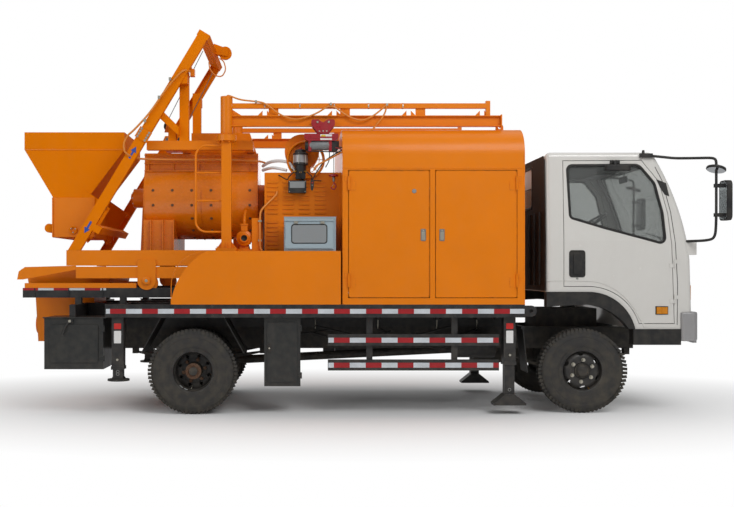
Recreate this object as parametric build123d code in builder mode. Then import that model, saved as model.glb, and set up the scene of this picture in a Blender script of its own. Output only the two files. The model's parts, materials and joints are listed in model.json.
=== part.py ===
from build123d import *
import os
from math import asin, cos, pi, radians, sin

# Truck-mounted concrete mixer pump. Millimetres; X forward, Y to the truck's left, Z up.
# The origin is on the ground, below the middle of the vehicle's outline.

os.makedirs("parts", exist_ok=True)
sides = (("right", -1), ("left", 1))

# fits and gaps
running_fit = 0.1  # radial clearance of a shaft or pin in its bore
seat_gap = 0.3  # between pieces of two bodies that rest on each other
panel_gap = 6  # round a door

# running gear
wheelbase = 3950
rear_axle_x = -1740
front_axle_x = rear_axle_x + wheelbase
cab_rear = front_axle_x - 385
tyre_radius = 430
tyre_width = 235
bead_radius = 206
tyre_shoulder = 42
rim_wall = 9
front_tyre_y = 860
twin_outer_y = 952
twin_inner_y = 682
kingpin_y = 720
kingpin_radius = 20
spindle_radius = 30
axle_end_radius = 42
hub_radius = 82
rim_disc = 12
front_disc_offset = 70
front_hub_inner_y = kingpin_y + 82
front_hub_outer_y = 990
rear_disc_offset = 78
rear_hub_inner_y = 600
rear_hub_outer_y = 1010
yoke_top = 105
yoke_gap = 50
axle_eye_radius = 45
axle_drop_y = 560
axle_drop_z = 300
axle_beam_height = 80
axle_beam_width = 70
differential_radius = 185
axle_tube_radius = 60
axle_tube_end_y = 500
brake_drum_radius = 165
spring_y = 395
spring_width = 65
front_spring_half = 640
front_eye_z = 585
rear_spring_half = 700
rear_eye_z = 595

# ladder frame
frame_top = 850
rail_height = 230
rail_outer = 430
rail_flange = 66
rail_wall = 8
frame_front = front_axle_x + 690
frame_rear = -3000
frame_bottom = frame_top - rail_height
crossmember_places = (-2850, -2150, -1250, -450, 350, front_axle_x - 1090, frame_front - 100)
crossmember_height = 150
pivot_ear_y = 350
pivot_pin_inner_y = 200

# deck: sills on the ladder frame, outriggers, side rails and plate
deck_top = 1110
deck_plate = 5
deck_half_width = 1120
deck_rear = -2610
deck_front = cab_rear - 235
side_rail_height = 130
side_rail_depth = 60
side_rail_wall = 6
lug_radius = 55
lug_bore = 18
lug_thickness = 22
outrigger_height = 125
deck_bearing = deck_top - deck_plate
outrigger_width = 60
outrigger_places = (-2950, -2490, -1950, -1540, -840, 40, deck_front - 694, deck_front - 140)
sill_width = 70
deck_plate_rear = -1300
lug_reach = 65
lug_z = 1044

# machinery housing
housing_rear = -235
housing_front = deck_front
housing_wall = 30
housing_top = 2890
housing_corner = 270
door_sill = 1180
door_head = 2450
door_thickness = 28
door_post = 63
door_split_x = (housing_rear + housing_front) / 2 - 11
rear_door_x = (housing_rear + door_post, door_split_x - door_post / 2)
front_door_x = (door_split_x + door_post / 2, housing_front - 82)
hinge_radius = 12
hinge_leaf = 5
hinge_length = 90
hinge_leaf_length = 70
fixed_leaf_length = 45
hinge_fixed_length = 45
hinge_offset = hinge_radius + 2  # hinge line outside the door's face
door_hinge_heights = (1285, 2255)
roof_lug_x = housing_front - 185
roof_lug_y = 760
roof_lug_radius = 40
roof_lug_bore = 15
roof_lug_thickness = 16
power_rear = 0
power_front = housing_front - 190
power_half_width = 480
power_height = 900

# skirts, cooler box and control box
skirt_rear = -1953
skirt_front = -251
skirt_top = 1645
skirt_curve = 353
skirt_wall = 8
skirt_shelf = 300
cooler_rear = -1030
cooler_front = housing_rear
cooler_top = 2470
cooler_half_width = 700
fan_cover_x = -640
fan_cover_z = 2690
fan_cover_radius = 180
fan_cover_y = 690
fan_cover_length = 170
control_rear = -820
control_front = -300
control_top = 1990
control_depth = 230
control_middle_y = -980
control_lid_thickness = 18
control_lid_y = -control_middle_y + control_depth / 2 + seat_gap
small_hinge_radius = 7
small_hinge_length = 30
control_hinge_x = control_rear + 20 - small_hinge_radius - 1
control_hinge_y = control_lid_y + control_lid_thickness
control_hinge_heights = (1700, 1880)
grease_x = -650
grease_radius = 70
grease_block = 90
grease_y = -cooler_half_width - grease_block
grease_reach = 60
grease_height = 300

# mixer base frame and pump rails
pump_rail_y = 760
pump_rail_width = 90
pump_rail_bottom = 1170
pump_rail_top = 1270
pump_rail_rear = -3520
pump_rail_front = -1060
mixer_beam_bottom = 1500
mixer_beam_top = 1660
mixer_beam_rear = -3070
mixer_beam_y = 770
mixer_beam_width = 70
mixer_leg_places = (-2220, -1250)
lower_beam_rear = -2972
lower_beam_height = 120
lower_beam_middle = 1430
slide_rail_rear = -3500
slide_rail_front = -2350
slide_rail_height = 50
roller_x = -2240
roller_z = 1345
roller_radius = 95
roller_plate = 16
roller_plate_lap = 60
ladder_rear = -1725
ladder_low = 1845
ladder_high = 2726
ladder_bend = 110
ladder_tube = 11
ladder_rung_radius = 9
ladder_rungs = (2163, 2450)
jib_base_width = 210
jib_base_height = 90

# mixer drum
drum_radius = 455
drum_z = 2250
drum_rear = -2330
drum_front = -1110
cradle_thickness = 50
mixer_beam_front = drum_front + cradle_thickness
cradle_foot = 330
cradle_head = 150
bearing_radius = 105
bearing_length = 120
cover_half_width = 360
cover_ledges = (2520, 2600, 2690)
cover_ledge_reach = 25
trough_front = -1999
trough_top = 1990
trough_half_width = 440
trough_ribs = (-2247, -2118, -2003)
trough_rib_reach = 60
cover_top = 2710
hood_rear = -1830
hood_front = -1130
hood_slope = 70
hood_top = cover_top + 220
hood_half_width = 340
upper_beam_rear = -2260
upper_beam_front = -1150
upper_beam_height = 95

# hoist mast and skip
mast_y = 780
mast_foot_x = -2990
mast_foot_z = mixer_beam_top
mast_length = 2560
mast_lean = 59  # degrees above level
mast_depth = 110
mast_flange = 55
mast_wall = 8
post_x = -1870
post_y = 640
post_width = 95
crosshead_height = 60
mast_tie_along = 270
mast_tie_depth = 75
mast_knee_along = 1700
mast_knee_low = 2850
mast_knee_width = 66
mast_splice_along = 1390
mast_splice_length = 120
mast_splice_plate = 10
pulley_post_x = -1995
pulley_post_width = 80
pulley_post_top = 2965
mast_top_x = mast_foot_x + mast_length * cos(radians(mast_lean))
mast_top_z = mast_foot_z + mast_length * sin(radians(mast_lean))
sheave_x = mast_top_x + 180
sheave_z = mast_top_z + 10
sheave_radius = 72
sheave_width = 36
sheave_pin = 14

skip_rear = -3580
skip_front = -2520
skip_top = 2915
skip_band = 2730
skip_throat = 2227
skip_mouth_rear = -3280
skip_mouth_front = -2900
skip_bottom = 1800
skip_half_width = 520
skip_wall = 8
skip_roller_low = 150
skip_roller_high = 520
skip_roller_radius = 43
skip_stub_radius = 18
skip_boss_x = -3059
skip_boss_z = 1879
skip_boss_radius = 42
skip_boss_reach = 26
gate_roller_radius = 48
gate_roller_half = 500
gate_roller_z = 1900

# receiving hopper and concrete pump
hopper_rear = -3540
hopper_front = -2640
hopper_half_width = 620
hopper_tray_top = 1485
hopper_tray_bottom = 1275
hopper_bottom = 680
hopper_neck_z = 1180
hopper_neck_front = -2880
hopper_neck_half = 340
hopper_base_half = 230
hopper_wall = 10
hopper_guard_wall = 10
hopper_guard_points = (
    (-3578, 1357),
    (-3562, 1440),
    (-3498, 1486),
    (lower_beam_rear, 1500),
    (lower_beam_rear, 1459),
    (-3520, 1357),
)
hopper_step = 30
outlet_z = 860
outlet_face = -3570
outlet_radius = 75
outlet_bore = 62
outlet_flange_radius = 105

water_box_rear = -1750
water_box_front = -1450
water_box_top = 1080
water_box_half = rail_outer - sill_width
pump_plate = 40
cylinder_front = hopper_neck_front + pump_plate
cylinder_y = 135
cylinder_z = 960
cylinder_radius = 95
drive_radius = 60
drive_front = -330

# jib cranes
jib_column_x = -1410
jib_column_y = deck_half_width - 220
jib_column_places = ((jib_column_x, -jib_column_y), (jib_column_x, jib_column_y))
jib_base_plate = 18
jib_cap = 20
jib_post = 100
jib_flange_z = 2770
jib_pin_radius = 44
jib_sleeve_radius = 62
jib_flange_height = 60
jib_flange_radius = 100
jib_sleeve_top = 3225
jib_tip_x = housing_front - 190
jib_beam_bottom = 2920
jib_beam_top = 3030
jib_beam_width = 74
jib_beam_web = 8
jib_beam_flange = 9
jib_tube_bottom = 3105
jib_tube_top = 3155
jib_tube_width = 50
jib_tube_end = jib_tip_x - 120
jib_tip_post_top = 3180
jib_gusset_places = (-930, -200, 570)
jib_gusset_length = 100

# electric hoist
trolley_x = -425
trolley_length = 190
trolley_play = 6
trolley_plate = 10
trolley_reach = 55
trolley_plate_height = 140
trolley_wheel_radius = 28
trolley_wheel_width = 28
hoist_top = 2840
hoist_radius = 55
hoist_length = 300
hook_x = trolley_x + 110
rope_radius = 5
rope_stop_radius = 26
hoist_rope = 420

# jacks
jack_wall = 9
jack_leg = 100
rear_jack_x = -2490
rear_jack_y = 1030
rear_jack_foot = 340
front_jack_x = deck_front - 140
front_jack_y = 1000
front_jack_foot = 95
jack_plate = 18
rear_foot_radius = 110
front_foot_half = 165
front_foot_rise = 110

# boxes, tanks and guards under the deck
box_wall = 5
box_door_thickness = 16
fuel_rear = -250
fuel_length = 820
fuel_middle_y = 720
fuel_middle_z = 660
fuel_width = 420
fuel_height = 380
air_tank_rear = housing_front - 640
air_tank_length = 420
air_tank_y = 640
air_tank_z = 650
air_tank_radius = 110
engine_rear = front_axle_x - 310
engine_front = front_axle_x + 350
engine_bottom = 480
engine_top = 1040
engine_width = 520
gearbox_rear = engine_rear - 650
shaft_z = 590
shaft_radius = 45
mudguard_inner_y = 560
mudguard_outer_y = 1085
mudguard_reach = 520
mudguard_flat = 320
mudguard_low = 620
mudguard_wall = 6
mudguard_high = deck_bearing - outrigger_height
guard_rear = -380
guard_front = housing_front - 250
guard_y = deck_half_width - 60
guard_bar = 28
guard_bars = ((695, 810), (445, 555))
guard_hangers = outrigger_places[5:7]

# cab
cab_front = front_axle_x + 1090
cab_top = 2650
cab_sill = 860
cab_half_width = 1030
cab_wall = 45
cab_pivot_x = front_axle_x + 750
cab_pivot_z = 720
cab_pivot_pin = 20
pivot_lug_y = 270
pivot_lug_width = 50
cab_step_z = 1235
cab_roof_radius = 60
cab_corner_radius = 50
cab_belt_z = 1750
cab_lean = 50
cab_nose_z = 1040
screen_top_x = cab_front - 350
screen_middle_x = cab_front - 135
screen_middle_z = 2110
screen_base_x = cab_front - 15
screen_base_z = 1560
screen_low = 1760
screen_high = 2540
screen_half_width = 900
rear_window_z = 2120
rear_window_half = 420
rear_window_height = 420
door_inner_y = cab_half_width - cab_lean - cab_wall - 20
glass_depth = 18
glass_wall = 5
arch_front_x = front_axle_x + 510
arch_crown_x = front_axle_x + 40
cab_door_step = cab_step_z + cab_wall + panel_gap
cab_door_front_x = cab_front - 180
cab_hinge_x = cab_door_front_x
cab_hinge_radius = 9
cab_hinge_y = cab_half_width + cab_hinge_radius
cab_hinge_length = 40
cab_leaf_length = 50
cab_hinge_heights = (1120, 1480)
seat_x = cab_rear + 435
seat_y = 560
seat_length = 500
seat_width = 520
seat_height = 260
seat_back_height = 850
dash_rear = cab_front - 340
dash_front = cab_front - 120
dash_low = 1320
dash_high = 1700
dash_half_width = 930
steering_x = cab_front - 560
steering_y = 560
steering_z = 1640
steering_lean = 35
steering_radius = 200
steering_column = 420
bumper_low = 720
bumper_high = 1030
bumper_half_width = 1020
bumper_side_x = cab_front + 45
bumper_front_x = cab_front + 120
bumper_depth = 40
bumper_stay_y = 300
bumper_stay = 180
flare_proud = 15
flare_depth = 110
flare_low_z = 1085
flare_toe = 65
sill_rear = cab_front - 600
sill_front = cab_front - 120
sill_depth = 130
sill_height = 160
mirror_x = cab_front + 250
mirror_y = 1230
mirror_root_y = 960
mirror_low_z = 1560
mirror_high_z = 2400
mirror_root_high_x = cab_front - 240
mirror_rod = 13
mirror_root = 9.5
mirror_depth = 60
mirror_width = 190
mirror_height = 400
cab_door_points = (
    (cab_rear + 175, cab_door_step),
    (cab_rear + 175, 2565),
    (cab_rear + 975, 2570),
    (cab_rear + 1150, 2350),
    (cab_rear + 1233, 2030),
    (cab_rear + 1270, 1700),
)
door_window_points = (
    (cab_rear + 220, 2515),
    (cab_rear + 945, 2520),
    (cab_rear + 1100, 2335),
    (cab_rear + 1177, 2030),
    (cab_rear + 1205, 1715),
    (cab_rear + 595, 1880),
    (cab_rear + 245, 1985),
)

# ---------------------------------------------------------------- wheels and axles


def wheel_plane(axle_x, centre_y):
    """Plane across a wheel: local x runs along the axle, local y up from the axle line."""
    return Plane(origin=(axle_x, centre_y, tyre_radius), x_dir=(0, 1, 0), z_dir=(1, 0, 0))


def axle_line(axle_x):
    return Axis((axle_x, 0, tyre_radius), (0, 1, 0))


def tyre_ring(axle_x, centre_y):
    """Tyre with a flat tread, round shoulders and sidewalls that lean in to the beads."""
    half = tyre_width / 2
    bead_half = half - 26
    with BuildPart() as ring:
        with BuildSketch(wheel_plane(axle_x, centre_y)):
            with BuildLine():
                Polyline(
                    (-bead_half, bead_radius),
                    (-half, bead_radius + 95),
                    (-half, tyre_radius - tyre_shoulder),
                    (-half + tyre_shoulder, tyre_radius),
                    (half - tyre_shoulder, tyre_radius),
                    (half, tyre_radius - tyre_shoulder),
                    (half, bead_radius + 95),
                    (bead_half, bead_radius),
                    close=True,
                )
            make_face()
        revolve(axis=axle_line(axle_x))
    return ring.part


def wheel_metal(axle_x, hub_inner_y, hub_outer_y, bore, rims):
    """Hub with a bore, and for each rim its barrel and disc, turned about the axle line."""
    barrel_half = tyre_width / 2 - 26
    barrel_radius = bead_radius - seat_gap
    with BuildPart() as metal:
        with BuildSketch(wheel_plane(axle_x, 0)):
            with Locations(((hub_inner_y + hub_outer_y) / 2, (hub_radius + bore) / 2)):
                Rectangle(abs(hub_outer_y - hub_inner_y), hub_radius - bore)
            for centre_y, disc_y in rims:
                with Locations((centre_y, barrel_radius - rim_wall / 2)):
                    Rectangle(2 * barrel_half, rim_wall)
                with Locations((disc_y, (barrel_radius + bore) / 2)):
                    Rectangle(rim_disc, barrel_radius - bore - 2)
        revolve(axis=axle_line(axle_x))
    return metal.part


for side, sign in sides:
    with BuildPart() as tyre:
        add(tyre_ring(front_axle_x, sign * front_tyre_y))
    tyre.part.label = f"tyre_front_{side}"
    export_step(tyre.part, f"parts/tyre_front_{side}.step")

    with BuildPart() as rim:
        rims = ((sign * front_tyre_y, sign * (front_tyre_y + front_disc_offset)),)
        hub = (sign * front_hub_inner_y, sign * front_hub_outer_y)
        add(wheel_metal(front_axle_x, *hub, spindle_radius + running_fit, rims))
    rim.part.label = f"rim_front_{side}"
    export_step(rim.part, f"parts/rim_front_{side}.step")

    with BuildPart() as tyres:
        add(tyre_ring(rear_axle_x, sign * twin_outer_y))
        add(tyre_ring(rear_axle_x, sign * twin_inner_y))
    tyres.part.label = f"tyres_rear_{side}"
    export_step(tyres.part, f"parts/tyres_rear_{side}.step")

    with BuildPart() as twin_rims:
        rims = (
            (sign * twin_outer_y, sign * (twin_outer_y - rear_disc_offset)),
            (sign * twin_inner_y, sign * (twin_inner_y + rear_disc_offset)),
        )
        hub = (sign * rear_hub_inner_y, sign * rear_hub_outer_y)
        add(wheel_metal(rear_axle_x, *hub, axle_end_radius + running_fit, rims))
    twin_rims.part.label = f"rims_rear_{side}"
    export_step(twin_rims.part, f"parts/rims_rear_{side}.step")

    with BuildPart() as knuckle:
        with Locations((front_axle_x, sign * kingpin_y, tyre_radius)):
            Cylinder(kingpin_radius, 2 * yoke_top)
        with Locations(
            (front_axle_x, sign * (kingpin_y + 18), tyre_radius + (yoke_top + yoke_gap) / 2),
            (front_axle_x, sign * (kingpin_y + 18), tyre_radius - (yoke_top + yoke_gap) / 2),
        ):
            Box(2 * axle_eye_radius, 2 * axle_eye_radius + 30, yoke_top - yoke_gap)
        with Locations((front_axle_x, sign * (kingpin_y + 66), tyre_radius)):
            Box(2 * axle_eye_radius, 24, 2 * yoke_top)
        with BuildSketch(Plane((front_axle_x, sign * (kingpin_y + 60), tyre_radius), z_dir=(0, sign, 0))):
            Circle(spindle_radius)
        extrude(amount=front_hub_outer_y - kingpin_y - 68)
    knuckle.part.label = f"knuckle_{side}"
    export_step(knuckle.part, f"parts/knuckle_{side}.step")

with BuildPart() as axles:
    with Locations(
        (front_axle_x, kingpin_y, tyre_radius),
        (front_axle_x, -kingpin_y, tyre_radius),
    ):
        Cylinder(axle_eye_radius, 2 * (yoke_gap - 4))
    with BuildSketch(Plane.YZ.offset(front_axle_x)):
        with BuildLine():
            Polyline(
                (-kingpin_y, tyre_radius + 30),
                (-kingpin_y, tyre_radius - 30),
                (-kingpin_y + 70, tyre_radius - 30),
                (-axle_drop_y, axle_drop_z),
                (axle_drop_y, axle_drop_z),
                (kingpin_y - 70, tyre_radius - 30),
                (kingpin_y, tyre_radius - 30),
                (kingpin_y, tyre_radius + 30),
                (kingpin_y - 90, tyre_radius + 30),
                (axle_drop_y - 20, axle_drop_z + axle_beam_height),
                (-axle_drop_y + 20, axle_drop_z + axle_beam_height),
                (-kingpin_y + 90, tyre_radius + 30),
                close=True,
            )
        make_face()
    extrude(amount=axle_beam_width / 2, both=True)
    with Locations(
        (front_axle_x, kingpin_y, tyre_radius),
        (front_axle_x, -kingpin_y, tyre_radius),
    ):
        Cylinder(kingpin_radius + running_fit, 4 * yoke_gap, mode=Mode.SUBTRACT)
    with BuildSketch(wheel_plane(rear_axle_x, 0)):
        with BuildLine():
            Polyline(
                (0, 0),
                (0, differential_radius),
                (90, differential_radius - 15),
                (190, axle_tube_radius),
                (axle_tube_end_y, axle_tube_radius),
                (axle_tube_end_y, brake_drum_radius),
                (axle_tube_end_y + 60, brake_drum_radius),
                (axle_tube_end_y + 60, axle_end_radius),
                (rear_hub_outer_y, axle_end_radius),
                (rear_hub_outer_y, 0),
                close=True,
            )
        make_face()
        mirror(about=Plane.YZ)
    revolve(axis=axle_line(rear_axle_x))
axles.part.label = "axles"
export_step(axles.part, "parts/axles.step")


def leaf_spring(axle_x, seat_z, eye_z, half_length, leaf_stack):
    """One arched stack of leaves, its eyes up at the frame and its middle on the axle."""
    with BuildPart() as spring:
        for side, sign in sides:
            with BuildSketch(Plane.XZ.offset(-sign * spring_y)):
                with BuildLine():
                    ThreePointArc(
                        (axle_x - half_length, eye_z),
                        (axle_x, seat_z + leaf_stack),
                        (axle_x + half_length, eye_z),
                    )
                    Line((axle_x + half_length, eye_z), (axle_x + half_length, eye_z - 12))
                    ThreePointArc(
                        (axle_x + half_length, eye_z - 12),
                        (axle_x, seat_z),
                        (axle_x - half_length, eye_z - 12),
                    )
                    Line((axle_x - half_length, eye_z - 12), (axle_x - half_length, eye_z))
                make_face()
            extrude(amount=spring_width / 2, both=True)
            for end in (-1, 1):
                hanger_x = axle_x + end * (half_length - 20)
                with BuildSketch(Plane.XY.offset(eye_z - 30)):
                    with Locations((hanger_x, sign * spring_y)):
                        Rectangle(60, spring_width + 16)
                extrude(amount=frame_bottom - eye_z + 30)
    return spring.part


with BuildPart() as springs:
    add(leaf_spring(front_axle_x, axle_drop_z + axle_beam_height, front_eye_z, front_spring_half, 40))
    add(leaf_spring(rear_axle_x, tyre_radius + axle_tube_radius, rear_eye_z, rear_spring_half, 55))
springs.part.label = "leaf_springs"
export_step(springs.part, "parts/leaf_springs.step")


# ---------------------------------------------------------------- ladder frame and deck

rail_middle_z = (frame_top + frame_bottom) / 2
with BuildPart() as chassis_frame:
    for side, sign in sides:
        with BuildSketch(Plane.YZ.offset(frame_rear)):
            with Locations((sign * (rail_outer - rail_flange / 2), rail_middle_z)):
                Rectangle(rail_flange, rail_height)
            with Locations((sign * (rail_outer - rail_wall - rail_flange / 2), rail_middle_z)):
                Rectangle(rail_flange, rail_height - 2 * rail_wall, mode=Mode.SUBTRACT)
        extrude(amount=frame_front - frame_rear)
        with Locations((cab_pivot_x - 60, sign * pivot_ear_y, cab_pivot_z)):
            Box(200, 16, 90)
        with BuildSketch(Plane.XZ.offset(-sign * pivot_ear_y)):
            with Locations((cab_pivot_x, cab_pivot_z)):
                Circle(cab_pivot_pin)
        extrude(amount=sign * (pivot_ear_y - pivot_pin_inner_y))
    for place in crossmember_places:
        with Locations((place, 0, rail_middle_z)):
            Box(50, 2 * (rail_outer - rail_wall), crossmember_height)
chassis_frame.part.label = "chassis_frame"
export_step(chassis_frame.part, "parts/chassis_frame.step")

side_rail_inner = deck_half_width - side_rail_depth - seat_gap
with BuildPart() as deck_frame:
    for side, sign in sides:
        sill_y = sign * (rail_outer - sill_width / 2)
        with Locations(((frame_rear + deck_front) / 2, sill_y, (frame_top + deck_bearing) / 2)):
            Box(deck_front - frame_rear, sill_width, deck_bearing - frame_top)
        with BuildSketch(Plane.YZ.offset(deck_rear)):
            with Locations((sign * (deck_half_width - side_rail_depth / 2), deck_top - side_rail_height / 2)):
                Rectangle(side_rail_depth, side_rail_height)
            with Locations(
                (sign * (deck_half_width - side_rail_wall - side_rail_depth / 2), deck_top - side_rail_height / 2)
            ):
                Rectangle(side_rail_depth, side_rail_height - 2 * side_rail_wall, mode=Mode.SUBTRACT)
        extrude(amount=deck_front - deck_rear)
        with BuildSketch(Plane.XZ.offset(-sign * (deck_half_width - side_rail_wall))):
            with Locations((deck_front + lug_reach / 2 - 20, lug_z)):
                Rectangle(lug_reach + 40, 2 * lug_radius)
            with Locations((deck_front + lug_reach, lug_z)):
                Circle(lug_radius)
                Circle(lug_bore, mode=Mode.SUBTRACT)
        extrude(amount=sign * lug_thickness)
    with BuildSketch(Plane.XY.offset(deck_bearing + seat_gap)):
        with Locations(((deck_plate_rear + deck_front) / 2, 0)):
            Rectangle(deck_front - deck_plate_rear, 2 * side_rail_inner)
    extrude(amount=deck_plate - seat_gap)
deck_frame.part.label = "deck_frame"
export_step(deck_frame.part, "parts/deck_frame.step")

with BuildPart() as deck_outriggers:
    for side, sign in sides:
        for place in outrigger_places:
            outrigger_middle = sign * (rail_outer + side_rail_inner) / 2
            with Locations((place, outrigger_middle, deck_bearing - outrigger_height / 2)):
                Box(outrigger_width, side_rail_inner - rail_outer, outrigger_height)
deck_outriggers.part.label = "deck_outriggers"
export_step(deck_outriggers.part, "parts/deck_outriggers.step")

with BuildPart() as pump_rails:
    for side, sign in sides:
        rail_middle = (pump_rail_rear + pump_rail_front) / 2
        rail_length = pump_rail_front - pump_rail_rear
        with Locations((rail_middle, sign * pump_rail_y, (pump_rail_bottom + pump_rail_top) / 2)):
            Box(rail_length, pump_rail_width, pump_rail_top - pump_rail_bottom)
        for place in outrigger_places[:4]:
            with Locations((place, sign * pump_rail_y, (deck_bearing + pump_rail_bottom) / 2)):
                Box(outrigger_width, pump_rail_width, pump_rail_bottom - deck_bearing)
    for place in (hopper_front + 60, pump_rail_front - 30):
        with Locations((place, 0, (pump_rail_bottom + pump_rail_top) / 2)):
            Box(60, 2 * pump_rail_y, pump_rail_top - pump_rail_bottom)
pump_rails.part.label = "pump_rails"
export_step(pump_rails.part, "parts/pump_rails.step")

# ---------------------------------------------------------------- jacks

jack_sleeve = jack_leg + 2 * (jack_wall + seat_gap)
jack_sleeve_top = deck_top - side_rail_height
jack_columns = (
    # name, x, y, sleeve bottom, leg top, foot bottom
    ("rear", rear_jack_x, rear_jack_y, 455, 930, rear_jack_foot),
    ("front", front_jack_x, front_jack_y, 500, 760, front_jack_foot),
)

with BuildPart() as jack_sleeves:
    for name, jack_x, jack_y, sleeve_bottom, leg_top, foot in jack_columns:
        for side, sign in sides:
            with BuildSketch(Plane.XY.offset(sleeve_bottom)):
                with Locations((jack_x, sign * jack_y)):
                    Rectangle(jack_sleeve, jack_sleeve)
                    Rectangle(jack_leg + 2 * seat_gap, jack_leg + 2 * seat_gap, mode=Mode.SUBTRACT)
            extrude(amount=jack_sleeve_top - sleeve_bottom)
jack_sleeves.part.label = "jack_sleeves"
export_step(jack_sleeves.part, "parts/jack_sleeves.step")

for name, jack_x, jack_y, sleeve_bottom, leg_top, foot in jack_columns:
    for side, sign in sides:
        with BuildPart() as leg:
            with BuildSketch(Plane.XY.offset(foot + jack_plate)):
                with Locations((jack_x, sign * jack_y)):
                    Rectangle(jack_leg, jack_leg)
            extrude(amount=leg_top - foot - jack_plate)
            if name == "rear":
                with BuildSketch(Plane.XY.offset(foot)):
                    with Locations((jack_x, sign * jack_y)):
                        Circle(rear_foot_radius)
                extrude(amount=jack_plate)
            else:
                with BuildSketch(Plane.XZ.offset(-sign * jack_y)):
                    with BuildLine():
                        Polyline(
                            (jack_x - front_foot_half, foot),
                            (jack_x + front_foot_half, foot),
                            (jack_x + front_foot_half, foot + jack_plate),
                            (jack_x + jack_leg / 2, foot + front_foot_rise),
                            (jack_x - jack_leg / 2, foot + front_foot_rise),
                            (jack_x - front_foot_half, foot + jack_plate),
                            close=True,
                        )
                    make_face()
                extrude(amount=front_foot_half / 2, both=True)
        leg.part.label = f"jack_leg_{name}_{side}"
        export_step(leg.part, f"parts/jack_leg_{name}_{side}.step")

# ---------------------------------------------------------------- pump rails and mixer base

with BuildPart() as mixer_frame:
    beam_middle_z = (mixer_beam_bottom + mixer_beam_top) / 2
    beam_height = mixer_beam_top - mixer_beam_bottom
    for side, sign in sides:
        with Locations(((mixer_beam_rear + mixer_beam_front) / 2, sign * mixer_beam_y, beam_middle_z)):
            Box(mixer_beam_front - mixer_beam_rear, mixer_beam_width, beam_height)
        for place in mixer_leg_places:
            with Locations((place, sign * mixer_beam_y, (pump_rail_top + mixer_beam_bottom) / 2)):
                Box(90, mixer_beam_width, mixer_beam_bottom - pump_rail_top)
        with Locations(((lower_beam_rear + mixer_beam_front) / 2, sign * mixer_beam_y, lower_beam_middle)):
            Box(mixer_beam_front - lower_beam_rear, mixer_beam_width, lower_beam_height)
        slide_rail_middle = (slide_rail_rear + slide_rail_front) / 2
        with Locations((slide_rail_middle, sign * mixer_beam_y, pump_rail_top + slide_rail_height / 2)):
            Box(slide_rail_front - slide_rail_rear, mixer_beam_width, slide_rail_height)
        roller_face = mixer_beam_y + mixer_beam_width / 2
        roller_top = mixer_beam_bottom + roller_plate_lap
        with BuildSketch(Plane.XZ.offset(-sign * roller_face)):
            with Locations((roller_x, (roller_z + roller_top) / 2)):
                Rectangle(2 * roller_radius, roller_top - roller_z)
            with Locations((roller_x, roller_z)):
                Circle(roller_radius)
        extrude(amount=-sign * roller_plate)
        with BuildSketch(Plane.XZ.offset(-sign * (roller_face + roller_plate))):
            with Locations((roller_x, roller_z)):
                Circle(roller_radius / 3)
        extrude(amount=-sign * roller_plate)
    for place in (drum_rear - cradle_thickness / 2, drum_front + cradle_thickness / 2):
        with Locations((place, 0, beam_middle_z)):
            Box(cradle_thickness, 2 * mixer_beam_y, beam_height)
        with BuildSketch(Plane.YZ.offset(place)):
            with BuildLine():
                Polyline(
                    (-cradle_foot, mixer_beam_top - 10),
                    (cradle_foot, mixer_beam_top - 10),
                    (cradle_head, drum_z + 40),
                    (-cradle_head, drum_z + 40),
                    close=True,
                )
            make_face()
            with Locations((0, drum_z)):
                Circle(cradle_head)
        extrude(amount=cradle_thickness / 2, both=True)
    with BuildSketch(Plane.YZ.offset(drum_rear - cradle_thickness)):
        with Locations((0, drum_z)):
            Circle(bearing_radius)
    extrude(amount=-bearing_length)
    with Locations((jib_column_x, 0, mixer_beam_top - jib_base_height / 2)):
        Box(jib_base_width, 2 * (jib_column_y + jib_base_width / 2), jib_base_height)
    base_plate_top = mixer_beam_top + jib_base_plate
    flange_top = jib_flange_z + jib_flange_height
    with BuildSketch(Plane.XY.offset(mixer_beam_top)):
        with Locations(*jib_column_places):
            Rectangle(jib_base_width, jib_base_width)
    extrude(amount=jib_base_plate)
    with BuildSketch(Plane.XY.offset(base_plate_top)):
        with Locations(*jib_column_places):
            Rectangle(jib_post, jib_post)
    extrude(amount=jib_flange_z - base_plate_top)
    with BuildSketch(Plane.XY.offset(jib_flange_z)):
        with Locations(*jib_column_places):
            Circle(jib_flange_radius)
    extrude(amount=jib_flange_height)
    with BuildSketch(Plane.XY.offset(flange_top)):
        with Locations(*jib_column_places):
            Circle(jib_pin_radius)
    extrude(amount=jib_sleeve_top - jib_cap - flange_top)
    ladder_foot = jib_column_x - jib_post / 2
    with BuildLine() as ladder_line:
        FilletPolyline(
            (ladder_foot, -jib_column_y, ladder_low),
            (ladder_rear, -jib_column_y, ladder_low),
            (ladder_rear, -jib_column_y, ladder_high),
            (ladder_foot, -jib_column_y, ladder_high),
            radius=ladder_bend,
        )
    with BuildSketch(Plane(origin=(ladder_foot, -jib_column_y, ladder_low), z_dir=(-1, 0, 0))):
        Circle(ladder_tube)
    sweep(path=ladder_line.line)
    for height in ladder_rungs:
        with BuildSketch(Plane.YZ.offset(ladder_foot)):
            with Locations((-jib_column_y, height)):
                Circle(ladder_rung_radius)
        extrude(amount=ladder_rear - ladder_foot)
mixer_frame.part.label = "mixer_frame"
export_step(mixer_frame.part, "parts/mixer_frame.step")

# ---------------------------------------------------------------- mixer

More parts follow.
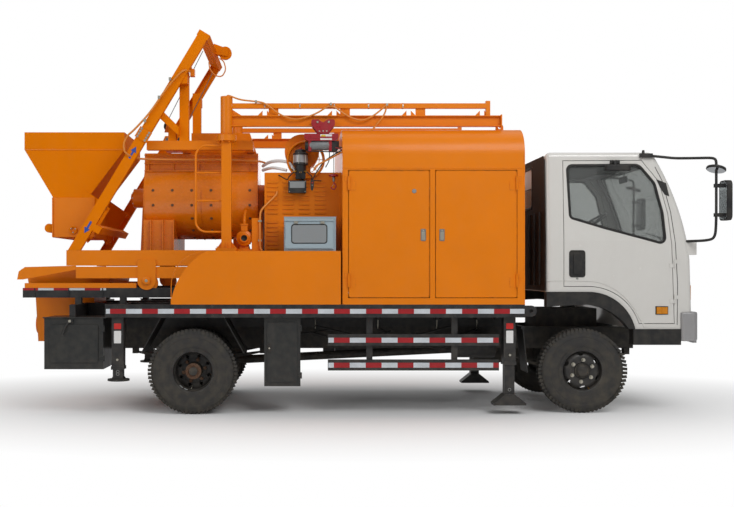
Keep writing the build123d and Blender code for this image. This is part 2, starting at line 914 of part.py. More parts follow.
with BuildPart() as mixer:
    with BuildSketch(Plane.YZ.offset(drum_rear)):
        with Locations((0, drum_z)):
            Circle(drum_radius)
        with Locations((0, (drum_z + cover_top) / 2)):
            Rectangle(2 * cover_half_width, cover_top - drum_z)
    extrude(amount=drum_front - drum_rear)
    with Locations(((drum_rear + trough_front) / 2, 0, (mixer_beam_top + trough_top) / 2)):
        Box(trough_front - drum_rear, 2 * trough_half_width, trough_top - mixer_beam_top)
    for sign in (-1, 1):
        for place in trough_ribs:
            with Locations(
                (place, sign * (trough_half_width + trough_rib_reach / 2), (mixer_beam_top + trough_top) / 2)
            ):
                Box(8, trough_rib_reach, trough_top - mixer_beam_top)
    for ledge_z in cover_ledges:
        with Locations(((drum_rear + drum_front) / 2, 0, ledge_z)):
            Box(drum_front - drum_rear, 2 * (cover_half_width + cover_ledge_reach), 14)
mixer.part.label = "mixer"
export_step(mixer.part, "parts/mixer.step")

with BuildPart() as mixer_hood:
    with BuildSketch(Plane.XZ.offset(-hood_half_width)):
        with BuildLine():
            Polyline(
                (hood_rear, cover_top),
                (hood_rear, hood_top),
                (hood_front - hood_slope, hood_top),
                (hood_front, cover_top),
                close=True,
            )
        make_face()
    extrude(amount=2 * hood_half_width)
    for side, sign in sides:
        upper_beam_middle = (upper_beam_rear + upper_beam_front) / 2
        with Locations((upper_beam_middle, sign * post_y, cover_top + upper_beam_height / 2)):
            Box(upper_beam_front - upper_beam_rear, post_width, upper_beam_height)
    for place in (post_x, upper_beam_front - 40):
        with Locations((place, 0, cover_top + 30)):
            Box(80, 2 * post_y, 60)
mixer_hood.part.label = "mixer_hood"
export_step(mixer_hood.part, "parts/mixer_hood.step")

# ---------------------------------------------------------------- hoist mast

mast_along = Vector(cos(radians(mast_lean)), 0, sin(radians(mast_lean)))
mast_under = Vector(sin(radians(mast_lean)), 0, -cos(radians(mast_lean)))


def on_mast(along, under, y):
    """Point beside the mast: along the rails from the foot, and below their middle line."""
    foot = Vector(mast_foot_x, y, mast_foot_z)
    return foot + mast_along * along + mast_under * under


with BuildPart() as mast:
    for side, sign in sides:
        channel = Plane(origin=on_mast(-mast_depth, 0, sign * mast_y), x_dir=(0, sign, 0), z_dir=mast_along)
        with BuildSketch(channel):
            Rectangle(mast_flange, mast_depth)
            with Locations((-mast_wall, 0)):
                Rectangle(mast_flange, mast_depth - 2 * mast_wall, mode=Mode.SUBTRACT)
        extrude(amount=mast_length + mast_depth)
        post_foot = cover_top + upper_beam_height
        post_head = mast_foot_z + (post_x - mast_foot_x) * mast_along.Z / mast_along.X
        with Locations((post_x, sign * post_y, (post_foot + post_head) / 2)):
            Box(post_width, post_width, post_head - post_foot)
        with Locations((post_x, sign * (post_y + mast_y) / 2, post_head - post_width)):
            Box(post_width, mast_y - post_y + 30, post_width)
    split(bisect_by=Plane.XY.offset(mixer_beam_top), keep=Keep.TOP)
    tie_start = on_mast(mast_tie_along, (mast_depth + mast_tie_depth) / 2 - 1, 0)
    with BuildSketch(Plane(origin=tie_start, x_dir=(0, 1, 0), z_dir=mast_along)):
        Rectangle(2 * mast_y + mast_flange, mast_tie_depth)
    extrude(amount=mast_tie_depth)
    for side, sign in sides:
        knee_top = on_mast(mast_knee_along, mast_depth / 2, 0)
        knee_low = (post_x - post_width / 2, 0, mast_knee_low)
        knee_y = (mast_y - mast_flange / 2 + post_y + post_width / 2) / 2
        with BuildSketch(Plane.XZ.offset(-sign * knee_y)):
            with BuildLine():
                Polyline(
                    (knee_top.X - 40, knee_top.Z - 40 * mast_along.Z / mast_along.X),
                    (knee_top.X, knee_top.Z),
                    (knee_low[0], knee_low[2] + 90),
                    (knee_low[0], knee_low[2]),
                    close=True,
                )
            make_face()
        extrude(amount=mast_knee_width / 2, both=True)
        with Locations((pulley_post_x, sign * post_y, (cover_top + upper_beam_height + pulley_post_top) / 2)):
            Box(pulley_post_width, pulley_post_width, pulley_post_top - cover_top - upper_beam_height)
        splice = on_mast(mast_splice_along, 0, sign * (mast_y + mast_flange / 2))
        with BuildSketch(Plane(origin=splice, x_dir=mast_along, z_dir=(0, sign, 0))):
            Rectangle(mast_splice_length, mast_depth + 30)
        extrude(amount=mast_splice_plate)
    cross = Plane(origin=on_mast(mast_length, 0, 0), x_dir=(0, 1, 0), z_dir=mast_along)
    with BuildSketch(cross):
        Rectangle(2 * mast_y + mast_flange, mast_depth + 2 * mast_wall)
    extrude(amount=crosshead_height)
    for sign in (-1, 1):
        with BuildSketch(Plane.XZ.offset(-sign * (sheave_width / 2 + 12))):
            with BuildLine():
                Polyline(
                    (mast_top_x, mast_top_z + 10),
                    (mast_top_x + 60, mast_top_z + 110),
                    (sheave_x + 40, sheave_z + 40),
                    (sheave_x + 30, sheave_z - 40),
                    (mast_top_x + 90, mast_top_z - 10),
                    close=True,
                )
            make_face()
        extrude(amount=5, both=True)
    with Locations(Location((sheave_x, 0, sheave_z), (90, 0, 0))):
        Cylinder(sheave_pin, sheave_width + 30)
mast.part.label = "mast"
export_step(mast.part, "parts/mast.step")

with BuildPart() as mast_sheave:
    with BuildSketch(Plane(origin=(sheave_x, 0, sheave_z), x_dir=(0, 1, 0), z_dir=(1, 0, 0))):
        with BuildLine():
            Polyline(
                (-sheave_width / 2, sheave_pin + running_fit),
                (-sheave_width / 2, sheave_radius),
                (0, sheave_radius - 14),
                (sheave_width / 2, sheave_radius),
                (sheave_width / 2, sheave_pin + running_fit),
                close=True,
            )
        make_face()
    revolve(axis=Axis((sheave_x, 0, sheave_z), (0, 1, 0)))
mast_sheave.part.label = "mast_sheave"
export_step(mast_sheave.part, "parts/mast_sheave.step")

# ---------------------------------------------------------------- skip bucket


def skip_outline(inset):
    """Side view of the skip, drawn in by a wall on the ends; open at the top."""
    with BuildLine() as outline:
        Polyline(
            (skip_rear + inset, skip_top),
            (skip_rear + inset, skip_band),
            (skip_mouth_rear + inset, skip_throat),
            (skip_mouth_rear + inset, skip_bottom + inset),
            (skip_mouth_front - inset, skip_bottom + inset),
            (skip_mouth_front - inset, skip_throat),
            (skip_front - inset, skip_band),
            (skip_front - inset, skip_top),
            close=True,
        )
    return outline.line


roller_under = mast_depth / 2 - mast_wall - skip_roller_radius - seat_gap
with BuildPart() as skip_bucket:
    with BuildSketch(Plane.XZ.offset(-skip_half_width)):
        add(skip_outline(0))
        make_face()
    extrude(amount=2 * skip_half_width)
    with BuildSketch(Plane.XZ.offset(-skip_half_width + skip_wall)):
        add(skip_outline(skip_wall))
        make_face()
    extrude(amount=2 * (skip_half_width - skip_wall), mode=Mode.SUBTRACT)
    for side, sign in sides:
        low = on_mast(skip_roller_low, roller_under, 0)
        high = on_mast(skip_roller_high, roller_under, 0)
        with BuildSketch(Plane.XZ.offset(-sign * (skip_half_width - skip_wall))):
            with BuildLine():
                Polyline(
                    (skip_mouth_front - 60, skip_bottom + 20),
                    (low.X, low.Z - 45),
                    (low.X + 45, low.Z),
                    (high.X + 45, high.Z),
                    (high.X, high.Z + 45),
                    (skip_mouth_front - 60, skip_throat + 90),
                    close=True,
                )
            make_face()
        extrude(amount=-sign * 16)
        for roller in (low, high):
            with BuildSketch(Plane.XZ.offset(-sign * skip_half_width)):
                with Locations((roller.X, roller.Z)):
                    Circle(skip_stub_radius)
            extrude(amount=-sign * (mast_y - skip_half_width))
            with BuildSketch(Plane.XZ.offset(-sign * (mast_y - mast_flange / 2 + 3))):
                with Locations((roller.X, roller.Z)):
                    Circle(skip_roller_radius)
            extrude(amount=-sign * (mast_flange - mast_wall - 9))
        with BuildSketch(Plane.XZ.offset(-sign * (skip_half_width - 1))):
            with Locations((skip_boss_x, skip_boss_z)):
                Circle(skip_boss_radius)
                Circle(skip_boss_radius - 14, mode=Mode.SUBTRACT)
        extrude(amount=-sign * skip_boss_reach)
    with BuildSketch(Plane.XZ.offset(-gate_roller_half)):
        with Locations((skip_mouth_rear - gate_roller_radius + 4, gate_roller_z)):
            Circle(gate_roller_radius)
    extrude(amount=2 * gate_roller_half)
skip_bucket.part.label = "skip_bucket"
export_step(skip_bucket.part, "parts/skip_bucket.step")

# ---------------------------------------------------------------- receiving hopper and pump



def hopper_form(inset):
    """Tray, throat and funnel of the receiving hopper, drawn in by a wall all round."""
    tray_rear = hopper_rear + hopper_step
    levels = (
        # height, rear end, front end, half width
        (hopper_tray_top, hopper_rear, hopper_front, hopper_half_width),
        (hopper_tray_bottom, tray_rear, hopper_front - hopper_step, hopper_half_width - hopper_step),
        (hopper_neck_z, tray_rear, hopper_neck_front, hopper_neck_half),
        (hopper_bottom + inset, tray_rear, hopper_neck_front, hopper_base_half),
    )
    with BuildPart() as form:
        for upper, lower in zip(levels, levels[1:]):
            for height, rear, front, half in (upper, lower):
                with BuildSketch(Plane.XY.offset(height)):
                    with Locations(((rear + front) / 2, 0)):
                        Rectangle(front - rear - 2 * inset, 2 * (half - inset))
            loft()
    return form.part


with BuildPart() as receiving_hopper:
    add(hopper_form(0))
    add(hopper_form(hopper_wall), mode=Mode.SUBTRACT)
    outlet_root = hopper_rear + hopper_step + 20
    with BuildSketch(Plane.YZ.offset(outlet_root)):
        with Locations((0, outlet_z)):
            Circle(outlet_radius)
    extrude(amount=outlet_face - outlet_root)
    with BuildSketch(Plane.YZ.offset(outlet_face)):
        with Locations((0, outlet_z)):
            Circle(outlet_flange_radius)
    extrude(amount=16)
    with BuildSketch(Plane.YZ.offset(outlet_root + 10)):
        with Locations((0, outlet_z)):
            Circle(outlet_bore)
    extrude(amount=outlet_face - outlet_root - 20, mode=Mode.SUBTRACT)
    for sign in (-1, 1):
        with BuildSketch(Plane.XZ.offset(-sign * (mixer_beam_y + mixer_beam_width / 2))):
            with BuildLine():
                Polyline(*hopper_guard_points, close=True)
            make_face()
        extrude(amount=sign * hopper_guard_wall)
        guard_link_y = (hopper_half_width - hopper_step + mixer_beam_y + mixer_beam_width / 2) / 2
        with Locations((hopper_rear + 30, sign * guard_link_y, hopper_tray_top - 50)):
            Box(50, 2 * (guard_link_y - hopper_half_width + hopper_step), 60)
receiving_hopper.part.label = "receiving_hopper"
export_step(receiving_hopper.part, "parts/receiving_hopper.step")

with BuildPart() as concrete_pump:
    for sign in (-1, 1):
        with BuildSketch(Plane.YZ.offset(cylinder_front)):
            with Locations((sign * cylinder_y, cylinder_z)):
                Circle(cylinder_radius)
        extrude(amount=water_box_rear - cylinder_front)
        with BuildSketch(Plane.YZ.offset(water_box_front)):
            with Locations((sign * cylinder_y, cylinder_z)):
                Circle(drive_radius)
        extrude(amount=drive_front - water_box_front)
    with Locations(((water_box_rear + water_box_front) / 2, 0, (frame_top + water_box_top) / 2)):
        Box(water_box_front - water_box_rear, 2 * water_box_half, water_box_top - frame_top)
    with Locations((hopper_neck_front + pump_plate / 2, 0, (frame_top + water_box_top) / 2)):
        Box(pump_plate, 2 * water_box_half, water_box_top - frame_top)
concrete_pump.part.label = "concrete_pump"
export_step(concrete_pump.part, "parts/concrete_pump.step")

# ---------------------------------------------------------------- jib cranes

jib_sleeve_bottom = jib_flange_z + jib_flange_height + seat_gap
for side, sign in sides:
    arm_y = sign * jib_column_y
    with BuildPart() as jib:
        with BuildSketch(Plane.XY.offset(jib_sleeve_bottom)):
            with Locations((jib_column_x, arm_y)):
                Circle(jib_sleeve_radius)
        extrude(amount=jib_sleeve_top - jib_sleeve_bottom)
        with BuildSketch(Plane.YZ.offset(jib_column_x)) as beam_section:
            with Locations(
                (arm_y, jib_beam_bottom + jib_beam_flange / 2),
                (arm_y, jib_beam_top - jib_beam_flange / 2),
            ):
                Rectangle(jib_beam_width, jib_beam_flange)
            with Locations((arm_y, (jib_beam_bottom + jib_beam_top) / 2)):
                Rectangle(jib_beam_web, jib_beam_top - jib_beam_bottom)
        extrude(amount=jib_tip_x - jib_column_x)
        with Locations(((jib_column_x + jib_tube_end) / 2, arm_y, (jib_tube_bottom + jib_tube_top) / 2)):
            Box(jib_tube_end - jib_column_x, jib_tube_width, jib_tube_top - jib_tube_bottom)
        for place in jib_gusset_places:
            with Locations((place, arm_y, (jib_beam_top + jib_tube_bottom) / 2)):
                Box(jib_gusset_length, 12, jib_tube_bottom - jib_beam_top)
        with Locations((jib_tube_end - 22, arm_y, (jib_beam_top + jib_tip_post_top) / 2)):
            Box(44, jib_tube_width, jib_tip_post_top - jib_beam_top)
        with BuildSketch(Plane.XY.offset(jib_sleeve_bottom)):
            with Locations((jib_column_x, arm_y)):
                Circle(jib_pin_radius + running_fit)
        extrude(amount=jib_sleeve_top - jib_cap + seat_gap - jib_sleeve_bottom, mode=Mode.SUBTRACT)
    jib.part.label = f"jib_{side}"
    export_step(jib.part, f"parts/jib_{side}.step")

# ---------------------------------------------------------------- electric hoist on the right jib

hoist_y = -jib_column_y
with BuildPart() as hoist:
    for sign in (-1, 1):
        plate_y = hoist_y + sign * (jib_beam_width / 2 + trolley_play + trolley_plate / 2)
        with Locations((trolley_x, plate_y, jib_beam_bottom - trolley_plate_height / 2 + trolley_reach)):
            Box(trolley_length, trolley_plate, trolley_plate_height)
        for end in (-1, 1):
            wheel_x = trolley_x + end * (trolley_length / 2 - trolley_wheel_radius - 4)
            wheel_z = jib_beam_bottom + jib_beam_flange + seat_gap + trolley_wheel_radius
            with BuildSketch(Plane.XZ.offset(-plate_y)):
                with Locations((wheel_x, wheel_z)):
                    Circle(trolley_wheel_radius)
            extrude(amount=sign * trolley_wheel_width)
    with Locations((trolley_x, hoist_y, hoist_top + 4)):
        Box(trolley_length, jib_beam_width + 2 * trolley_play + 2 * trolley_plate, 24)
    with BuildSketch(Plane.YZ.offset(trolley_x - hoist_length / 2)):
        with Locations((hoist_y, hoist_top - hoist_radius)):
            Circle(hoist_radius)
    extrude(amount=hoist_length)
    with BuildSketch(Plane.XY.offset(hoist_top - hoist_radius)):
        with Locations((hook_x, hoist_y)):
            Circle(rope_radius)
    extrude(amount=-hoist_rope - hoist_radius)
    with BuildSketch(Plane.XY.offset(hoist_top - 2 * hoist_radius - hoist_rope / 2)):
        with Locations((hook_x, hoist_y)):
            Circle(rope_stop_radius)
    extrude(amount=-20)
    with BuildSketch(Plane.XY.offset(hoist_top - 2 * hoist_radius - hoist_rope)):
        with Locations((hook_x, hoist_y)):
            Circle(18)
    extrude(amount=-60)
hoist.part.label = "hoist"
export_step(hoist.part, "parts/hoist.step")

# ---------------------------------------------------------------- machinery housing


def housing_form(inset):
    """Housing body with rolled roof edges, drawn in by the wall."""
    half = deck_half_width - inset
    corner = housing_corner - inset
    with BuildPart() as form:
        with BuildSketch(Plane.YZ.offset(housing_rear + inset)) as section:
            with Locations((0, (deck_top + housing_top) / 2)):
                Rectangle(2 * half, housing_top - deck_top - 2 * inset)
            fillet(section.vertices().group_by(Axis.Y)[-1], radius=corner)
        extrude(amount=housing_front - housing_rear - 2 * inset)
    return form.part


housing_doors = (
    # place, rear edge, front edge, hinge edge
    ("rear", rear_door_x[0], rear_door_x[1], rear_door_x[0]),
    ("front", front_door_x[0], front_door_x[1], front_door_x[1]),
)
door_middle_z = (door_sill + door_head) / 2
door_height = door_head - door_sill

with BuildPart() as housing:
    add(housing_form(0))
    add(housing_form(housing_wall), mode=Mode.SUBTRACT)
    for place, rear_edge, front_edge, hinge_edge in housing_doors:
        with Locations(((rear_edge + front_edge) / 2, 0, door_middle_z)):
            Box(
                front_edge - rear_edge + 2 * panel_gap,
                2 * deck_half_width + 10,
                door_height + 2 * panel_gap,
                mode=Mode.SUBTRACT,
            )
    for side, sign in sides:
        with BuildSketch(Plane.XZ.offset(-sign * roof_lug_y)):
            with Locations((roof_lug_x, housing_top + roof_lug_radius / 2 - 5)):
                Rectangle(2 * roof_lug_radius, roof_lug_radius + 10)
            with Locations((roof_lug_x, housing_top + roof_lug_radius)):
                Circle(roof_lug_radius)
                Circle(roof_lug_bore, mode=Mode.SUBTRACT)
        extrude(amount=roof_lug_thickness / 2, both=True)
        for place, rear_edge, front_edge, hinge_edge in housing_doors:
            leaf_way = 1 if (rear_edge + front_edge) / 2 < hinge_edge else -1
            for height in door_hinge_heights:
                with BuildSketch(Plane.XY.offset(height + hinge_length + seat_gap)):
                    with Locations((hinge_edge, sign * (deck_half_width + hinge_offset))):
                        Circle(hinge_radius)
                    with Locations(
                        (
                            hinge_edge + leaf_way * fixed_leaf_length / 2,
                            sign * (deck_half_width + hinge_leaf / 2),
                        )
                    ):
                        Rectangle(fixed_leaf_length, hinge_leaf)
                extrude(amount=hinge_fixed_length)
housing.part.label = "housing"
export_step(housing.part, "parts/housing.step")

for side, sign in sides:
    for place, rear_edge, front_edge, hinge_edge in housing_doors:
        hinge_y = sign * (deck_half_width + hinge_offset)
        with BuildPart() as door:
            with BuildSketch(Plane.XZ.offset(-sign * deck_half_width)):
                with Locations(((rear_edge + front_edge) / 2, door_middle_z)):
                    Rectangle(front_edge - rear_edge, door_height)
            extrude(amount=sign * door_thickness)
            for height in door_hinge_heights:
                with BuildSketch(Plane.XY.offset(height)):
                    with Locations((hinge_edge, hinge_y)):
                        Circle(hinge_radius)
                    door_middle = (rear_edge + front_edge) / 2
                    leaf_way = 1 if door_middle > hinge_edge else -1
                    leaf_x = hinge_edge + leaf_way * hinge_leaf_length / 2
                    with Locations((leaf_x, sign * (deck_half_width + hinge_leaf / 2))):
                        Rectangle(hinge_leaf_length, hinge_leaf)
                extrude(amount=hinge_length)
        door.part.label = f"housing_door_{place}_{side}"
        export_step(door.part, f"parts/housing_door_{place}_{side}.step")

with BuildPart() as power_unit:
    with Locations(((power_rear + power_front) / 2, 0, deck_top + housing_wall + power_height / 2)):
        Box(power_front - power_rear, 2 * power_half_width, power_height)
    fillet(power_unit.edges().filter_by(Axis.X).group_by(Axis.Z)[-1], radius=80)
power_unit.part.label = "power_unit"
export_step(power_unit.part, "parts/power_unit.step")

with BuildPart() as skirts:
    for side, sign in sides:
        with BuildSketch(Plane.XZ.offset(-sign * deck_half_width)):
            with BuildLine():
                Line((skirt_rear, deck_top), (skirt_front, deck_top))
                Line((skirt_front, deck_top), (skirt_front, skirt_top))
                Line((skirt_front, skirt_top), (skirt_rear + skirt_curve, skirt_top))
                ThreePointArc(
                    (skirt_rear + skirt_curve, skirt_top),
                    (skirt_rear + skirt_curve * 0.33, skirt_top - skirt_curve * 0.62),
                    (skirt_rear, deck_top),
                )
            make_face()
        extrude(amount=sign * skirt_wall)
        shelf_rear = jib_column_x + jib_base_width / 2 + panel_gap
        with Locations(
            (
                (shelf_rear + skirt_front) / 2,
                sign * (deck_half_width - skirt_shelf / 2),
                skirt_top - skirt_wall / 2,
            )
        ):
            Box(skirt_front - shelf_rear, skirt_shelf, skirt_wall)
skirts.part.label = "skirts"
export_step(skirts.part, "parts/skirts.step")

with BuildPart() as louvre_box:
    with Locations(((cooler_rear + cooler_front) / 2, 0, (deck_top + cooler_top) / 2)):
        Box(cooler_front - cooler_rear, 2 * cooler_half_width, cooler_top - deck_top)
    with BuildSketch(Plane.XZ.offset(fan_cover_y)):
        with Locations((fan_cover_x, fan_cover_z)):
            Circle(fan_cover_radius)
    extrude(amount=-fan_cover_length)
    with Locations((fan_cover_x, -fan_cover_y + fan_cover_length / 2, (cooler_top + fan_cover_z) / 2)):
        Box(fan_cover_radius, fan_cover_length, fan_cover_z - cooler_top)
louvre_box.part.label = "louvre_box"
export_step(louvre_box.part, "parts/louvre_box.step")

with BuildPart() as control_box:
    with Locations(((control_rear + control_front) / 2, control_middle_y, (skirt_top + control_top) / 2)):
        Box(control_front - control_rear, control_depth, control_top - skirt_top)
    for height in control_hinge_heights:
        with BuildSketch(Plane.XY.offset(height + small_hinge_length + seat_gap)):
            with Locations((control_hinge_x, -control_hinge_y)):
                Circle(small_hinge_radius)
            with Locations((control_hinge_x, (-control_hinge_y + control_middle_y - control_depth / 2) / 2)):
                Rectangle(2 * small_hinge_radius, control_hinge_y + control_middle_y - control_depth / 2)
        extrude(amount=small_hinge_length)
control_box.part.label = "control_box"
export_step(control_box.part, "parts/control_box.step")

with BuildPart() as control_lid:
    with BuildSketch(Plane.XZ.offset(control_lid_y)):
        with Locations(((control_rear + control_front) / 2, (skirt_top + control_top) / 2)):
            Rectangle(control_front - control_rear - 40, control_top - skirt_top - 40)
    extrude(amount=control_lid_thickness)
    for height in control_hinge_heights:
        with BuildSketch(Plane.XY.offset(height)):
            with Locations((control_hinge_x, -control_hinge_y)):
                Circle(small_hinge_radius)
            with Locations((control_hinge_x + 14, -control_hinge_y + small_hinge_radius / 2)):
                Rectangle(28, small_hinge_radius)
        extrude(amount=small_hinge_length)
control_lid.part.label = "control_lid"
export_step(control_lid.part, "parts/control_lid.step")

with BuildPart() as grease_pump:
    with BuildSketch(Plane.XY.offset(cooler_top - grease_reach)):
        with Locations((grease_x, grease_y)):
            Circle(grease_radius)
    extrude(amount=grease_height)
    with Locations((grease_x, -(cooler_half_width + grease_block / 2), cooler_top - grease_reach - 60)):
        Box(grease_block + 60, grease_block, 160)
grease_pump.part.label = "grease_pump"
export_step(grease_pump.part, "parts/grease_pump.step")

# ---------------------------------------------------------------- boxes, tanks and guards under the deck


def open_box(rear, front, inner_y, outer_y, bottom, top, wall):
    """Sheet box, open on the side that faces out along Y."""
    with BuildPart() as box:
        with Locations(((rear + front) / 2, (inner_y + outer_y) / 2, (bottom + top) / 2)):
            Box(front - rear, abs(outer_y - inner_y), top - bottom)
        outward = Axis.Y if outer_y > inner_y else -Axis.Y
        offset(amount=-wall, openings=box.faces().sort_by(outward)[-1])
    return box.part


side_boxes = (
    # name, rear, front, inner half width, outer half width, bottom, top
    ("tool_box", -3220, -2630, 650, 1095, 460, deck_bearing - outrigger_height),
    ("cabinet", -1020, -655, 750, 1055, 285, deck_bearing - outrigger_height),
)
with BuildPart() as boxes:
    for name, rear, front, inner_y, outer_y, bottom, top in side_boxes:
        add(open_box(rear, front, -inner_y, -outer_y, bottom, top, box_wall))
        for height in (bottom + 80, top - 140):
            with BuildSketch(Plane.XY.offset(height + small_hinge_length + seat_gap)):
                with Locations((front + small_hinge_radius + 1, -outer_y - box_door_thickness)):
                    Circle(small_hinge_radius)
                with Locations((front + small_hinge_radius / 2, -outer_y - box_door_thickness / 2 + 4)):
                    Rectangle(small_hinge_radius, box_door_thickness + 8)
            extrude(amount=small_hinge_length)
boxes.part.label = "side_boxes"
export_step(boxes.part, "parts/side_boxes.step")

for name, rear, front, inner_y, outer_y, bottom, top in side_boxes:
    with BuildPart() as door:
        with BuildSketch(Plane.XZ.offset(outer_y + seat_gap)):
            with Locations(((rear + front) / 2, (bottom + top) / 2)):
                Rectangle(front - rear, top - bottom - 4)
        extrude(amount=box_door_thickness)
        with BuildSketch(Plane.XZ.offset(outer_y + seat_gap + box_door_thickness)):
            with Locations((rear + 70, (bottom + top) / 2)):
                Rectangle(36, 90)
        extrude(amount=12)
        for height in (bottom + 80, top - 140):
            with BuildSketch(Plane.XY.offset(height)):
                with Locations((front + small_hinge_radius + 1, -outer_y - box_door_thickness)):
                    Circle(small_hinge_radius)
                with Locations((front - 10, -outer_y - box_door_thickness - small_hinge_radius / 2)):
                    Rectangle(36, small_hinge_radius)
            extrude(amount=small_hinge_length)
    door.part.label = f"{name}_door"
    export_step(door.part, f"parts/{name}_door.step")

with BuildPart() as tanks:
    with BuildSketch(Plane.YZ.offset(fuel_rear)):
        with Locations((fuel_middle_y, fuel_middle_z)):
            RectangleRounded(fuel_width, fuel_height, 70)
    extrude(amount=fuel_length)
    for place in (fuel_rear + 120, fuel_rear + fuel_length - 120):
        with Locations((place, (rail_outer + fuel_middle_y) / 2, fuel_middle_z + fuel_height / 2 + 14)):
            Box(50, fuel_middle_y - rail_outer, 30)
    with BuildSketch(Plane.YZ.offset(air_tank_rear)):
        with Locations((-air_tank_y, air_tank_z)):
            Circle(air_tank_radius)
    extrude(amount=air_tank_length)
    for place in (air_tank_rear + 90, air_tank_rear + air_tank_length - 90):
        with Locations((place, -(rail_outer + air_tank_y) / 2, air_tank_z + air_tank_radius - 6)):
            Box(40, air_tank_y - rail_outer, 24)
tanks.part.label = "tanks"
export_step(tanks.part, "parts/tanks.step")

with BuildPart() as drive_line:
    with Locations(((engine_rear + engine_front) / 2, 0, (engine_bottom + engine_top) / 2)):
        Box(engine_front - engine_rear, engine_width, engine_top - engine_bottom)
    with Locations(((gearbox_rear + engine_rear) / 2, 0, shaft_z)):
        Box(engine_rear - gearbox_rear, 260, 300)
    shaft_start = Vector(gearbox_rear, 0, shaft_z)
    shaft_end = Vector(rear_axle_x + differential_radius - 1, 0, tyre_radius + 20)
    with BuildSketch(Plane(origin=shaft_start, z_dir=shaft_end - shaft_start)):
        Circle(shaft_radius)
    extrude(amount=(shaft_end - shaft_start).length)
drive_line.part.label = "drive_line"
export_step(drive_line.part, "parts/drive_line.step")

with BuildPart() as mudguards:
    for side, sign in sides:
        with BuildSketch(Plane.XZ.offset(-sign * mudguard_inner_y)):
            with BuildLine():
                outer = Polyline(
                    (rear_axle_x - mudguard_reach, mudguard_low),
                    (rear_axle_x - mudguard_flat, mudguard_high),
                    (rear_axle_x + mudguard_flat, mudguard_high),
                    (rear_axle_x + mudguard_reach, mudguard_low),
                )
                offset(outer, amount=mudguard_wall, side=Side.RIGHT)
            make_face()
        extrude(amount=-sign * (mudguard_outer_y - mudguard_inner_y))
mudguards.part.label = "mudguards"
export_step(mudguards.part, "parts/mudguards.step")

with BuildPart() as side_guards:
    for side, sign in sides:
        for low, high in guard_bars:
            with Locations(((guard_rear + guard_front) / 2, sign * guard_y, (low + high) / 2)):
                Box(guard_front - guard_rear, guard_bar, high - low)
        for place in guard_hangers:
            hanger_top = deck_bearing - outrigger_height
            with Locations((place, sign * (guard_y - guard_bar), (guard_bars[1][0] + hanger_top) / 2)):
                Box(60, guard_bar, hanger_top - guard_bars[1][0])
side_guards.part.label = "side_guards"
export_step(side_guards.part, "parts/side_guards.step")

# ---------------------------------------------------------------- cab


arch_rise = cab_step_z - cab_sill
arch_run = arch_front_x - arch_crown_x
arch_curve = (arch_run**2 + arch_rise**2) / (2 * arch_rise)
arch_centre_z = cab_step_z - arch_curve


def arch_points(inset):
    """Ends and middle of the arc over the front wheel, from the sill up to the crown."""
    radius = arch_curve + inset
    low_angle = asin((cab_sill + inset - arch_centre_z) / radius)
    angles = (low_angle, (low_angle + pi / 2) / 2, pi / 2)
    return [(arch_crown_x + radius * cos(angle), arch_centre_z + radius * sin(angle)) for angle in angles]


def cab_form(inset):
    """Outer form of the cab, drawn in by a wall; the arches and the engine lie below its step."""
    rear = cab_rear + inset
    top = cab_top - inset
    low = cab_sill + inset
    step = cab_step_z + inset
    with BuildPart() as form:
        with BuildSketch(Plane.XZ.offset(-cab_half_width - 10)) as outline:
            with BuildLine():
                Line((rear, step), (rear, top - cab_roof_radius))
                RadiusArc((rear, top - cab_roof_radius), (rear + cab_roof_radius, top), cab_roof_radius)
                Line((rear + cab_roof_radius, top), (screen_top_x - 90 - inset, top))
                ThreePointArc(
                    (screen_top_x - 90 - inset, top),
                    (screen_top_x - 30 - inset, top - 16),
                    (screen_top_x - inset, top - 60),
                )
                ThreePointArc(
                    (screen_top_x - inset, top - 60),
                    (screen_middle_x - inset, screen_middle_z),
                    (screen_base_x - inset, screen_base_z),
                )
                Line((screen_base_x - inset, screen_base_z), (cab_front - inset, cab_nose_z))
                Line((cab_front - inset, cab_nose_z), (cab_front - inset - 20, low))
                arch = arch_points(inset)
                Line((cab_front - inset - 20, low), arch[0])
                ThreePointArc(*arch)
                Line(arch[2], (rear, step))
            make_face()
        extrude(amount=2 * cab_half_width + 20)
        half = cab_half_width - inset
        with BuildSketch(Plane.YZ.offset(cab_rear - 10)):
            with BuildLine():
                Polyline(
                    (-half, low - 1),
                    (-half, cab_belt_z),
                    (-half + cab_lean, top + 1),
                    (half - cab_lean, top + 1),
                    (half, cab_belt_z),
                    (half, low - 1),
                    close=True,
                )
            make_face()
        extrude(amount=cab_front - cab_rear + 200, mode=Mode.INTERSECT)
    return form.part


def window_outline(grow):
    """Side window of a door, its lower edge falling towards the front."""
    with BuildSketch() as outline:
        with BuildLine():
            Polyline(*door_window_points, close=True)
        make_face()
        fillet(outline.vertices(), radius=45)
        if grow:
            offset(amount=grow)
    return outline.sketch


def door_outline(shrink):
    with BuildSketch() as outline:
        with BuildLine():
            Polyline(*cab_door_points)
            arch = arch_points(cab_wall + panel_gap)
            Line(cab_door_points[-1], (cab_door_front_x, arch[0][1]))
            Line((cab_door_front_x, arch[0][1]), arch[0])
            ThreePointArc(*arch)
            Line(arch[2], cab_door_points[0])
        make_face()
        if shrink:
            offset(amount=-shrink)
    return outline.sketch


cab_block = cab_form(0)
cab_corners = [
    edge
    for edge in cab_block.edges()
    if abs(edge.center().Y) > cab_half_width - cab_lean - 1
    and (edge.center().Z > cab_step_z + 60 or edge.center().X > cab_front - 50)
]
cab_outer = fillet(cab_corners, radius=cab_corner_radius)
cab_inner = cab_form(cab_wall)
glass_outer = cab_form(glass_depth)
glass_inner = cab_form(glass_depth + glass_wall)

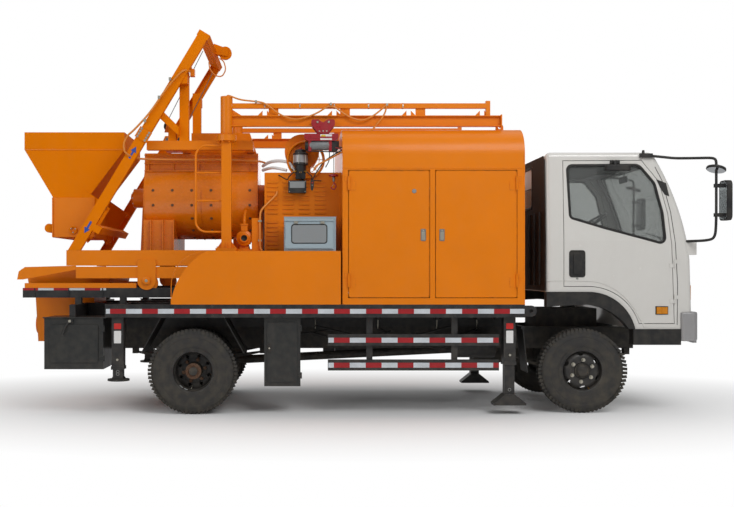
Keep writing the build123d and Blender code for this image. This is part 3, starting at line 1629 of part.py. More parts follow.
with BuildPart() as cab_body:
    add(cab_outer)
    add(cab_inner, mode=Mode.SUBTRACT)
    with BuildSketch(Plane.XZ.offset(-cab_half_width - 10)):
        add(door_outline(0))
    extrude(amount=2 * cab_half_width + 20, mode=Mode.SUBTRACT)
    with BuildSketch(Plane.YZ.offset(screen_top_x - 140)):
        with Locations((0, (screen_low + screen_high) / 2)):
            RectangleRounded(2 * screen_half_width, screen_high - screen_low, 60)
    extrude(amount=600, mode=Mode.SUBTRACT)
    with BuildSketch(Plane.YZ.offset(cab_rear - 10)):
        with Locations((0, rear_window_z)):
            RectangleRounded(2 * rear_window_half, rear_window_height, 50)
    extrude(amount=cab_wall + 20, mode=Mode.SUBTRACT)
    for sign in (-1, 1):
        with BuildSketch(Plane.XZ.offset(-sign * pivot_lug_y)):
            with BuildLine():
                Polyline(
                    (cab_pivot_x - 60, cab_sill + 10),
                    (cab_pivot_x - 60, cab_pivot_z),
                    (cab_pivot_x, cab_pivot_z - 60),
                    (cab_pivot_x + 60, cab_pivot_z),
                    (cab_pivot_x + 60, cab_sill + 10),
                    close=True,
                )
            make_face()
            with Locations((cab_pivot_x, cab_pivot_z)):
                Circle(cab_pivot_pin + running_fit, mode=Mode.SUBTRACT)
        extrude(amount=pivot_lug_width / 2, both=True)
        for height in cab_hinge_heights:
            with BuildSketch(Plane.XY.offset(height + cab_hinge_length + seat_gap)):
                with Locations((cab_hinge_x, sign * cab_hinge_y)):
                    Circle(cab_hinge_radius)
                with Locations((cab_hinge_x + cab_leaf_length / 2, sign * (cab_half_width + hinge_leaf / 2))):
                    Rectangle(cab_leaf_length, hinge_leaf)
            extrude(amount=cab_hinge_length)
cab_body.part.label = "cab_body"
export_step(cab_body.part, "parts/cab_body.step")

for side, sign in sides:
    with BuildPart() as cab_door:
        add(cab_outer)
        add(cab_inner, mode=Mode.SUBTRACT)
        with BuildSketch(Plane.XZ.offset(-sign * door_inner_y)):
            add(door_outline(panel_gap))
            add(window_outline(0), mode=Mode.SUBTRACT)
        extrude(amount=-sign * (cab_half_width + 10 - door_inner_y), mode=Mode.INTERSECT)
        for height in cab_hinge_heights:
            with BuildSketch(Plane.XY.offset(height)):
                with Locations((cab_hinge_x, sign * cab_hinge_y)):
                    Circle(cab_hinge_radius)
                with Locations((cab_hinge_x - cab_leaf_length / 2, sign * (cab_half_width + hinge_leaf / 2))):
                    Rectangle(cab_leaf_length, hinge_leaf)
            extrude(amount=cab_hinge_length)
    cab_door.part.label = f"cab_door_{side}"
    export_step(cab_door.part, f"parts/cab_door_{side}.step")

    with BuildPart() as pane:
        add(glass_outer)
        add(glass_inner, mode=Mode.SUBTRACT)
        with BuildSketch(Plane.XZ.offset(-sign * door_inner_y)):
            add(window_outline(-seat_gap))
        extrude(amount=-sign * (cab_half_width + 10 - door_inner_y), mode=Mode.INTERSECT)
    pane.part.label = f"door_glass_{side}"
    export_step(pane.part, f"parts/door_glass_{side}.step")

with BuildPart() as cab_glass:
    add(glass_outer)
    add(glass_inner, mode=Mode.SUBTRACT)
    with BuildSketch(Plane.YZ.offset(screen_top_x - 140)):
        with Locations((0, (screen_low + screen_high) / 2)):
            RectangleRounded(
                2 * (screen_half_width - seat_gap), screen_high - screen_low - 2 * seat_gap, 60 - seat_gap
            )
    extrude(amount=600, mode=Mode.INTERSECT)
    with BuildSketch(Plane.YZ.offset(cab_rear + glass_depth)):
        with Locations((0, rear_window_z)):
            RectangleRounded(
                2 * (rear_window_half - seat_gap), rear_window_height - 2 * seat_gap, 50 - seat_gap
            )
    extrude(amount=glass_wall)
cab_glass.part.label = "cab_glass"
export_step(cab_glass.part, "parts/cab_glass.step")

floor_z = cab_step_z + cab_wall
with BuildPart() as cab_interior:
    for side, sign in sides:
        with Locations((seat_x, sign * seat_y, floor_z + seat_gap + seat_height / 2)):
            Box(seat_length, seat_width, seat_height)
        with BuildSketch(Plane.XZ.offset(-sign * seat_y)):
            with BuildLine():
                Polyline(
                    (seat_x - seat_length / 2, floor_z + seat_height - 20),
                    (seat_x - seat_length / 2 + 130, floor_z + seat_height - 20),
                    (seat_x - seat_length / 2 + 60, floor_z + seat_back_height),
                    (seat_x - seat_length / 2 - 40, floor_z + seat_back_height),
                    close=True,
                )
            make_face()
        extrude(amount=seat_width / 2 - 15, both=True)
    with BuildSketch(Plane.XZ.offset(-dash_half_width)):
        with BuildLine():
            Polyline(
                (dash_rear, dash_low),
                (dash_rear - 30, dash_high - 90),
                (dash_rear + 90, dash_high),
                (dash_front, dash_high),
                (screen_base_x - cab_wall, screen_base_z),
                (screen_base_x - cab_wall, dash_low),
                close=True,
            )
        make_face()
    extrude(amount=2 * dash_half_width)
    wheel_centre = Vector(steering_x, steering_y, steering_z)
    wheel_axis = Vector(-sin(radians(steering_lean)), 0, cos(radians(steering_lean)))
    with BuildSketch(Plane(origin=wheel_centre, z_dir=wheel_axis)):
        Circle(steering_radius)
        Circle(steering_radius - 26, mode=Mode.SUBTRACT)
        Rectangle(2 * steering_radius - 30, 30)
        Circle(40)
    extrude(amount=12, both=True)
    with BuildSketch(Plane(origin=wheel_centre, z_dir=wheel_axis)):
        Circle(24)
    extrude(amount=-steering_column)
cab_interior.part.label = "cab_interior"
export_step(cab_interior.part, "parts/cab_interior.step")

# ---------------------------------------------------------------- outside of the cab

with BuildPart() as bumper:
    with BuildSketch(Plane.XY.offset(bumper_low)):
        with BuildLine():
            ThreePointArc(
                (bumper_side_x, -bumper_half_width), (bumper_front_x, 0), (bumper_side_x, bumper_half_width)
            )
            Line((bumper_side_x, bumper_half_width), (bumper_side_x - bumper_depth, bumper_half_width))
            ThreePointArc(
                (bumper_side_x - bumper_depth, bumper_half_width),
                (bumper_front_x - bumper_depth, 0),
                (bumper_side_x - bumper_depth, -bumper_half_width),
            )
            Line((bumper_side_x - bumper_depth, -bumper_half_width), (bumper_side_x, -bumper_half_width))
        make_face()
    extrude(amount=bumper_high - bumper_low)
    for sign in (-1, 1):
        with Locations(
            (
                bumper_front_x - bumper_depth - bumper_stay / 2,
                sign * bumper_stay_y,
                (bumper_low + cab_sill) / 2,
            )
        ):
            Box(bumper_stay, 60, cab_sill - bumper_low)
bumper.part.label = "bumper"
export_step(bumper.part, "parts/bumper.step")

with BuildPart() as cab_trim:
    for side, sign in sides:
        arch = arch_points(-seat_gap)
        with BuildSketch(Plane.XZ.offset(-sign * (cab_half_width + flare_proud))):
            with BuildLine():
                Line((cab_rear, flare_low_z), (cab_rear, arch[2][1]))
                Line((cab_rear, arch[2][1]), arch[2])
                ThreePointArc(*reversed(arch))
                Line(arch[0], (arch[0][0] - flare_toe, arch[0][1]))
                ThreePointArc(
                    (arch[0][0] - flare_toe, arch[0][1]),
                    (front_axle_x + 290, cab_step_z - 220),
                    (front_axle_x - 20, flare_low_z + 20),
                )
                Line((front_axle_x - 20, flare_low_z + 20), (cab_rear, flare_low_z))
            make_face()
        extrude(amount=sign * flare_depth)
        with Locations(
            (
                (sill_rear + sill_front) / 2,
                sign * (cab_half_width + flare_proud - sill_depth / 2),
                cab_sill - sill_height / 2,
            )
        ):
            Box(sill_front - sill_rear, sill_depth, sill_height)
cab_trim.part.label = "cab_trim"
export_step(cab_trim.part, "parts/cab_trim.step")

with BuildPart() as mirrors:
    for side, sign in sides:
        arm_y = sign * mirror_root_y
        head_y = sign * mirror_y
        root_low = Vector(screen_base_x + mirror_root, arm_y, mirror_low_z)
        knee_low = Vector(mirror_x - 20, head_y, mirror_low_z + 60)
        knee_high = Vector(mirror_x - 20, head_y, mirror_high_z)
        root_high = Vector(mirror_root_high_x, arm_y, mirror_high_z + 30)
        for start, end in ((root_low, knee_low), (knee_low, knee_high), (knee_high, root_high)):
            with BuildSketch(Plane(origin=start, z_dir=end - start)):
                Circle(mirror_rod)
            extrude(amount=(end - start).length)
        with Locations(knee_low, knee_high):
            Sphere(mirror_rod)
        with Locations((mirror_x, head_y, (mirror_low_z + mirror_high_z) / 2 + 60)):
            Box(mirror_depth, mirror_width, mirror_height)
mirrors.part.label = "mirrors"
export_step(mirrors.part, "parts/mirrors.step")
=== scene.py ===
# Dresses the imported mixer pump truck: paints, tyres, cab skin, fittings, hoses and cables.
import json
from math import acos, cos, pi, radians, sin, sqrt

import bmesh
import bpy
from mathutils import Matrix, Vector

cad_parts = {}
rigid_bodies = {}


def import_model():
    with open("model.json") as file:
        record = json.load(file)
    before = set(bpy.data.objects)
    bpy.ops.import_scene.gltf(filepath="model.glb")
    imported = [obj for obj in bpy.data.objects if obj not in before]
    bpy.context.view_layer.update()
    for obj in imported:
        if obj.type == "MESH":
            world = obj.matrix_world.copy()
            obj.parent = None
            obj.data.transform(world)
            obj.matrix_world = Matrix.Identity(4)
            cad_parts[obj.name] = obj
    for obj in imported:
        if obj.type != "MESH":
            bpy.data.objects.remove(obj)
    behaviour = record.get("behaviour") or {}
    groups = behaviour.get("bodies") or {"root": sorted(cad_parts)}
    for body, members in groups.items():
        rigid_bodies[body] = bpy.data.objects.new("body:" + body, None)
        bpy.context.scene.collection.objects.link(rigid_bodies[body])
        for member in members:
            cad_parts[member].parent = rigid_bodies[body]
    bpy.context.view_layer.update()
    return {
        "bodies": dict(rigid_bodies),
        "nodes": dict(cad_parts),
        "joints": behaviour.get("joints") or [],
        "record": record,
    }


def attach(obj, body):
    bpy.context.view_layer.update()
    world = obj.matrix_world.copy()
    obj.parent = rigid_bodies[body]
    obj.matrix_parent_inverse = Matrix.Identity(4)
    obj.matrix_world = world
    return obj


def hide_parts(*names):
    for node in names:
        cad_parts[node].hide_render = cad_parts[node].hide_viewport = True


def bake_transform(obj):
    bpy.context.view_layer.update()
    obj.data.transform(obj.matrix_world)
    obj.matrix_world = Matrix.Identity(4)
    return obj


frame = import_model()
print("stage: frame loaded", len(frame["nodes"]), "nodes")


def shade(red, green, blue):
    def channel(value):
        value /= 255
        return value / 12.92 if value <= 0.04045 else ((value + 0.055) / 1.055) ** 2.4
    return (channel(red), channel(green), channel(blue), 1)


def newGroup(name, inputs, outputs):
    tree = bpy.data.node_groups.new(name, "ShaderNodeTree")
    for label, kind, value in inputs:
        socket = tree.interface.new_socket(name=label, in_out="INPUT", socket_type="NodeSocket" + kind)
        socket.default_value = value
    for label, kind in outputs:
        tree.interface.new_socket(name=label, in_out="OUTPUT", socket_type="NodeSocket" + kind)
    return tree, tree.nodes.new("NodeGroupInput"), tree.nodes.new("NodeGroupOutput")


def put(tree, kind, **fields):
    made = tree.nodes.new(kind)
    for key, value in fields.items():
        if key.startswith("in_"):
            made.inputs[int(key[3:])].default_value = value
        else:
            setattr(made, key, value)
    return made


def wire(tree, *pairs):
    for source, target in zip(pairs[::2], pairs[1::2]):
        tree.links.new(source, target)


def mathNode(tree, operation, first, second=None, clamp=False):
    made = put(tree, "ShaderNodeMath", operation=operation, use_clamp=clamp)
    for index, value in enumerate((first, second)):
        if value is None:
            continue
        if isinstance(value, (int, float)):
            made.inputs[index].default_value = value
        else:
            tree.links.new(value, made.inputs[index])
    return made.outputs[0]


def ramp(tree, source, low, high, lowValue=0.0, highValue=1.0):
    made = put(tree, "ShaderNodeMapRange", in_1=low, in_2=high, in_3=lowValue, in_4=highValue)
    tree.links.new(source, made.inputs[0])
    return made.outputs[0]


def noiseAt(tree, coordinates, scale, detail=3.0, stretch=None):
    if stretch:
        mapping = put(tree, "ShaderNodeMapping")
        mapping.inputs["Scale"].default_value = stretch
        tree.links.new(coordinates, mapping.inputs[0])
        coordinates = mapping.outputs[0]
    made = put(tree, "ShaderNodeTexNoise")
    made.inputs["Scale"].default_value = scale
    made.inputs["Detail"].default_value = detail
    tree.links.new(coordinates, made.inputs["Vector"])
    return made.outputs["Fac"]


def mixColour(tree, amount, first, second):
    made = put(tree, "ShaderNodeMix", data_type="RGBA")
    tree.links.new(amount, made.inputs[0])
    for value, target in ((first, made.inputs[6]), (second, made.inputs[7])):
        if isinstance(value, tuple):
            target.default_value = value
        else:
            tree.links.new(value, target)
    return made.outputs[2]


def makeWeatherGroup():
    # colour variation, dust on upward faces, rain streaks, edge wear, and a fine grain for the bump
    tree, given, out = newGroup("weathering", [("Paint", "Color", (0.5, 0.5, 0.5, 1)),
        ("Dust", "Color", (0.3, 0.26, 0.2, 1)), ("Dust amount", "Float", 0.3),
        ("Wear", "Color", (0.1, 0.1, 0.1, 1)), ("Wear amount", "Float", 0.3), ("Roughness", "Float", 0.4),
        ("Grain scale", "Float", 120.0), ("Variation", "Float", 0.12), ("Low dirt", "Float", 0)],
        [("Colour", "Color"), ("Roughness", "Float"), ("Height", "Float")])
    place = put(tree, "ShaderNodeTexCoord")
    spot = place.outputs["Object"]
    broad = noiseAt(tree, spot, 1.7, 4.0)
    grain = put(tree, "ShaderNodeTexNoise")
    grain.inputs["Detail"].default_value = 2.0
    wire(tree, spot, grain.inputs["Vector"], given.outputs["Grain scale"], grain.inputs["Scale"])
    streak = noiseAt(tree, spot, 9.0, 4.0, (1, 1, 0.12))
    patch = noiseAt(tree, spot, 14.0, 6.0)
    # broad light and dark areas
    value = mathNode(tree, "MULTIPLY", mathNode(tree, "SUBTRACT", broad, 0.5), given.outputs["Variation"])
    value = mathNode(tree, "ADD", mathNode(tree, "MULTIPLY", value, 2.0), 1.0)
    tint = put(tree, "ShaderNodeHueSaturation")
    wire(tree, given.outputs["Paint"], tint.inputs["Color"], value, tint.inputs["Value"])
    # dust settles on what faces up, and runs down in streaks
    up = put(tree, "ShaderNodeSeparateXYZ")
    tree.links.new(place.outputs["Normal"], up.inputs[0])
    upward = ramp(tree, up.outputs[2], 0.35, 1.0)
    loose = mathNode(tree, "MULTIPLY", ramp(tree, patch, 0.38, 0.72), 0.5)
    runs = mathNode(tree, "MULTIPLY", ramp(tree, streak, 0.52, 0.78), 0.45)
    height = put(tree, "ShaderNodeSeparateXYZ")
    tree.links.new(spot, height.inputs[0])
    low = mathNode(tree, "MULTIPLY", ramp(tree, height.outputs[2], 1.15, 0.35), given.outputs["Low dirt"])
    dust = mathNode(tree, "ADD", mathNode(tree, "MULTIPLY", upward, 0.45),
        mathNode(tree, "ADD", loose, runs))
    dust = mathNode(tree, "ADD", mathNode(tree, "MULTIPLY", dust, given.outputs["Dust amount"]),
        mathNode(tree, "MULTIPLY", low, mathNode(tree, "ADD", loose, 0.35)), clamp=True)
    dusty = mixColour(tree, dust, tint.outputs[0], given.outputs["Dust"])
    # worn edges: where a rounded normal differs from the flat one
    rounded = put(tree, "ShaderNodeBevel", samples=4)
    rounded.inputs["Radius"].default_value = 0.006
    flat = put(tree, "ShaderNodeNewGeometry")
    dot = put(tree, "ShaderNodeVectorMath", operation="DOT_PRODUCT")
    wire(tree, rounded.outputs[0], dot.inputs[0], flat.outputs["Normal"], dot.inputs[1])
    edge = ramp(tree, dot.outputs["Value"], 0.995, 0.86)
    scuff = mathNode(tree, "MULTIPLY", edge, ramp(tree, patch, 0.45, 0.6))
    scuff = mathNode(tree, "MULTIPLY", scuff, given.outputs["Wear amount"], clamp=True)
    final = mixColour(tree, scuff, dusty, given.outputs["Wear"])
    rough = mathNode(tree, "ADD", given.outputs["Roughness"], mathNode(tree, "MULTIPLY", dust, 0.45))
    rough = mathNode(tree, "ADD", rough, mathNode(tree, "MULTIPLY", mathNode(tree, "SUBTRACT", patch, 0.5),
        0.18), clamp=True)
    wire(tree, final, out.inputs["Colour"], rough, out.inputs["Roughness"], grain.outputs["Fac"],
        out.inputs["Height"])
    return tree


weather = makeWeatherGroup()
dustTone = shade(150, 140, 122)


def finishPaint(name, colour, rough=0.4, metal=0.0, coat=0.0, dust=0.25, wear=0.3, wearColour=(70, 66, 60),
        grain=140, bump=0.05, bumpDepth=0.0006, variation=0.1, lowDirt=0.0, dustColour=None, **sockets):
    material = bpy.data.materials.new(name)
    material.use_nodes = True
    tree = material.node_tree
    surface = tree.nodes["Principled BSDF"]
    weathered = put(tree, "ShaderNodeGroup", node_tree=weather)
    settings = {"Paint": shade(*colour), "Dust": dustColour or dustTone, "Dust amount": dust,
        "Wear": shade(*wearColour), "Wear amount": wear, "Roughness": rough, "Grain scale": grain,
        "Variation": variation, "Low dirt": lowDirt}
    for key, value in settings.items():
        weathered.inputs[key].default_value = value
    relief = put(tree, "ShaderNodeBump")
    relief.inputs["Strength"].default_value = bump
    relief.inputs["Distance"].default_value = bumpDepth
    wire(tree, weathered.outputs["Colour"], surface.inputs["Base Color"], weathered.outputs["Roughness"],
        surface.inputs["Roughness"], weathered.outputs["Height"], relief.inputs["Height"],
        relief.outputs[0], surface.inputs["Normal"])
    surface.inputs["Metallic"].default_value = metal
    surface.inputs["Coat Weight"].default_value = coat
    surface.inputs["Coat Roughness"].default_value = 0.12
    for key, value in sockets.items():
        surface.inputs[key.replace("_", " ")].default_value = value
    return material


paints = {}
paints["orange"] = finishPaint("machineOrange", (232, 126, 0), 0.36, coat=0.1, dust=0.03, wear=0.55,
    wearColour=(150, 84, 30), grain=220, bump=0.12, variation=0.08, Specular_IOR_Level=0.25)
paints["drumOrange"] = finishPaint("drumOrange", (232, 126, 6), 0.26, coat=0.35, dust=0.04, wear=0.5,
    wearColour=(140, 80, 34), grain=90, bump=0.16, variation=0.12)
paints["mastOrange"] = finishPaint("mastOrange", (230, 124, 2), 0.7, dust=0.03, wear=0.5,
    wearColour=(150, 84, 30), grain=220, bump=0.1, Specular_IOR_Level=0.04)
paints["deckBlack"] = finishPaint("chassisBlack", (26, 27, 30), 0.42, dust=0.12, wear=0.5,
    wearColour=(92, 90, 88), grain=160, bump=0.15, lowDirt=0.1)
paints["underBlack"] = finishPaint("underbodyBlack", (22, 22, 24), 0.6, dust=0.2, wear=0.3, grain=90,
    bump=0.3, lowDirt=0.2)
paints["boxBlack"] = finishPaint("boxEnamel", (28, 30, 30), 0.38, coat=0.15, dust=0.08, wear=0.5, grain=200,
    bump=0.18, lowDirt=0.05)
paints["cabWhite"] = finishPaint("cabWhite", (216, 214, 209), 0.22, coat=0.7, dust=0.05, wear=0.12,
    wearColour=(150, 146, 138), grain=300, bump=0.03, variation=0.03, lowDirt=0.06)
paints["tyre"] = finishPaint("tyreRubber", (40, 40, 41), 0.74, dust=0.35, wear=0.25,
    wearColour=(86, 82, 74), grain=260, bump=0.35, variation=0.16, lowDirt=0.3,
    dustColour=shade(104, 97, 84))
paints["plastic"] = finishPaint("mouldedBlack", (20, 20, 21), 0.55, dust=0.14, wear=0.2, grain=700,
    bump=0.35, bumpDepth=0.0004, variation=0.06)
paints["seal"] = finishPaint("windowRubber", (14, 14, 15), 0.5, dust=0.1, wear=0.0, grain=400, bump=0.1)
paints["silver"] = finishPaint("bumperSilver", (164, 163, 164), 0.34, metal=0.35, coat=0.3, dust=0.12,
    wear=0.2, grain=300, bump=0.05, lowDirt=0.1)
paints["steel"] = finishPaint("wornSteel", (150, 150, 148), 0.38, metal=0.9, dust=0.2, wear=0.2, grain=300,
    bump=0.2, variation=0.2)
paints["zinc"] = finishPaint("zincPlate", (196, 192, 178), 0.32, metal=0.85, dust=0.15, wear=0.1, grain=300,
    bump=0.1)
paints["rust"] = finishPaint("rustedHub", (104, 74, 54), 0.8, metal=0.2, dust=0.4, wear=0.3, grain=60,
    bump=0.8, variation=0.3)
paints["brass"] = finishPaint("brassFitting", (196, 150, 72), 0.3, metal=0.9, dust=0.1, wear=0.1, grain=300,
    bump=0.1)
paints["boxBlue"] = finishPaint("cabinetGreyBlue", (156, 172, 180), 0.4, coat=0.15, dust=0.08, wear=0.3,
    wearColour=(110, 120, 126), grain=420, bump=0.2, variation=0.05)
paints["hoistRed"] = finishPaint("hoistRed", (158, 22, 36), 0.3, coat=0.4, dust=0.08, wear=0.4, grain=240,
    bump=0.08)
paints["motorBlack"] = finishPaint("motorBlack", (26, 27, 30), 0.45, dust=0.15, wear=0.4, grain=200,
    bump=0.3)
paints["cable"] = finishPaint("cableSheath", (24, 24, 25), 0.6, dust=0.1, wear=0.0, grain=500, bump=0.2)
paints["orangePipe"] = finishPaint("paintedConduit", (222, 134, 40), 0.45, coat=0.1, dust=0.1, wear=0.2,
    wearColour=(150, 90, 40), grain=200, bump=0.1)
paints["white"] = finishPaint("whitePlastic", (226, 226, 224), 0.35, coat=0.2, dust=0.05, wear=0.1,
    grain=300, bump=0.05)
paints["red"] = finishPaint("signRed", (196, 34, 30), 0.4, dust=0.05, wear=0.1, grain=300, bump=0.05)
paints["yellow"] = finishPaint("signYellow", (226, 206, 60), 0.4, dust=0.05, wear=0.1, grain=300, bump=0.05)
paints["blue"] = finishPaint("arrowBlue", (36, 78, 168), 0.4, dust=0.05, wear=0.1, grain=300, bump=0.05)
paints["fabric"] = finishPaint("seatCloth", (52, 53, 58), 0.9, dust=0.1, wear=0.1, grain=1500, bump=0.5,
    bumpDepth=0.0008)
paints["cabPlastic"] = finishPaint("dashPlastic", (26, 26, 28), 0.6, dust=0.1, wear=0.0, grain=900,
    bump=0.3)
paints["grey"] = finishPaint("castGrey", (140, 144, 146), 0.5, metal=0.2, dust=0.15, wear=0.3, grain=200,
    bump=0.3)
paints["steelRope"] = finishPaint("wireRope", (120, 118, 112), 0.5, metal=0.7, dust=0.2, wear=0.0,
    grain=600, bump=0.3)


def makeGlass(name, tone, rough=0.02, clear=0.9):
    material = bpy.data.materials.new(name)
    material.use_nodes = True
    surface = material.node_tree.nodes["Principled BSDF"]
    for key, value in {"Base Color": shade(*tone), "Roughness": rough, "Transmission Weight": clear,
            "IOR": 1.45}.items():
        surface.inputs[key].default_value = value
    return material


paints["glass"] = makeGlass("tintedGlass", (192, 195, 193))
paints["mirror"] = makeGlass("mirrorFace", (190, 194, 198), 0.03, 0.0)
paints["mirror"].node_tree.nodes["Principled BSDF"].inputs["Metallic"].default_value = 1.0
paints["amber"] = makeGlass("amberLens", (236, 150, 40), 0.12, 0.25)
paints["lens"] = makeGlass("lampLens", (232, 236, 238), 0.05, 0.75)


def makeTape():
    # reflective tape: red and white lengths by place along X, with a fine honeycomb
    material = bpy.data.materials.new("reflectiveTape")
    material.use_nodes = True
    tree = material.node_tree
    surface = tree.nodes["Principled BSDF"]
    place = put(tree, "ShaderNodeTexCoord")
    along = put(tree, "ShaderNodeSeparateXYZ")
    tree.links.new(place.outputs["Object"], along.inputs[0])
    step = mathNode(tree, "PINGPONG", mathNode(tree, "ADD", along.outputs[0], 100.08), 0.32 / 2)
    half = mathNode(tree, "GREATER_THAN", step, 0.08)
    cells = put(tree, "ShaderNodeTexVoronoi", feature="DISTANCE_TO_EDGE")
    cells.inputs["Scale"].default_value = 160
    tree.links.new(place.outputs["Object"], cells.inputs["Vector"])
    web = ramp(tree, cells.outputs[0], 0.0, 0.12)
    grime = ramp(tree, noiseAt(tree, place.outputs["Object"], 9, 5.0), 0.3, 0.8, 0.82, 1.05)
    base = mixColour(tree, half, shade(172, 26, 34), shade(214, 220, 226))
    tint = put(tree, "ShaderNodeHueSaturation")
    tree.links.new(base, tint.inputs["Color"])
    tree.links.new(mathNode(tree, "MULTIPLY", grime, ramp(tree, web, 0, 1, 0.86, 1.0)),
        tint.inputs["Value"])
    tree.links.new(tint.outputs[0], surface.inputs["Base Color"])
    surface.inputs["Roughness"].default_value = 0.3
    return material


paints["tape"] = makeTape()
print("stage: paints")


def linked(name, data):
    item = bpy.data.objects.new(name, data)
    bpy.context.collection.objects.link(item)
    return item


def faceOut(mesh, weld):
    # all faces look outward; weld joins the corners that meet
    shape = bmesh.new()
    shape.from_mesh(mesh)
    if weld:
        bmesh.ops.remove_doubles(shape, verts=shape.verts, dist=weldReach)
    bmesh.ops.recalc_face_normals(shape, faces=shape.faces)
    shape.to_mesh(mesh)
    shape.free()


def ringFaces(count, sides):
    # the faces of a closed bar with count cross-sections of so many corners
    return [(sides * i + k, sides * j + k, sides * j + (k + 1) % sides, sides * i + (k + 1) % sides) for i,
        j in ((i, (i + 1) % count) for i in range(count)) for k in range(sides)]


weldReach = 0.00002


class Build:
    # gathers simple solids in one mesh, in the build's main paint or in a paint of their own

    def __init__(self, main=None):
        self.main = main
        self.verts, self.faces, self.tones, self.paints = [], [], [], []

    def tone(self, paint):
        if paint not in self.paints:
            self.paints.append(paint)
        return self.paints.index(paint)

    def add(self, verts, faces, paint=None):
        start, tone = len(self.verts), self.tone(paint or self.main)
        self.verts += [tuple(v) for v in verts]
        self.faces += [[start + i for i in face] for face in faces]
        self.tones += [tone] * len(faces)

    def box(self, low, high, paint=None):
        (a, b, c), (d, e, f) = low, high
        a, d = sorted((a, d))
        b, e = sorted((b, e))
        c, f = sorted((c, f))
        verts = [(a, b, c), (d, b, c), (d, e, c), (a, e, c), (a, b, f), (d, b, f), (d, e, f), (a, e, f)]
        self.add(verts, [(3, 2, 1, 0), (4, 5, 6, 7), (0, 1, 5, 4), (1, 2, 6, 5), (2, 3, 7, 6),
            (3, 0, 4, 7)], paint)

    def prism(self, outline, depth, paint=None, start=(0, 0, 0)):
        # outline: corner points, moved by start; depth: vector to the far face
        near = [Vector(p) + Vector(start) for p in outline]
        far = [p + Vector(depth) for p in near]
        count = len(near)
        normal = Vector((0, 0, 0))
        for i in range(count):
            normal += (near[i] - near[0]).cross(near[(i + 1) % count] - near[0])
        if normal.dot(Vector(depth)) > 0:
            near, far = far, near
        faces = [list(range(count)), list(range(2 * count - 1, count - 1, -1))]
        faces += [(i, count + i, count + (i + 1) % count, (i + 1) % count) for i in range(count)]
        self.add(near + far, faces, paint)

    def flat(self, outline, y, depth, paint=None):
        # plate drawn in the XZ plane, thick along Y
        self.prism([(x, y, z) for x, z in outline], (0, depth, 0), paint)

    def rod(self, start, end, radius, paint=None, sides=16, tip=None):
        start, end = Vector(start), Vector(end)
        turn = (end - start).to_track_quat("Z", "Y").to_matrix()
        tip = radius if tip is None else tip
        verts = []
        for place, size in ((start, radius), (end, tip)):
            for i in range(sides):
                angle = 2 * pi * i / sides
                verts.append(place + turn @ Vector((size * cos(angle), size * sin(angle), 0)))
        faces = [list(range(sides - 1, -1, -1)), list(range(sides, 2 * sides))]
        faces += [(i, (i + 1) % sides, sides + (i + 1) % sides, sides + i) for i in range(sides)]
        self.add(verts, faces, paint)

    def lathe(self, centre, axis, profile, paint=None, sides=48):
        # profile: (along the axis, radius) pairs, a closed loop unless it starts or ends on the axis
        # paint may be a list, one per span
        turn = Vector(axis).to_track_quat("Z", "Y").to_matrix()
        rings = []
        for along, radius in profile:
            ring = []
            for i in range(sides):
                angle = 2 * pi * i / sides
                ring.append(Vector(centre) + turn @ Vector((radius * cos(angle), radius * sin(angle),
                    along)))
            rings.append(ring)
        spans = len(profile) if profile[0][1] and profile[-1][1] else len(profile) - 1
        for span in range(spans):
            first, second = rings[span], rings[(span + 1) % len(profile)]
            faces = [(i, (i + 1) % sides, sides + (i + 1) % sides, sides + i) for i in range(sides)]
            self.add(first + second, faces, paint[span] if isinstance(paint, list) else paint)

    def tube(self, points, radius, paint=None, sides=12, smooth=6):
        # round tube through the points, with curved corners
        line = roundedLine([Vector(p) for p in points], smooth)
        turns = [2 * pi * k / sides for k in range(sides)]
        frames, last = [], None
        for i, point in enumerate(line):
            ahead = (line[min(i + 1, len(line) - 1)] - line[max(i - 1, 0)]).normalized()
            if last is None:
                side = ahead.orthogonal().normalized()
            else:
                side = (last - ahead * last.dot(ahead)).normalized()
            last = side
            other = ahead.cross(side)
            frames.append([point + radius * (cos(t) * side + sin(t) * other) for t in turns])
        verts = [v for ring in frames for v in ring]
        faces = []
        for i in range(len(frames) - 1):
            for k in range(sides):
                a, b = i * sides + k, i * sides + (k + 1) % sides
                faces.append((a, b, b + sides, a + sides))
        faces.append(list(range(sides - 1, -1, -1)))
        faces.append([len(verts) - sides + k for k in range(sides)])
        self.add(verts, faces, paint)

    def make(self, name, body, replaces=(), bevel=0.003, segments=2, weld=True, angle=32):
        mesh = bpy.data.meshes.new(name)
        mesh.from_pydata(self.verts, [], self.faces)
        for paint in self.paints:
            mesh.materials.append(paints[paint])
        mesh.polygons.foreach_set("material_index", self.tones)
        mesh.update()
        made = linked(name, mesh)
        faceOut(mesh, weld)
        smoothShade(made, angle)
        if bevel:
            rounding = made.modifiers.new("rounding", "BEVEL")
            rounding.width = bevel
            rounding.segments = segments
            rounding.limit_method = "ANGLE"
            rounding.angle_limit = radians(angle)
            rounding.harden_normals = True
            rounding.use_clamp_overlap = True
        settle(made, body, replaces)
        return made


def roundedLine(points, steps, share=0.42):
    # a line whose corners are turned into short curves
    if len(points) < 3 or steps < 2:
        return points
    line = [points[0]]
    for before, corner, after in zip(points, points[1:], points[2:]):
        start = corner.lerp(before, share)
        end = corner.lerp(after, share)
        for i in range(steps + 1):
            t = i / steps
            line.append(start.lerp(corner, t).lerp(corner.lerp(end, t), t))
    line.append(points[-1])
    tidy = [line[0]]
    for point in line[1:]:
        if (point - tidy[-1]).length > 1e-5:
            tidy.append(point)
    return tidy


def smoothShade(made, angle=32):
    mesh = made.data
    mesh.polygons.foreach_set("use_smooth", [True] * len(mesh.polygons))
    shape = bmesh.new()
    shape.from_mesh(mesh)
    for edge in shape.edges:
        edge.smooth = len(edge.link_faces) == 2 and edge.calc_face_angle(0) < radians(angle)
    shape.to_mesh(mesh)
    shape.free()


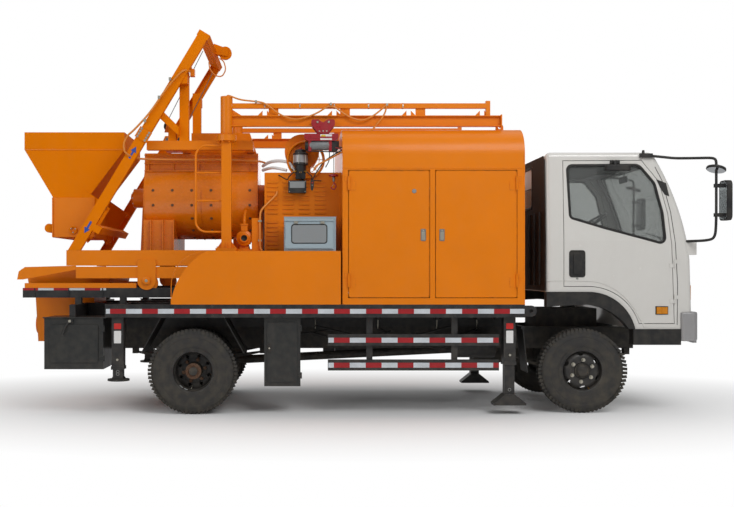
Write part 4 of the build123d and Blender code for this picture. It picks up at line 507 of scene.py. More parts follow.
def settle(made, body, replaces=()):
    if body:
        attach(made, body)
    if replaces:
        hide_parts(*replaces)


def plainMesh(made, name, body, angle=32):
    # turns a finished object with its modifiers into a plain mesh piece
    bpy.context.view_layer.update()
    graph = bpy.context.evaluated_depsgraph_get()
    mesh = bpy.data.meshes.new_from_object(made.evaluated_get(graph))
    mesh.name = name
    bpy.data.objects.remove(made, do_unlink=True)
    piece = linked(name, mesh)
    smoothShade(piece, angle)
    settle(piece, body)


def roundedBox(x0, x1, z0, z1, radius, steps=5):
    return roundedOutline(((x0, z0), (x1, z0), (x1, z1), (x0, z1)), radius, steps)


def roundedOutline(corners, radius, steps=5):
    # closed outline in a plane with its corners rounded; radius may be one number or one per corner
    made = []
    count = len(corners)
    for i in range(count):
        before, corner, after = (Vector(corners[j % count]) for j in (i - 1, i, i + 1))
        size = radius[i] if isinstance(radius, (list, tuple)) else radius
        if size <= 0:
            made.append(tuple(corner))
            continue
        first, second = (before - corner).normalized(), (after - corner).normalized()
        half = acos(max(-1, min(1, first.dot(second)))) / 2
        reach = min(size / max(1e-6, sin(half) / cos(half)), (before - corner).length * 0.49,
            (after - corner).length * 0.49)
        size = reach * sin(half) / cos(half)
        middle = corner + (first + second).normalized() * (size / sin(half))
        start, end = corner + first * reach - middle, corner + second * reach - middle
        swing = acos(max(-1, min(1, start.normalized().dot(end.normalized()))))
        for k in range(steps + 1):
            t = k / steps
            mixed = (start * sin((1 - t) * swing) + end * sin(t * swing)) / sin(swing)
            made.append(tuple(middle + mixed))
    return made


def newTree(name, inputs):
    tree = bpy.data.node_groups.new(name, "GeometryNodeTree")
    tree.interface.new_socket(name="Geometry", in_out="INPUT", socket_type="NodeSocketGeometry")
    for label, kind, value in inputs:
        socket = tree.interface.new_socket(name=label, in_out="INPUT", socket_type="NodeSocket" + kind)
        if value is not None:
            socket.default_value = value
    tree.interface.new_socket(name="Geometry", in_out="OUTPUT", socket_type="NodeSocketGeometry")
    return tree, tree.nodes.new("NodeGroupInput"), tree.nodes.new("NodeGroupOutput")


def finishTree(tree, given, out, geometry):
    realize = put(tree, "GeometryNodeRealizeInstances")
    cover = put(tree, "GeometryNodeSetMaterial")
    wire(tree, geometry, realize.inputs[0], realize.outputs[0], cover.inputs["Geometry"],
        given.outputs["Paint"], cover.inputs["Material"], cover.outputs[0], out.inputs[0])


def runTree(tree, made, values):
    modifier = made.modifiers.new("repeat", "NODES")
    modifier.node_group = tree
    for item in tree.interface.items_tree:
        if item.in_out == "INPUT" and item.name in values:
            modifier[item.identifier] = values[item.name]
    return made


def pointsObject(name, places, normals=None):
    mesh = bpy.data.meshes.new(name)
    mesh.from_pydata([tuple(p) for p in places], [], [])
    if normals:
        facing = mesh.attributes.new("facing", "FLOAT_VECTOR", "POINT")
        facing.data.foreach_set("vector", [c for n in normals for c in n])
    return linked(name, mesh)


def makeBoltTree():
    # a washer and a six-sided head on every point, turned to face along its own direction
    tree, given, out = newTree("boltHeads", [("Head radius", "Float", 0.01),
        ("Head height", "Float", 0.008), ("Washer radius", "Float", 0.014), ("Sides", "Int", 6),
        ("Paint", "Material", None)])
    head = put(tree, "GeometryNodeMeshCylinder")
    washer = put(tree, "GeometryNodeMeshCylinder", in_0=16)
    lift = put(tree, "GeometryNodeTransform")
    offset = put(tree, "ShaderNodeCombineXYZ")
    join = put(tree, "GeometryNodeJoinGeometry")
    spread = put(tree, "GeometryNodeInstanceOnPoints")
    facing = put(tree, "GeometryNodeInputNamedAttribute", data_type="FLOAT_VECTOR")
    facing.inputs["Name"].default_value = "facing"
    align = put(tree, "FunctionNodeAlignRotationToVector", axis="Z")
    thin = put(tree, "ShaderNodeMath", operation="MULTIPLY", in_1=0.35)
    wire(tree, given.outputs["Head radius"], head.inputs["Radius"], given.outputs["Head height"],
        head.inputs["Depth"], given.outputs["Sides"], head.inputs["Vertices"],
        given.outputs["Washer radius"], washer.inputs["Radius"], given.outputs["Head height"],
        thin.inputs[0], thin.outputs[0], washer.inputs["Depth"], given.outputs["Head height"],
        offset.inputs[2], head.outputs["Mesh"], lift.inputs[0], offset.outputs[0],
        lift.inputs["Translation"], lift.outputs[0], join.inputs[0], washer.outputs["Mesh"], join.inputs[0],
        given.outputs["Geometry"], spread.inputs["Points"], join.outputs[0], spread.inputs["Instance"],
        facing.outputs[0], align.inputs["Vector"], align.outputs[0], spread.inputs["Rotation"])
    finishTree(tree, given, out, spread.outputs[0])
    return tree


boltTree = makeBoltTree()


def bolts(name, body, places, normals, paint="zinc", radius=0.009, height=0.007, washer=0.013, sides=6):
    made = pointsObject(name, places, normals if isinstance(normals, list) else [normals] * len(places))
    runTree(boltTree, made, {"Head radius": radius, "Head height": height, "Washer radius": washer,
        "Sides": sides, "Paint": paints[paint]})
    plainMesh(made, name, body)


def makeHoseTree():
    # a hose or conduit that follows a curve, its wall rising and falling in ribs along the length
    tree, given, out = newTree("ribbedHose", [("Radius", "Float", 0.02), ("Rib height", "Float", 0.002),
        ("Rib spacing", "Float", 0.012), ("Sides", "Int", 12), ("Paint", "Material", None)])
    sample = put(tree, "GeometryNodeResampleCurve")
    sample.mode = "LENGTH"
    step = put(tree, "ShaderNodeMath", operation="MULTIPLY", in_1=0.25)
    along = put(tree, "GeometryNodeSplineParameter")
    waves = put(tree, "ShaderNodeMath", operation="DIVIDE")
    turn = put(tree, "ShaderNodeMath", operation="MULTIPLY", in_1=2 * pi)
    rise = put(tree, "ShaderNodeMath", operation="SINE")
    tall = put(tree, "ShaderNodeMath", operation="MULTIPLY")
    wide = put(tree, "ShaderNodeMath", operation="ADD")
    ring = put(tree, "GeometryNodeCurvePrimitiveCircle")
    skin = put(tree, "GeometryNodeCurveToMesh")
    skin.inputs["Fill Caps"].default_value = True
    unit = put(tree, "GeometryNodeSetCurveRadius", in_2=1.0)
    ring.inputs["Radius"].default_value = 1.0
    wire(tree, given.outputs["Rib spacing"], step.inputs[0], step.outputs[0], sample.inputs["Length"],
        given.outputs["Geometry"], sample.inputs["Curve"], along.outputs["Length"], waves.inputs[0],
        given.outputs["Rib spacing"], waves.inputs[1], waves.outputs[0], turn.inputs[0], turn.outputs[0],
        rise.inputs[0], rise.outputs[0], tall.inputs[0], given.outputs["Rib height"], tall.inputs[1],
        tall.outputs[0], wide.inputs[0], given.outputs["Radius"], wide.inputs[1], sample.outputs[0],
        unit.inputs["Curve"], wide.outputs[0], skin.inputs["Scale"], unit.outputs[0], skin.inputs["Curve"],
        ring.outputs["Curve"], skin.inputs["Profile Curve"], given.outputs["Sides"],
        ring.inputs["Resolution"])
    finishTree(tree, given, out, skin.outputs[0])
    return tree


hoseTree = makeHoseTree()


def splineObject(name, points):
    data = bpy.data.curves.new(name, "CURVE")
    data.dimensions = "3D"
    spline = data.splines.new("NURBS")
    spline.points.add(len(points) - 1)
    for point, place in zip(spline.points, points):
        point.co = (*place, 1)
    spline.order_u = 3
    spline.use_endpoint_u = True
    spline.resolution_u = 12
    return linked(name, data)


def hose(name, body, points, radius, paint="cable", rib=0.0, spacing=0.02, sides=10):
    made = splineObject(name, points)
    runTree(hoseTree, made, {"Radius": radius, "Rib height": rib, "Rib spacing": spacing, "Sides": sides,
        "Paint": paints[paint]})
    plainMesh(made, name, body, angle=60)


def makePieceTree():
    # copies of one small piece on given places, for louvres, slats and tread lugs
    tree, given, out = newTree("placedPieces", [("Piece", "Object", None), ("Paint", "Material", None)])
    fetch = put(tree, "GeometryNodeObjectInfo")
    fetch.inputs["As Instance"].default_value = True
    spread = put(tree, "GeometryNodeInstanceOnPoints")
    turn = put(tree, "GeometryNodeInputNamedAttribute", data_type="FLOAT_VECTOR")
    turn.inputs["Name"].default_value = "turn"
    wire(tree, given.outputs["Piece"], fetch.inputs["Object"], fetch.outputs["Geometry"],
        spread.inputs["Instance"], given.outputs["Geometry"], spread.inputs["Points"], turn.outputs[0],
        spread.inputs["Rotation"])
    finishTree(tree, given, out, spread.outputs[0])
    return tree


pieceTree = makePieceTree()


def repeats(name, body, shape, places, turns, paint, angle=32):
    # shape: a Build whose solids stand at the origin; one copy on each place, turned by its Euler angles
    mesh = bpy.data.meshes.new(name + "One")
    mesh.from_pydata(shape.verts, [], shape.faces)
    solid = linked(name + "One", mesh)
    made = pointsObject(name, places)
    spin = made.data.attributes.new("turn", "FLOAT_VECTOR", "POINT")
    spin.data.foreach_set("vector", [c for t in turns for c in t])
    runTree(pieceTree, made, {"Piece": solid, "Paint": paints[paint]})
    plainMesh(made, name, body, angle)
    bpy.data.objects.remove(solid, do_unlink=True)


print("stage: tools")


nodePaints = {"tyre": "tyre", "rim": "deckBlack", "knuckle": "underBlack", "axles": "underBlack",
    "leaf": "underBlack", "chassis_frame": "underBlack", "deck": "deckBlack", "pump": "deckBlack",
    "jack": "deckBlack", "mixer": "orange", "mast": "mastOrange", "skip": "mastOrange",
    "receiving": "orange", "concrete": "orange", "jib": "orange", "hoist": "hoistRed", "housing": "orange",
    "power": "underBlack", "skirts": "orange", "louvre": "orange", "control": "boxBlue",
    "grease": "motorBlack", "side": "boxBlack", "tool": "boxBlack", "cabinet": "boxBlack",
    "tanks": "deckBlack", "drive": "underBlack", "mudguards": "deckBlack", "cab_body": "cabWhite",
    "cab_door": "cabWhite", "cab_glass": "glass", "door_glass": "glass", "cab_interior": "cabPlastic",
    "bumper": "silver", "cab_trim": "plastic", "mirrors": "plastic", "side_guards": "deckBlack", }
for node, solid in frame["nodes"].items():
    fits = [key for key in nodePaints if node.startswith(key)]
    solid.data.materials.clear()
    solid.data.materials.append(paints[nodePaints[max(fits, key=len)]])
frame["nodes"]["mixer"].data.materials[0] = paints["drumOrange"]
print("stage: solids painted")


tyreSize = {"radius": 0.43, "base": 0.4175, "lugs": 64, "lugLength": 0.029}
axleZ = tyreSize["radius"]
frontAxle = {"x": 2.21, "tyreY": 0.86, "nutY": 0.9475, "nutCircle": 0.111, "capY": 0.952,
    "capCircle": 0.071}
rearAxle = {"x": -1.74, "outerY": 0.952, "innerY": 0.682, "nutY": 0.882, "nutCircle": 0.111, "boltY": 0.994,
    "boltCircle": 0.0705, "weightCircle": 0.192}
beadRing = ((0.103, 0.2315), (0.1115, 0.2445), (0.1125, 0.2475), (0.104, 0.2345))
tyreProfile = ((0.0915, 0.206), (0.1, 0.2115), (0.1045, 0.222), (0.104, 0.23), (0.1095, 0.242),
    (0.1148, 0.27), (0.1172, 0.305), (0.1175, 0.332), (0.1158, 0.334), (0.1158, 0.34), (0.117, 0.342),
    (0.116, 0.356), (0.112, 0.376), (0.106, 0.392), (0.098, 0.406), (0.088, 0.415), (0.074, 0.4175))
shoulderLug = ((0.064, -0.004), (0.064, 0.0123), (0.08, 0.012), (0.096, 0.001), (0.107, -0.017),
    (0.113, -0.0345), (0.106, -0.0345), (0.09, -0.01))
ribRows = ((0, 0.0115), (0.034, 0.012), (-0.034, 0.012))


def makeTyre(name, body, axleX, centreY, replaces):
    # carcass turned about the axle, then lugs on the shoulders and ribs between
    centre = (axleX, centreY, axleZ)
    carcass = Build("tyre")
    ring = [(-y, r) for y, r in tyreProfile] + [(y, r) for y, r in reversed(tyreProfile)]
    carcass.lathe(centre, (0, 1, 0), ring, sides=96)
    for edge in (-1, 1):
        carcass.lathe(centre, (0, 1, 0), [(edge * y, r) for y, r in beadRing], sides=96)
    carcass.make(name, body, replaces, bevel=0, angle=40)
    half = tyreSize["lugLength"] / 2
    shoulder, rib = Build(), Build()
    shoulder.prism([(0, y, z) for y, z in shoulderLug], (2 * half, 0, 0), "tyre", start=(-half, 0, 0))
    for row, width in ribRows:
        outline = [(-half, row - width, 0), (half * 0.4, row - width, 0), (half, row, 0),
            (half * 0.4, row + width, 0), (-half, row + width, 0), (-half * 0.4, row, 0)]
        rib.prism(outline, (0, 0, 0.0145), "tyre", start=(0, 0, -0.003))
    # the far shoulder's lugs are turned round and sit half a step on
    for row, solid, shift, turn in (("LugsA", shoulder, 0, 0), ("LugsB", shoulder, pi, pi),
            ("Ribs", rib, 0, 0)):
        angles = [(2 * pi * i + shift) / tyreSize["lugs"] for i in range(tyreSize["lugs"])]
        places = [(axleX + tyreSize["base"] * sin(a), centreY,
            axleZ + tyreSize["base"] * cos(a)) for a in angles]
        repeats(name + row, body, solid, places, [(0, a, turn) for a in angles], "tyre", angle=20)


def openLathe(name, body, centre, side, profile, holes, paint, thick, replaces):
    # pressed wheel disc: a turned sheet with hand holes left out, thickened
    sides = holes["count"] * holes["step"]
    verts, faces = [], []
    for along, radius in profile:
        for i in range(sides):
            angle = 2 * pi * (i + 0.5) / sides
            verts.append((centre[0] + radius * cos(angle), centre[1] + side * along,
                centre[2] + radius * sin(angle)))
    for span in range(len(profile) - 1):
        gap = holes["spans"].get(span, 0)
        for i in range(sides):
            place = i % holes["step"]
            if gap and abs(place - holes["step"] // 2) < gap:
                continue
            j = (i + 1) % sides
            faces.append((span * sides + i, span * sides + j, (span + 1) * sides + j,
                (span + 1) * sides + i))
    mesh = bpy.data.meshes.new(name)
    mesh.from_pydata(verts, [], faces)
    mesh.materials.append(paints[paint])
    made = linked(name, mesh)
    faceOut(mesh, False)
    smoothShade(made, 40)
    wall = made.modifiers.new("wall", "SOLIDIFY")
    wall.thickness = thick
    wall.offset = 0
    edge = made.modifiers.new("edge", "BEVEL")
    edge.width = thick * 0.25
    edge.segments = 2
    edge.limit_method = "ANGLE"
    edge.angle_limit = radians(50)
    edge.harden_normals = True
    settle(made, body, replaces)


frontDisc = ((0.862, 0.199), (0.905, 0.194), (0.918, 0.186), (0.926, 0.174), (0.934, 0.164), (0.941, 0.154),
    (0.944, 0.144), (0.942, 0.086), (0.936, 0.081))
rearDisc = ((0.868, 0.199), (0.868, 0.19), (0.872, 0.176), (0.874, 0.16), (0.874, 0.144), (0.874, 0.13),
    (0.878, 0.118), (0.878, 0.084))
barrelRing = ((0.086, 0.2055), (0.0935, 0.2075), (0.0985, 0.2145), (0.1025, 0.214), (0.0985, 0.201),
    (0.088, 0.1965), (0.06, 0.1945), (0.052, 0.188), (0, 0.187), (0, 0.193), (0.048, 0.194), (0.056, 0.201))


def barrel(shape, axleX, centreY):
    # well-base barrel with turned-up lips, open at both ends
    for lip in (-1, 1):
        shape.lathe((axleX, centreY, axleZ), (0, lip, 0), barrelRing, "deckBlack", sides=72)


def studs(name, body, axleX, faceY, side, radius, count, paint, size, height, start):
    places = []
    for i in range(count):
        angle = start + 2 * pi * i / count
        places.append((axleX + radius * cos(angle), side * faceY, axleZ + radius * sin(angle)))
    bolts(name, body, places, (0, side, 0), paint, radius=size, height=height, washer=size * 1.35)


def frontWheel(tag, side):
    body, axleX, tyreY = f"wheel_front_{tag}", frontAxle["x"], side * frontAxle["tyreY"]
    axle = (axleX, 0, axleZ)
    makeTyre(f"tyreFront{tag}", body, axleX, tyreY, [f"tyre_front_{tag}"])
    holes = {"count": 6, "step": 14, "spans": {2: 2, 3: 3, 4: 2}}
    openLathe(f"discFront{tag}", body, axle, side, frontDisc, holes, "deckBlack", 0.007,
        [f"rim_front_{tag}"])
    hub = Build("underBlack")
    barrel(hub, axleX, tyreY)
    hub.lathe(axle, (0, side, 0), ((0.8, 0), (0.8, 0.078), (0.952, 0.078), (0.952, 0.066), (0.966, 0.062),
        (0.97, 0.056), (0.98, 0.052), (0.984, 0.044), (0.984, 0)), sides=40)
    hub.lathe(axle, (0, side, 0), ((0.8, 0.078), (0.8, 0.118), (0.936, 0.118), (0.936, 0.078)), sides=40)
    hub.rod((axleX + 0.06, side * 0.9, 0.27), (axleX + 0.068, side * 0.955, 0.248), 0.0045, "brass", 10)
    hub.make(f"hubFront{tag}", body, bevel=0.0015)
    studs(f"nutsFront{tag}", body, axleX, frontAxle["nutY"], side, frontAxle["nutCircle"], 6, "zinc",
        0.0145, 0.019, 0.42)
    studs(f"capScrewsFront{tag}", body, axleX, frontAxle["capY"], side, frontAxle["capCircle"], 6,
        "underBlack", 0.004, 0.005, 0.1)


def rearWheels(tag, side):
    body, axleX = f"wheels_rear_{tag}", rearAxle["x"]
    axle = (axleX, 0, axleZ)
    makeTyre(f"tyreRearOuter{tag}", body, axleX, side * rearAxle["outerY"], [f"tyres_rear_{tag}"])
    makeTyre(f"tyreRearInner{tag}", body, axleX, side * rearAxle["innerY"], [])
    holes = {"count": 8, "step": 10, "spans": {2: 1, 3: 2, 4: 1}}
    openLathe(f"discRear{tag}", body, axle, side, rearDisc, holes, "deckBlack", 0.008, [f"rims_rear_{tag}"])
    hub = Build("grey")
    barrel(hub, axleX, side * rearAxle["outerY"])
    barrel(hub, axleX, side * rearAxle["innerY"])
    hub.lathe(axle, (0, side, 0), ((0.75, 0.19), (0.76, 0.15), (0.76, 0.086), (0.768, 0.086),
        (0.768, 0.152), (0.76, 0.192)), "deckBlack", sides=48)
    hub.lathe(axle, (0, side, 0), ((0.602, 0), (0.602, 0.12), (0.868, 0.12), (0.868, 0.092), (0.905, 0.08),
        (0.96, 0.066), (0.985, 0.064)), "underBlack", sides=40)
    hub.lathe(axle, (0, side, 0), ((0.982, 0.03), (0.982, 0.081), (0.994, 0.081), (0.994, 0.052),
        (0.99, 0.048), (0.99, 0.03)), "rust", sides=40)
    hub.lathe(axle, (0, side, 0), ((0.982, 0), (0.982, 0.03), (1.004, 0.028), (1.008, 0.022), (1.008, 0)),
        sides=32)
    hub.tube(((axleX - 0.02, side * 0.88, 0.27), (axleX - 0.02, side * 0.93, 0.262),
        (axleX - 0.02, side * 1.0, 0.258)), 0.0042, "zinc", 10)
    for turn in (4.05, 4.33):
        reach, half = rearAxle["weightCircle"], Vector((0.018 * sin(turn), 0, -0.018 * cos(turn)))
        place = Vector((axleX + reach * cos(turn), side * 1.03, axleZ + reach * sin(turn)))
        hub.rod(place - half, place + half, 0.006, sides=8)
    hub.make(f"hubRear{tag}", body, bevel=0.0015)
    studs(f"nutsRear{tag}", body, axleX, rearAxle["nutY"], side, rearAxle["nutCircle"], 6, "rust", 0.015,
        0.024, 0.2)
    studs(f"flangeBolts{tag}", body, axleX, rearAxle["boltY"], side, rearAxle["boltCircle"], 9, "rust",
        0.0075, 0.009, 0.0)


for tag, side in (("right", -1), ("left", 1)):
    frontWheel(tag, side)
    rearWheels(tag, side)
print("stage: wheels")


cabSize = {"rear": 1.825, "half": 1.03, "belt": 1.75, "lean": 0.05, "top": 2.65}
doorWindow = ((2.045, 2.515), (2.77, 2.52), (2.925, 2.335), (3.002, 2.03), (3.03, 1.715), (2.42, 1.88),
    (2.07, 1.985))


def cabSide(z):
    # half width of the cab at a height: upright to the belt, then leaning in
    if z <= cabSize["belt"]:
        return cabSize["half"]
    return cabSize["half"] - cabSize["lean"] * (z - cabSize["belt"]) / (cabSize["top"] - cabSize["belt"])


def onCabSide(outline, side, proud):
    return [Vector((x, side * (cabSide(z) + proud), z)) for x, z in outline]


def strip(shape, line, side, inner, outer, width, paint, closed=True):
    # flat moulding that follows an outline on the cab's side
    flatLine = [Vector((x, z)) for x, z in line]
    count = len(flatLine)
    near, far = [], []
    for i, here in enumerate(flatLine):
        before = flatLine[i - 1] if closed or i else here * 2 - flatLine[1]
        after = flatLine[(i + 1) % count] if closed or i < count - 1 else here * 2 - flatLine[-2]
        ahead = (after - before).normalized()
        across = Vector((-ahead.y, ahead.x)) * width / 2
        near.append(here - across)
        far.append(here + across)
    rings = []
    for edge, proud in ((near, inner), (near, outer), (far, outer), (far, inner)):
        rings.append(onCabSide([tuple(p) for p in edge], side, proud))
    verts = [p for ring in rings for p in ring]
    faces = []
    for i in range(count if closed else count - 1):
        j = (i + 1) % count
        for k in range(4):
            m = (k + 1) % 4
            faces.append((k * count + i, k * count + j, m * count + j, m * count + i))
    if not closed:
        faces += [tuple(k * count for k in range(4)),
            tuple(k * count + count - 1 for k in reversed(range(4)))]
    shape.add(verts, faces, paint)


def screenX(z):
    # front face of the cab at a height, on the arc through the windscreen's three places
    (x1, z1), (x2, z2), (x3, z3) = (2.95, 2.59), (3.165, 2.11), (3.285, 1.56)
    a = (z - z2) * (z - z3) / ((z1 - z2) * (z1 - z3))
    b = (z - z1) * (z - z3) / ((z2 - z1) * (z2 - z3))
    c = (z - z1) * (z - z2) / ((z3 - z1) * (z3 - z2))
    return a * x1 + b * x2 + c * x3


def cabSkin():
    # cab back: black sheet with pressed ribs, its black a painted shade for the back wall's shadow, and ribs
    # on the roof
    size = {"sheetX": 1.8255, "ribX": 1.822, "low": 1.245, "belt": 1.75, "shoulder": 2.585, "top": 2.62}
    back = Build("underBlack")
    # the black of this sheet is painted shade: it stands for the cab's back wall lying in shadow
    half = cabSize["half"]
    rear = [(-half + 0.012, size["low"]), (-half + 0.012, size["belt"]), (-half + 0.06, size["shoulder"]),
        (-half + 0.12, size["top"]), (half - 0.12, size["top"]), (half - 0.06, size["shoulder"]),
        (half - 0.012, size["belt"]), (half - 0.012, size["low"])]
    left, right, low, high = -0.44, 0.44, 2.1, 2.56
    # around the rear window, in four prisms
    for outline in ((rear[0], rear[1], (-half + 0.03, low), (half - 0.03, low), rear[6], rear[7]),
            ((-half + 0.03, low), rear[2], (-half + 0.06, high), (left, high), (left, low)),
            ((half - 0.03, low), rear[5], (half - 0.06, high), (right, high), (right, low)),
            ((-half + 0.06, high), rear[3], rear[4], (half - 0.06, high))):
        back.prism([(size["sheetX"], y, z) for y, z in outline], (-0.006, 0, 0))
    rib = ((-0.025, 1.33), (-0.012, 1.3), (0.012, 1.3), (0.025, 1.33), (0.025, 2.02), (0.012, 2.05),
        (-0.012, 2.05), (-0.025, 2.02))
    for y in (-0.78, -0.55, -0.32, 0.32, 0.55, 0.78):
        back.prism([(size["ribX"], y + across, z) for across, z in rib], (-0.016, 0, 0))
    back.make("cabBackSheet", "cab", bevel=0.003)
    roof = Build()
    for y in (-0.55, -0.2, 0.2, 0.55):
        roof.box((2.02, y - 0.03, 2.648), (2.78, y + 0.03, 2.6545), "cabWhite")
    for side in (-1, 1):
        roof.tube(((1.9, side * 0.93, 2.64), (2.6, side * 0.93, 2.64), (2.86, side * 0.92, 2.632)), 0.007,
            "seal", 10)
    roof.make("cabRoofRibs", "cab", bevel=0.004)


def cabSideTrim(tag, side):
    # crease over the wheel arch, pillar seam and patch, marker lamp
    size = {"creaseX": 1.835, "creaseZ": 1.352, "creaseWidth": 0.016, "markerY": 1.03, "markerLow": 1.013,
        "markerHigh": 1.082}
    trim = Build()
    arch = [(size["creaseX"], size["creaseZ"]), (2.21, size["creaseZ"]), (2.34, 1.34), (2.46, 1.3),
        (2.565, 1.235), (2.65, 1.155), (2.72, 1.06), (2.775, 0.965), (2.815, 0.88)]
    curve = [tuple(p)[:2] for p in roundedLine([Vector((x, z, 0)) for x, z in arch], 4)]
    strip(trim, [(size["creaseX"], size["creaseZ"]), (1.992, size["creaseZ"])], side, -0.002, 0.006,
        size["creaseWidth"], "cabWhite", closed=False)
    trim.make(f"cabCreaseRear{tag}", "cab", bevel=0.0022, segments=3)
    crease = Build()
    strip(crease, [(2.012, size["creaseZ"])] + [p for p in curve if p[0] > 2.02], side, -0.002, 0.006,
        size["creaseWidth"], "cabWhite", closed=False)
    crease.make(f"cabCreaseDoor{tag}", f"cab_door_body_{tag}", bevel=0.0022, segments=3)
    pillar = Build()
    strip(pillar, [(3.145, 0.9), (3.15, 1.3), (3.128, 1.72), (3.085, 2.04), (3.005, 2.36), (2.935, 2.5)],
        side, -0.003, 0.002, 0.006, "seal", closed=False)
    pillar.make(f"pillarSeam{tag}", "cab", bevel=0.0008)
    gusset = Build()
    gusset.prism(onCabSide([(2.945, 2.375), (3.045, 2.335), (3.075, 2.2), (3.03, 2.215), (2.985, 2.285)],
        side, -0.003), (0, side * 0.006, 0), "plastic")
    gusset.make(f"pillarPatch{tag}", "cab", bevel=0.0015)
    lamp = Build("amber")
    lamp.box((2.925, side * 1.028, 1.005), (3.055, side * 1.0315, 1.09), "seal")
    lamp.box((2.935, side * size["markerY"], size["markerLow"]), (2.985, side * 1.046, size["markerHigh"]))
    lamp.box((2.987, side * size["markerY"], size["markerLow"]), (3.045, side * 1.044, size["markerHigh"]))
    lamp.make(f"sideMarker{tag}", f"cab_door_body_{tag}", bevel=0.006, segments=3)


def cabDoor(tag, side):
    size = {"handleX": 2.137, "panLow": 1.388, "panHigh": 1.648, "gripLow": 1.412, "gripHigh": 1.628,
        "liningY": 0.935, "restY": 0.932, "restOut": 0.895}
    body = f"cab_door_body_{tag}"
    window = roundedOutline(doorWindow, (0.05, 0.09, 0.12, 0.3, 0.05, 0.3, 0.045), 6)
    rubber = Build()
    strip(rubber, window, side, -0.014, 0.003, 0.026, "seal")
    strip(rubber, window, side, 0.001, 0.006, 0.01, "seal")
    rubber.make(f"windowRubber{tag}", body, bevel=0.002)
    # recessed handle: dark pan with a grip across it
    handle = Build()
    pan = roundedBox(2.062, 2.212, size["panLow"], size["panHigh"], 0.022, 4)
    strip(handle, pan, side, -0.003, 0.006, 0.014, "plastic")
    handle.prism(onCabSide(pan, side, -0.002), (0, side * 0.0035, 0), "underBlack")
    handle.prism(onCabSide(roundedBox(2.098, 2.18, size["gripLow"], size["gripHigh"], 0.016, 4), side,
        0.0015), (0, side * 0.0095, 0), "plastic")
    handle.lathe((size["handleX"], side * 1.028, 1.366), (0, side, 0),
        ((0, 0), (0, 0.014), (0.005, 0.013), (0.0065, 0.009), (0.0065, 0)), "steel", sides=24)
    handle.make(f"doorHandle{tag}", body, bevel=0.002)
    inner = Build("cabPlastic")
    inner.prism([(x, side * size["liningY"], z) for x, z in ((2.05, 1.33), (2.3, 1.33), (2.55, 1.2),
        (2.72, 1.02), (3.0, 0.99), (3.06, 1.66), (2.42, 1.83), (2.07, 1.93))], (0, side * -0.004, 0))
    inner.box((2.22, side * 0.931, 1.42), (2.78, side * 0.885, 1.475))
    inner.tube(((2.36, side * size["restY"], 1.6), (2.36, side * size["restOut"], 1.6),
        (2.58, side * size["restOut"], 1.565), (2.58, side * size["restY"], 1.565)), 0.011, sides=10)
    inner.make(f"doorLining{tag}", body, bevel=0.006)


def rubberRing(shape, outline, width, depths, faceX):
    # square moulding round an opening; faceX: the wall's place at a height, depths: its corners off the wall
    count, ring = len(outline), []
    for i, (y, z) in enumerate(outline):
        ahead = (Vector(outline[(i + 1) % count]) - Vector(outline[i - 1])).normalized()
        across = Vector((-ahead.y, ahead.x)) * width / 2
        for edge, depth in zip((-1, -1, 1, 1), depths):
            place = Vector((y, z)) + across * edge
            ring.append((faceX(place.y) + depth, place.x, place.y))
    shape.add(ring, ringFaces(count, 4), "seal")


def rearX(z):
    return cabSize["rear"]


def cabGlazing():
    # rubbers of the windscreen, in two steps, and of the rear window
    screen = {"low": 1.755, "high": 2.545, "half": 0.905, "topHalf": 0.865, "corner": 0.075}
    rear = {"low": 2.115, "high": 2.545, "half": 0.425, "corner": 0.05}
    rubber = Build()
    line = roundedOutline(((-screen["half"], screen["low"]), (screen["half"], screen["low"]),
        (screen["topHalf"], screen["high"]), (-screen["topHalf"], screen["high"])), screen["corner"], 6)
    for width, proud in ((0.03, 0.003), (0.012, 0.007)):
        rubberRing(rubber, line, width, (-0.012, proud, proud, -0.012), screenX)
    line = roundedBox(-rear["half"], rear["half"], rear["low"], rear["high"], rear["corner"], 6)
    rubberRing(rubber, line, 0.026, (0.01, -0.008, -0.008, 0.01), rearX)
    rubber.make("screenRubbers", "cab", bevel=0.002)


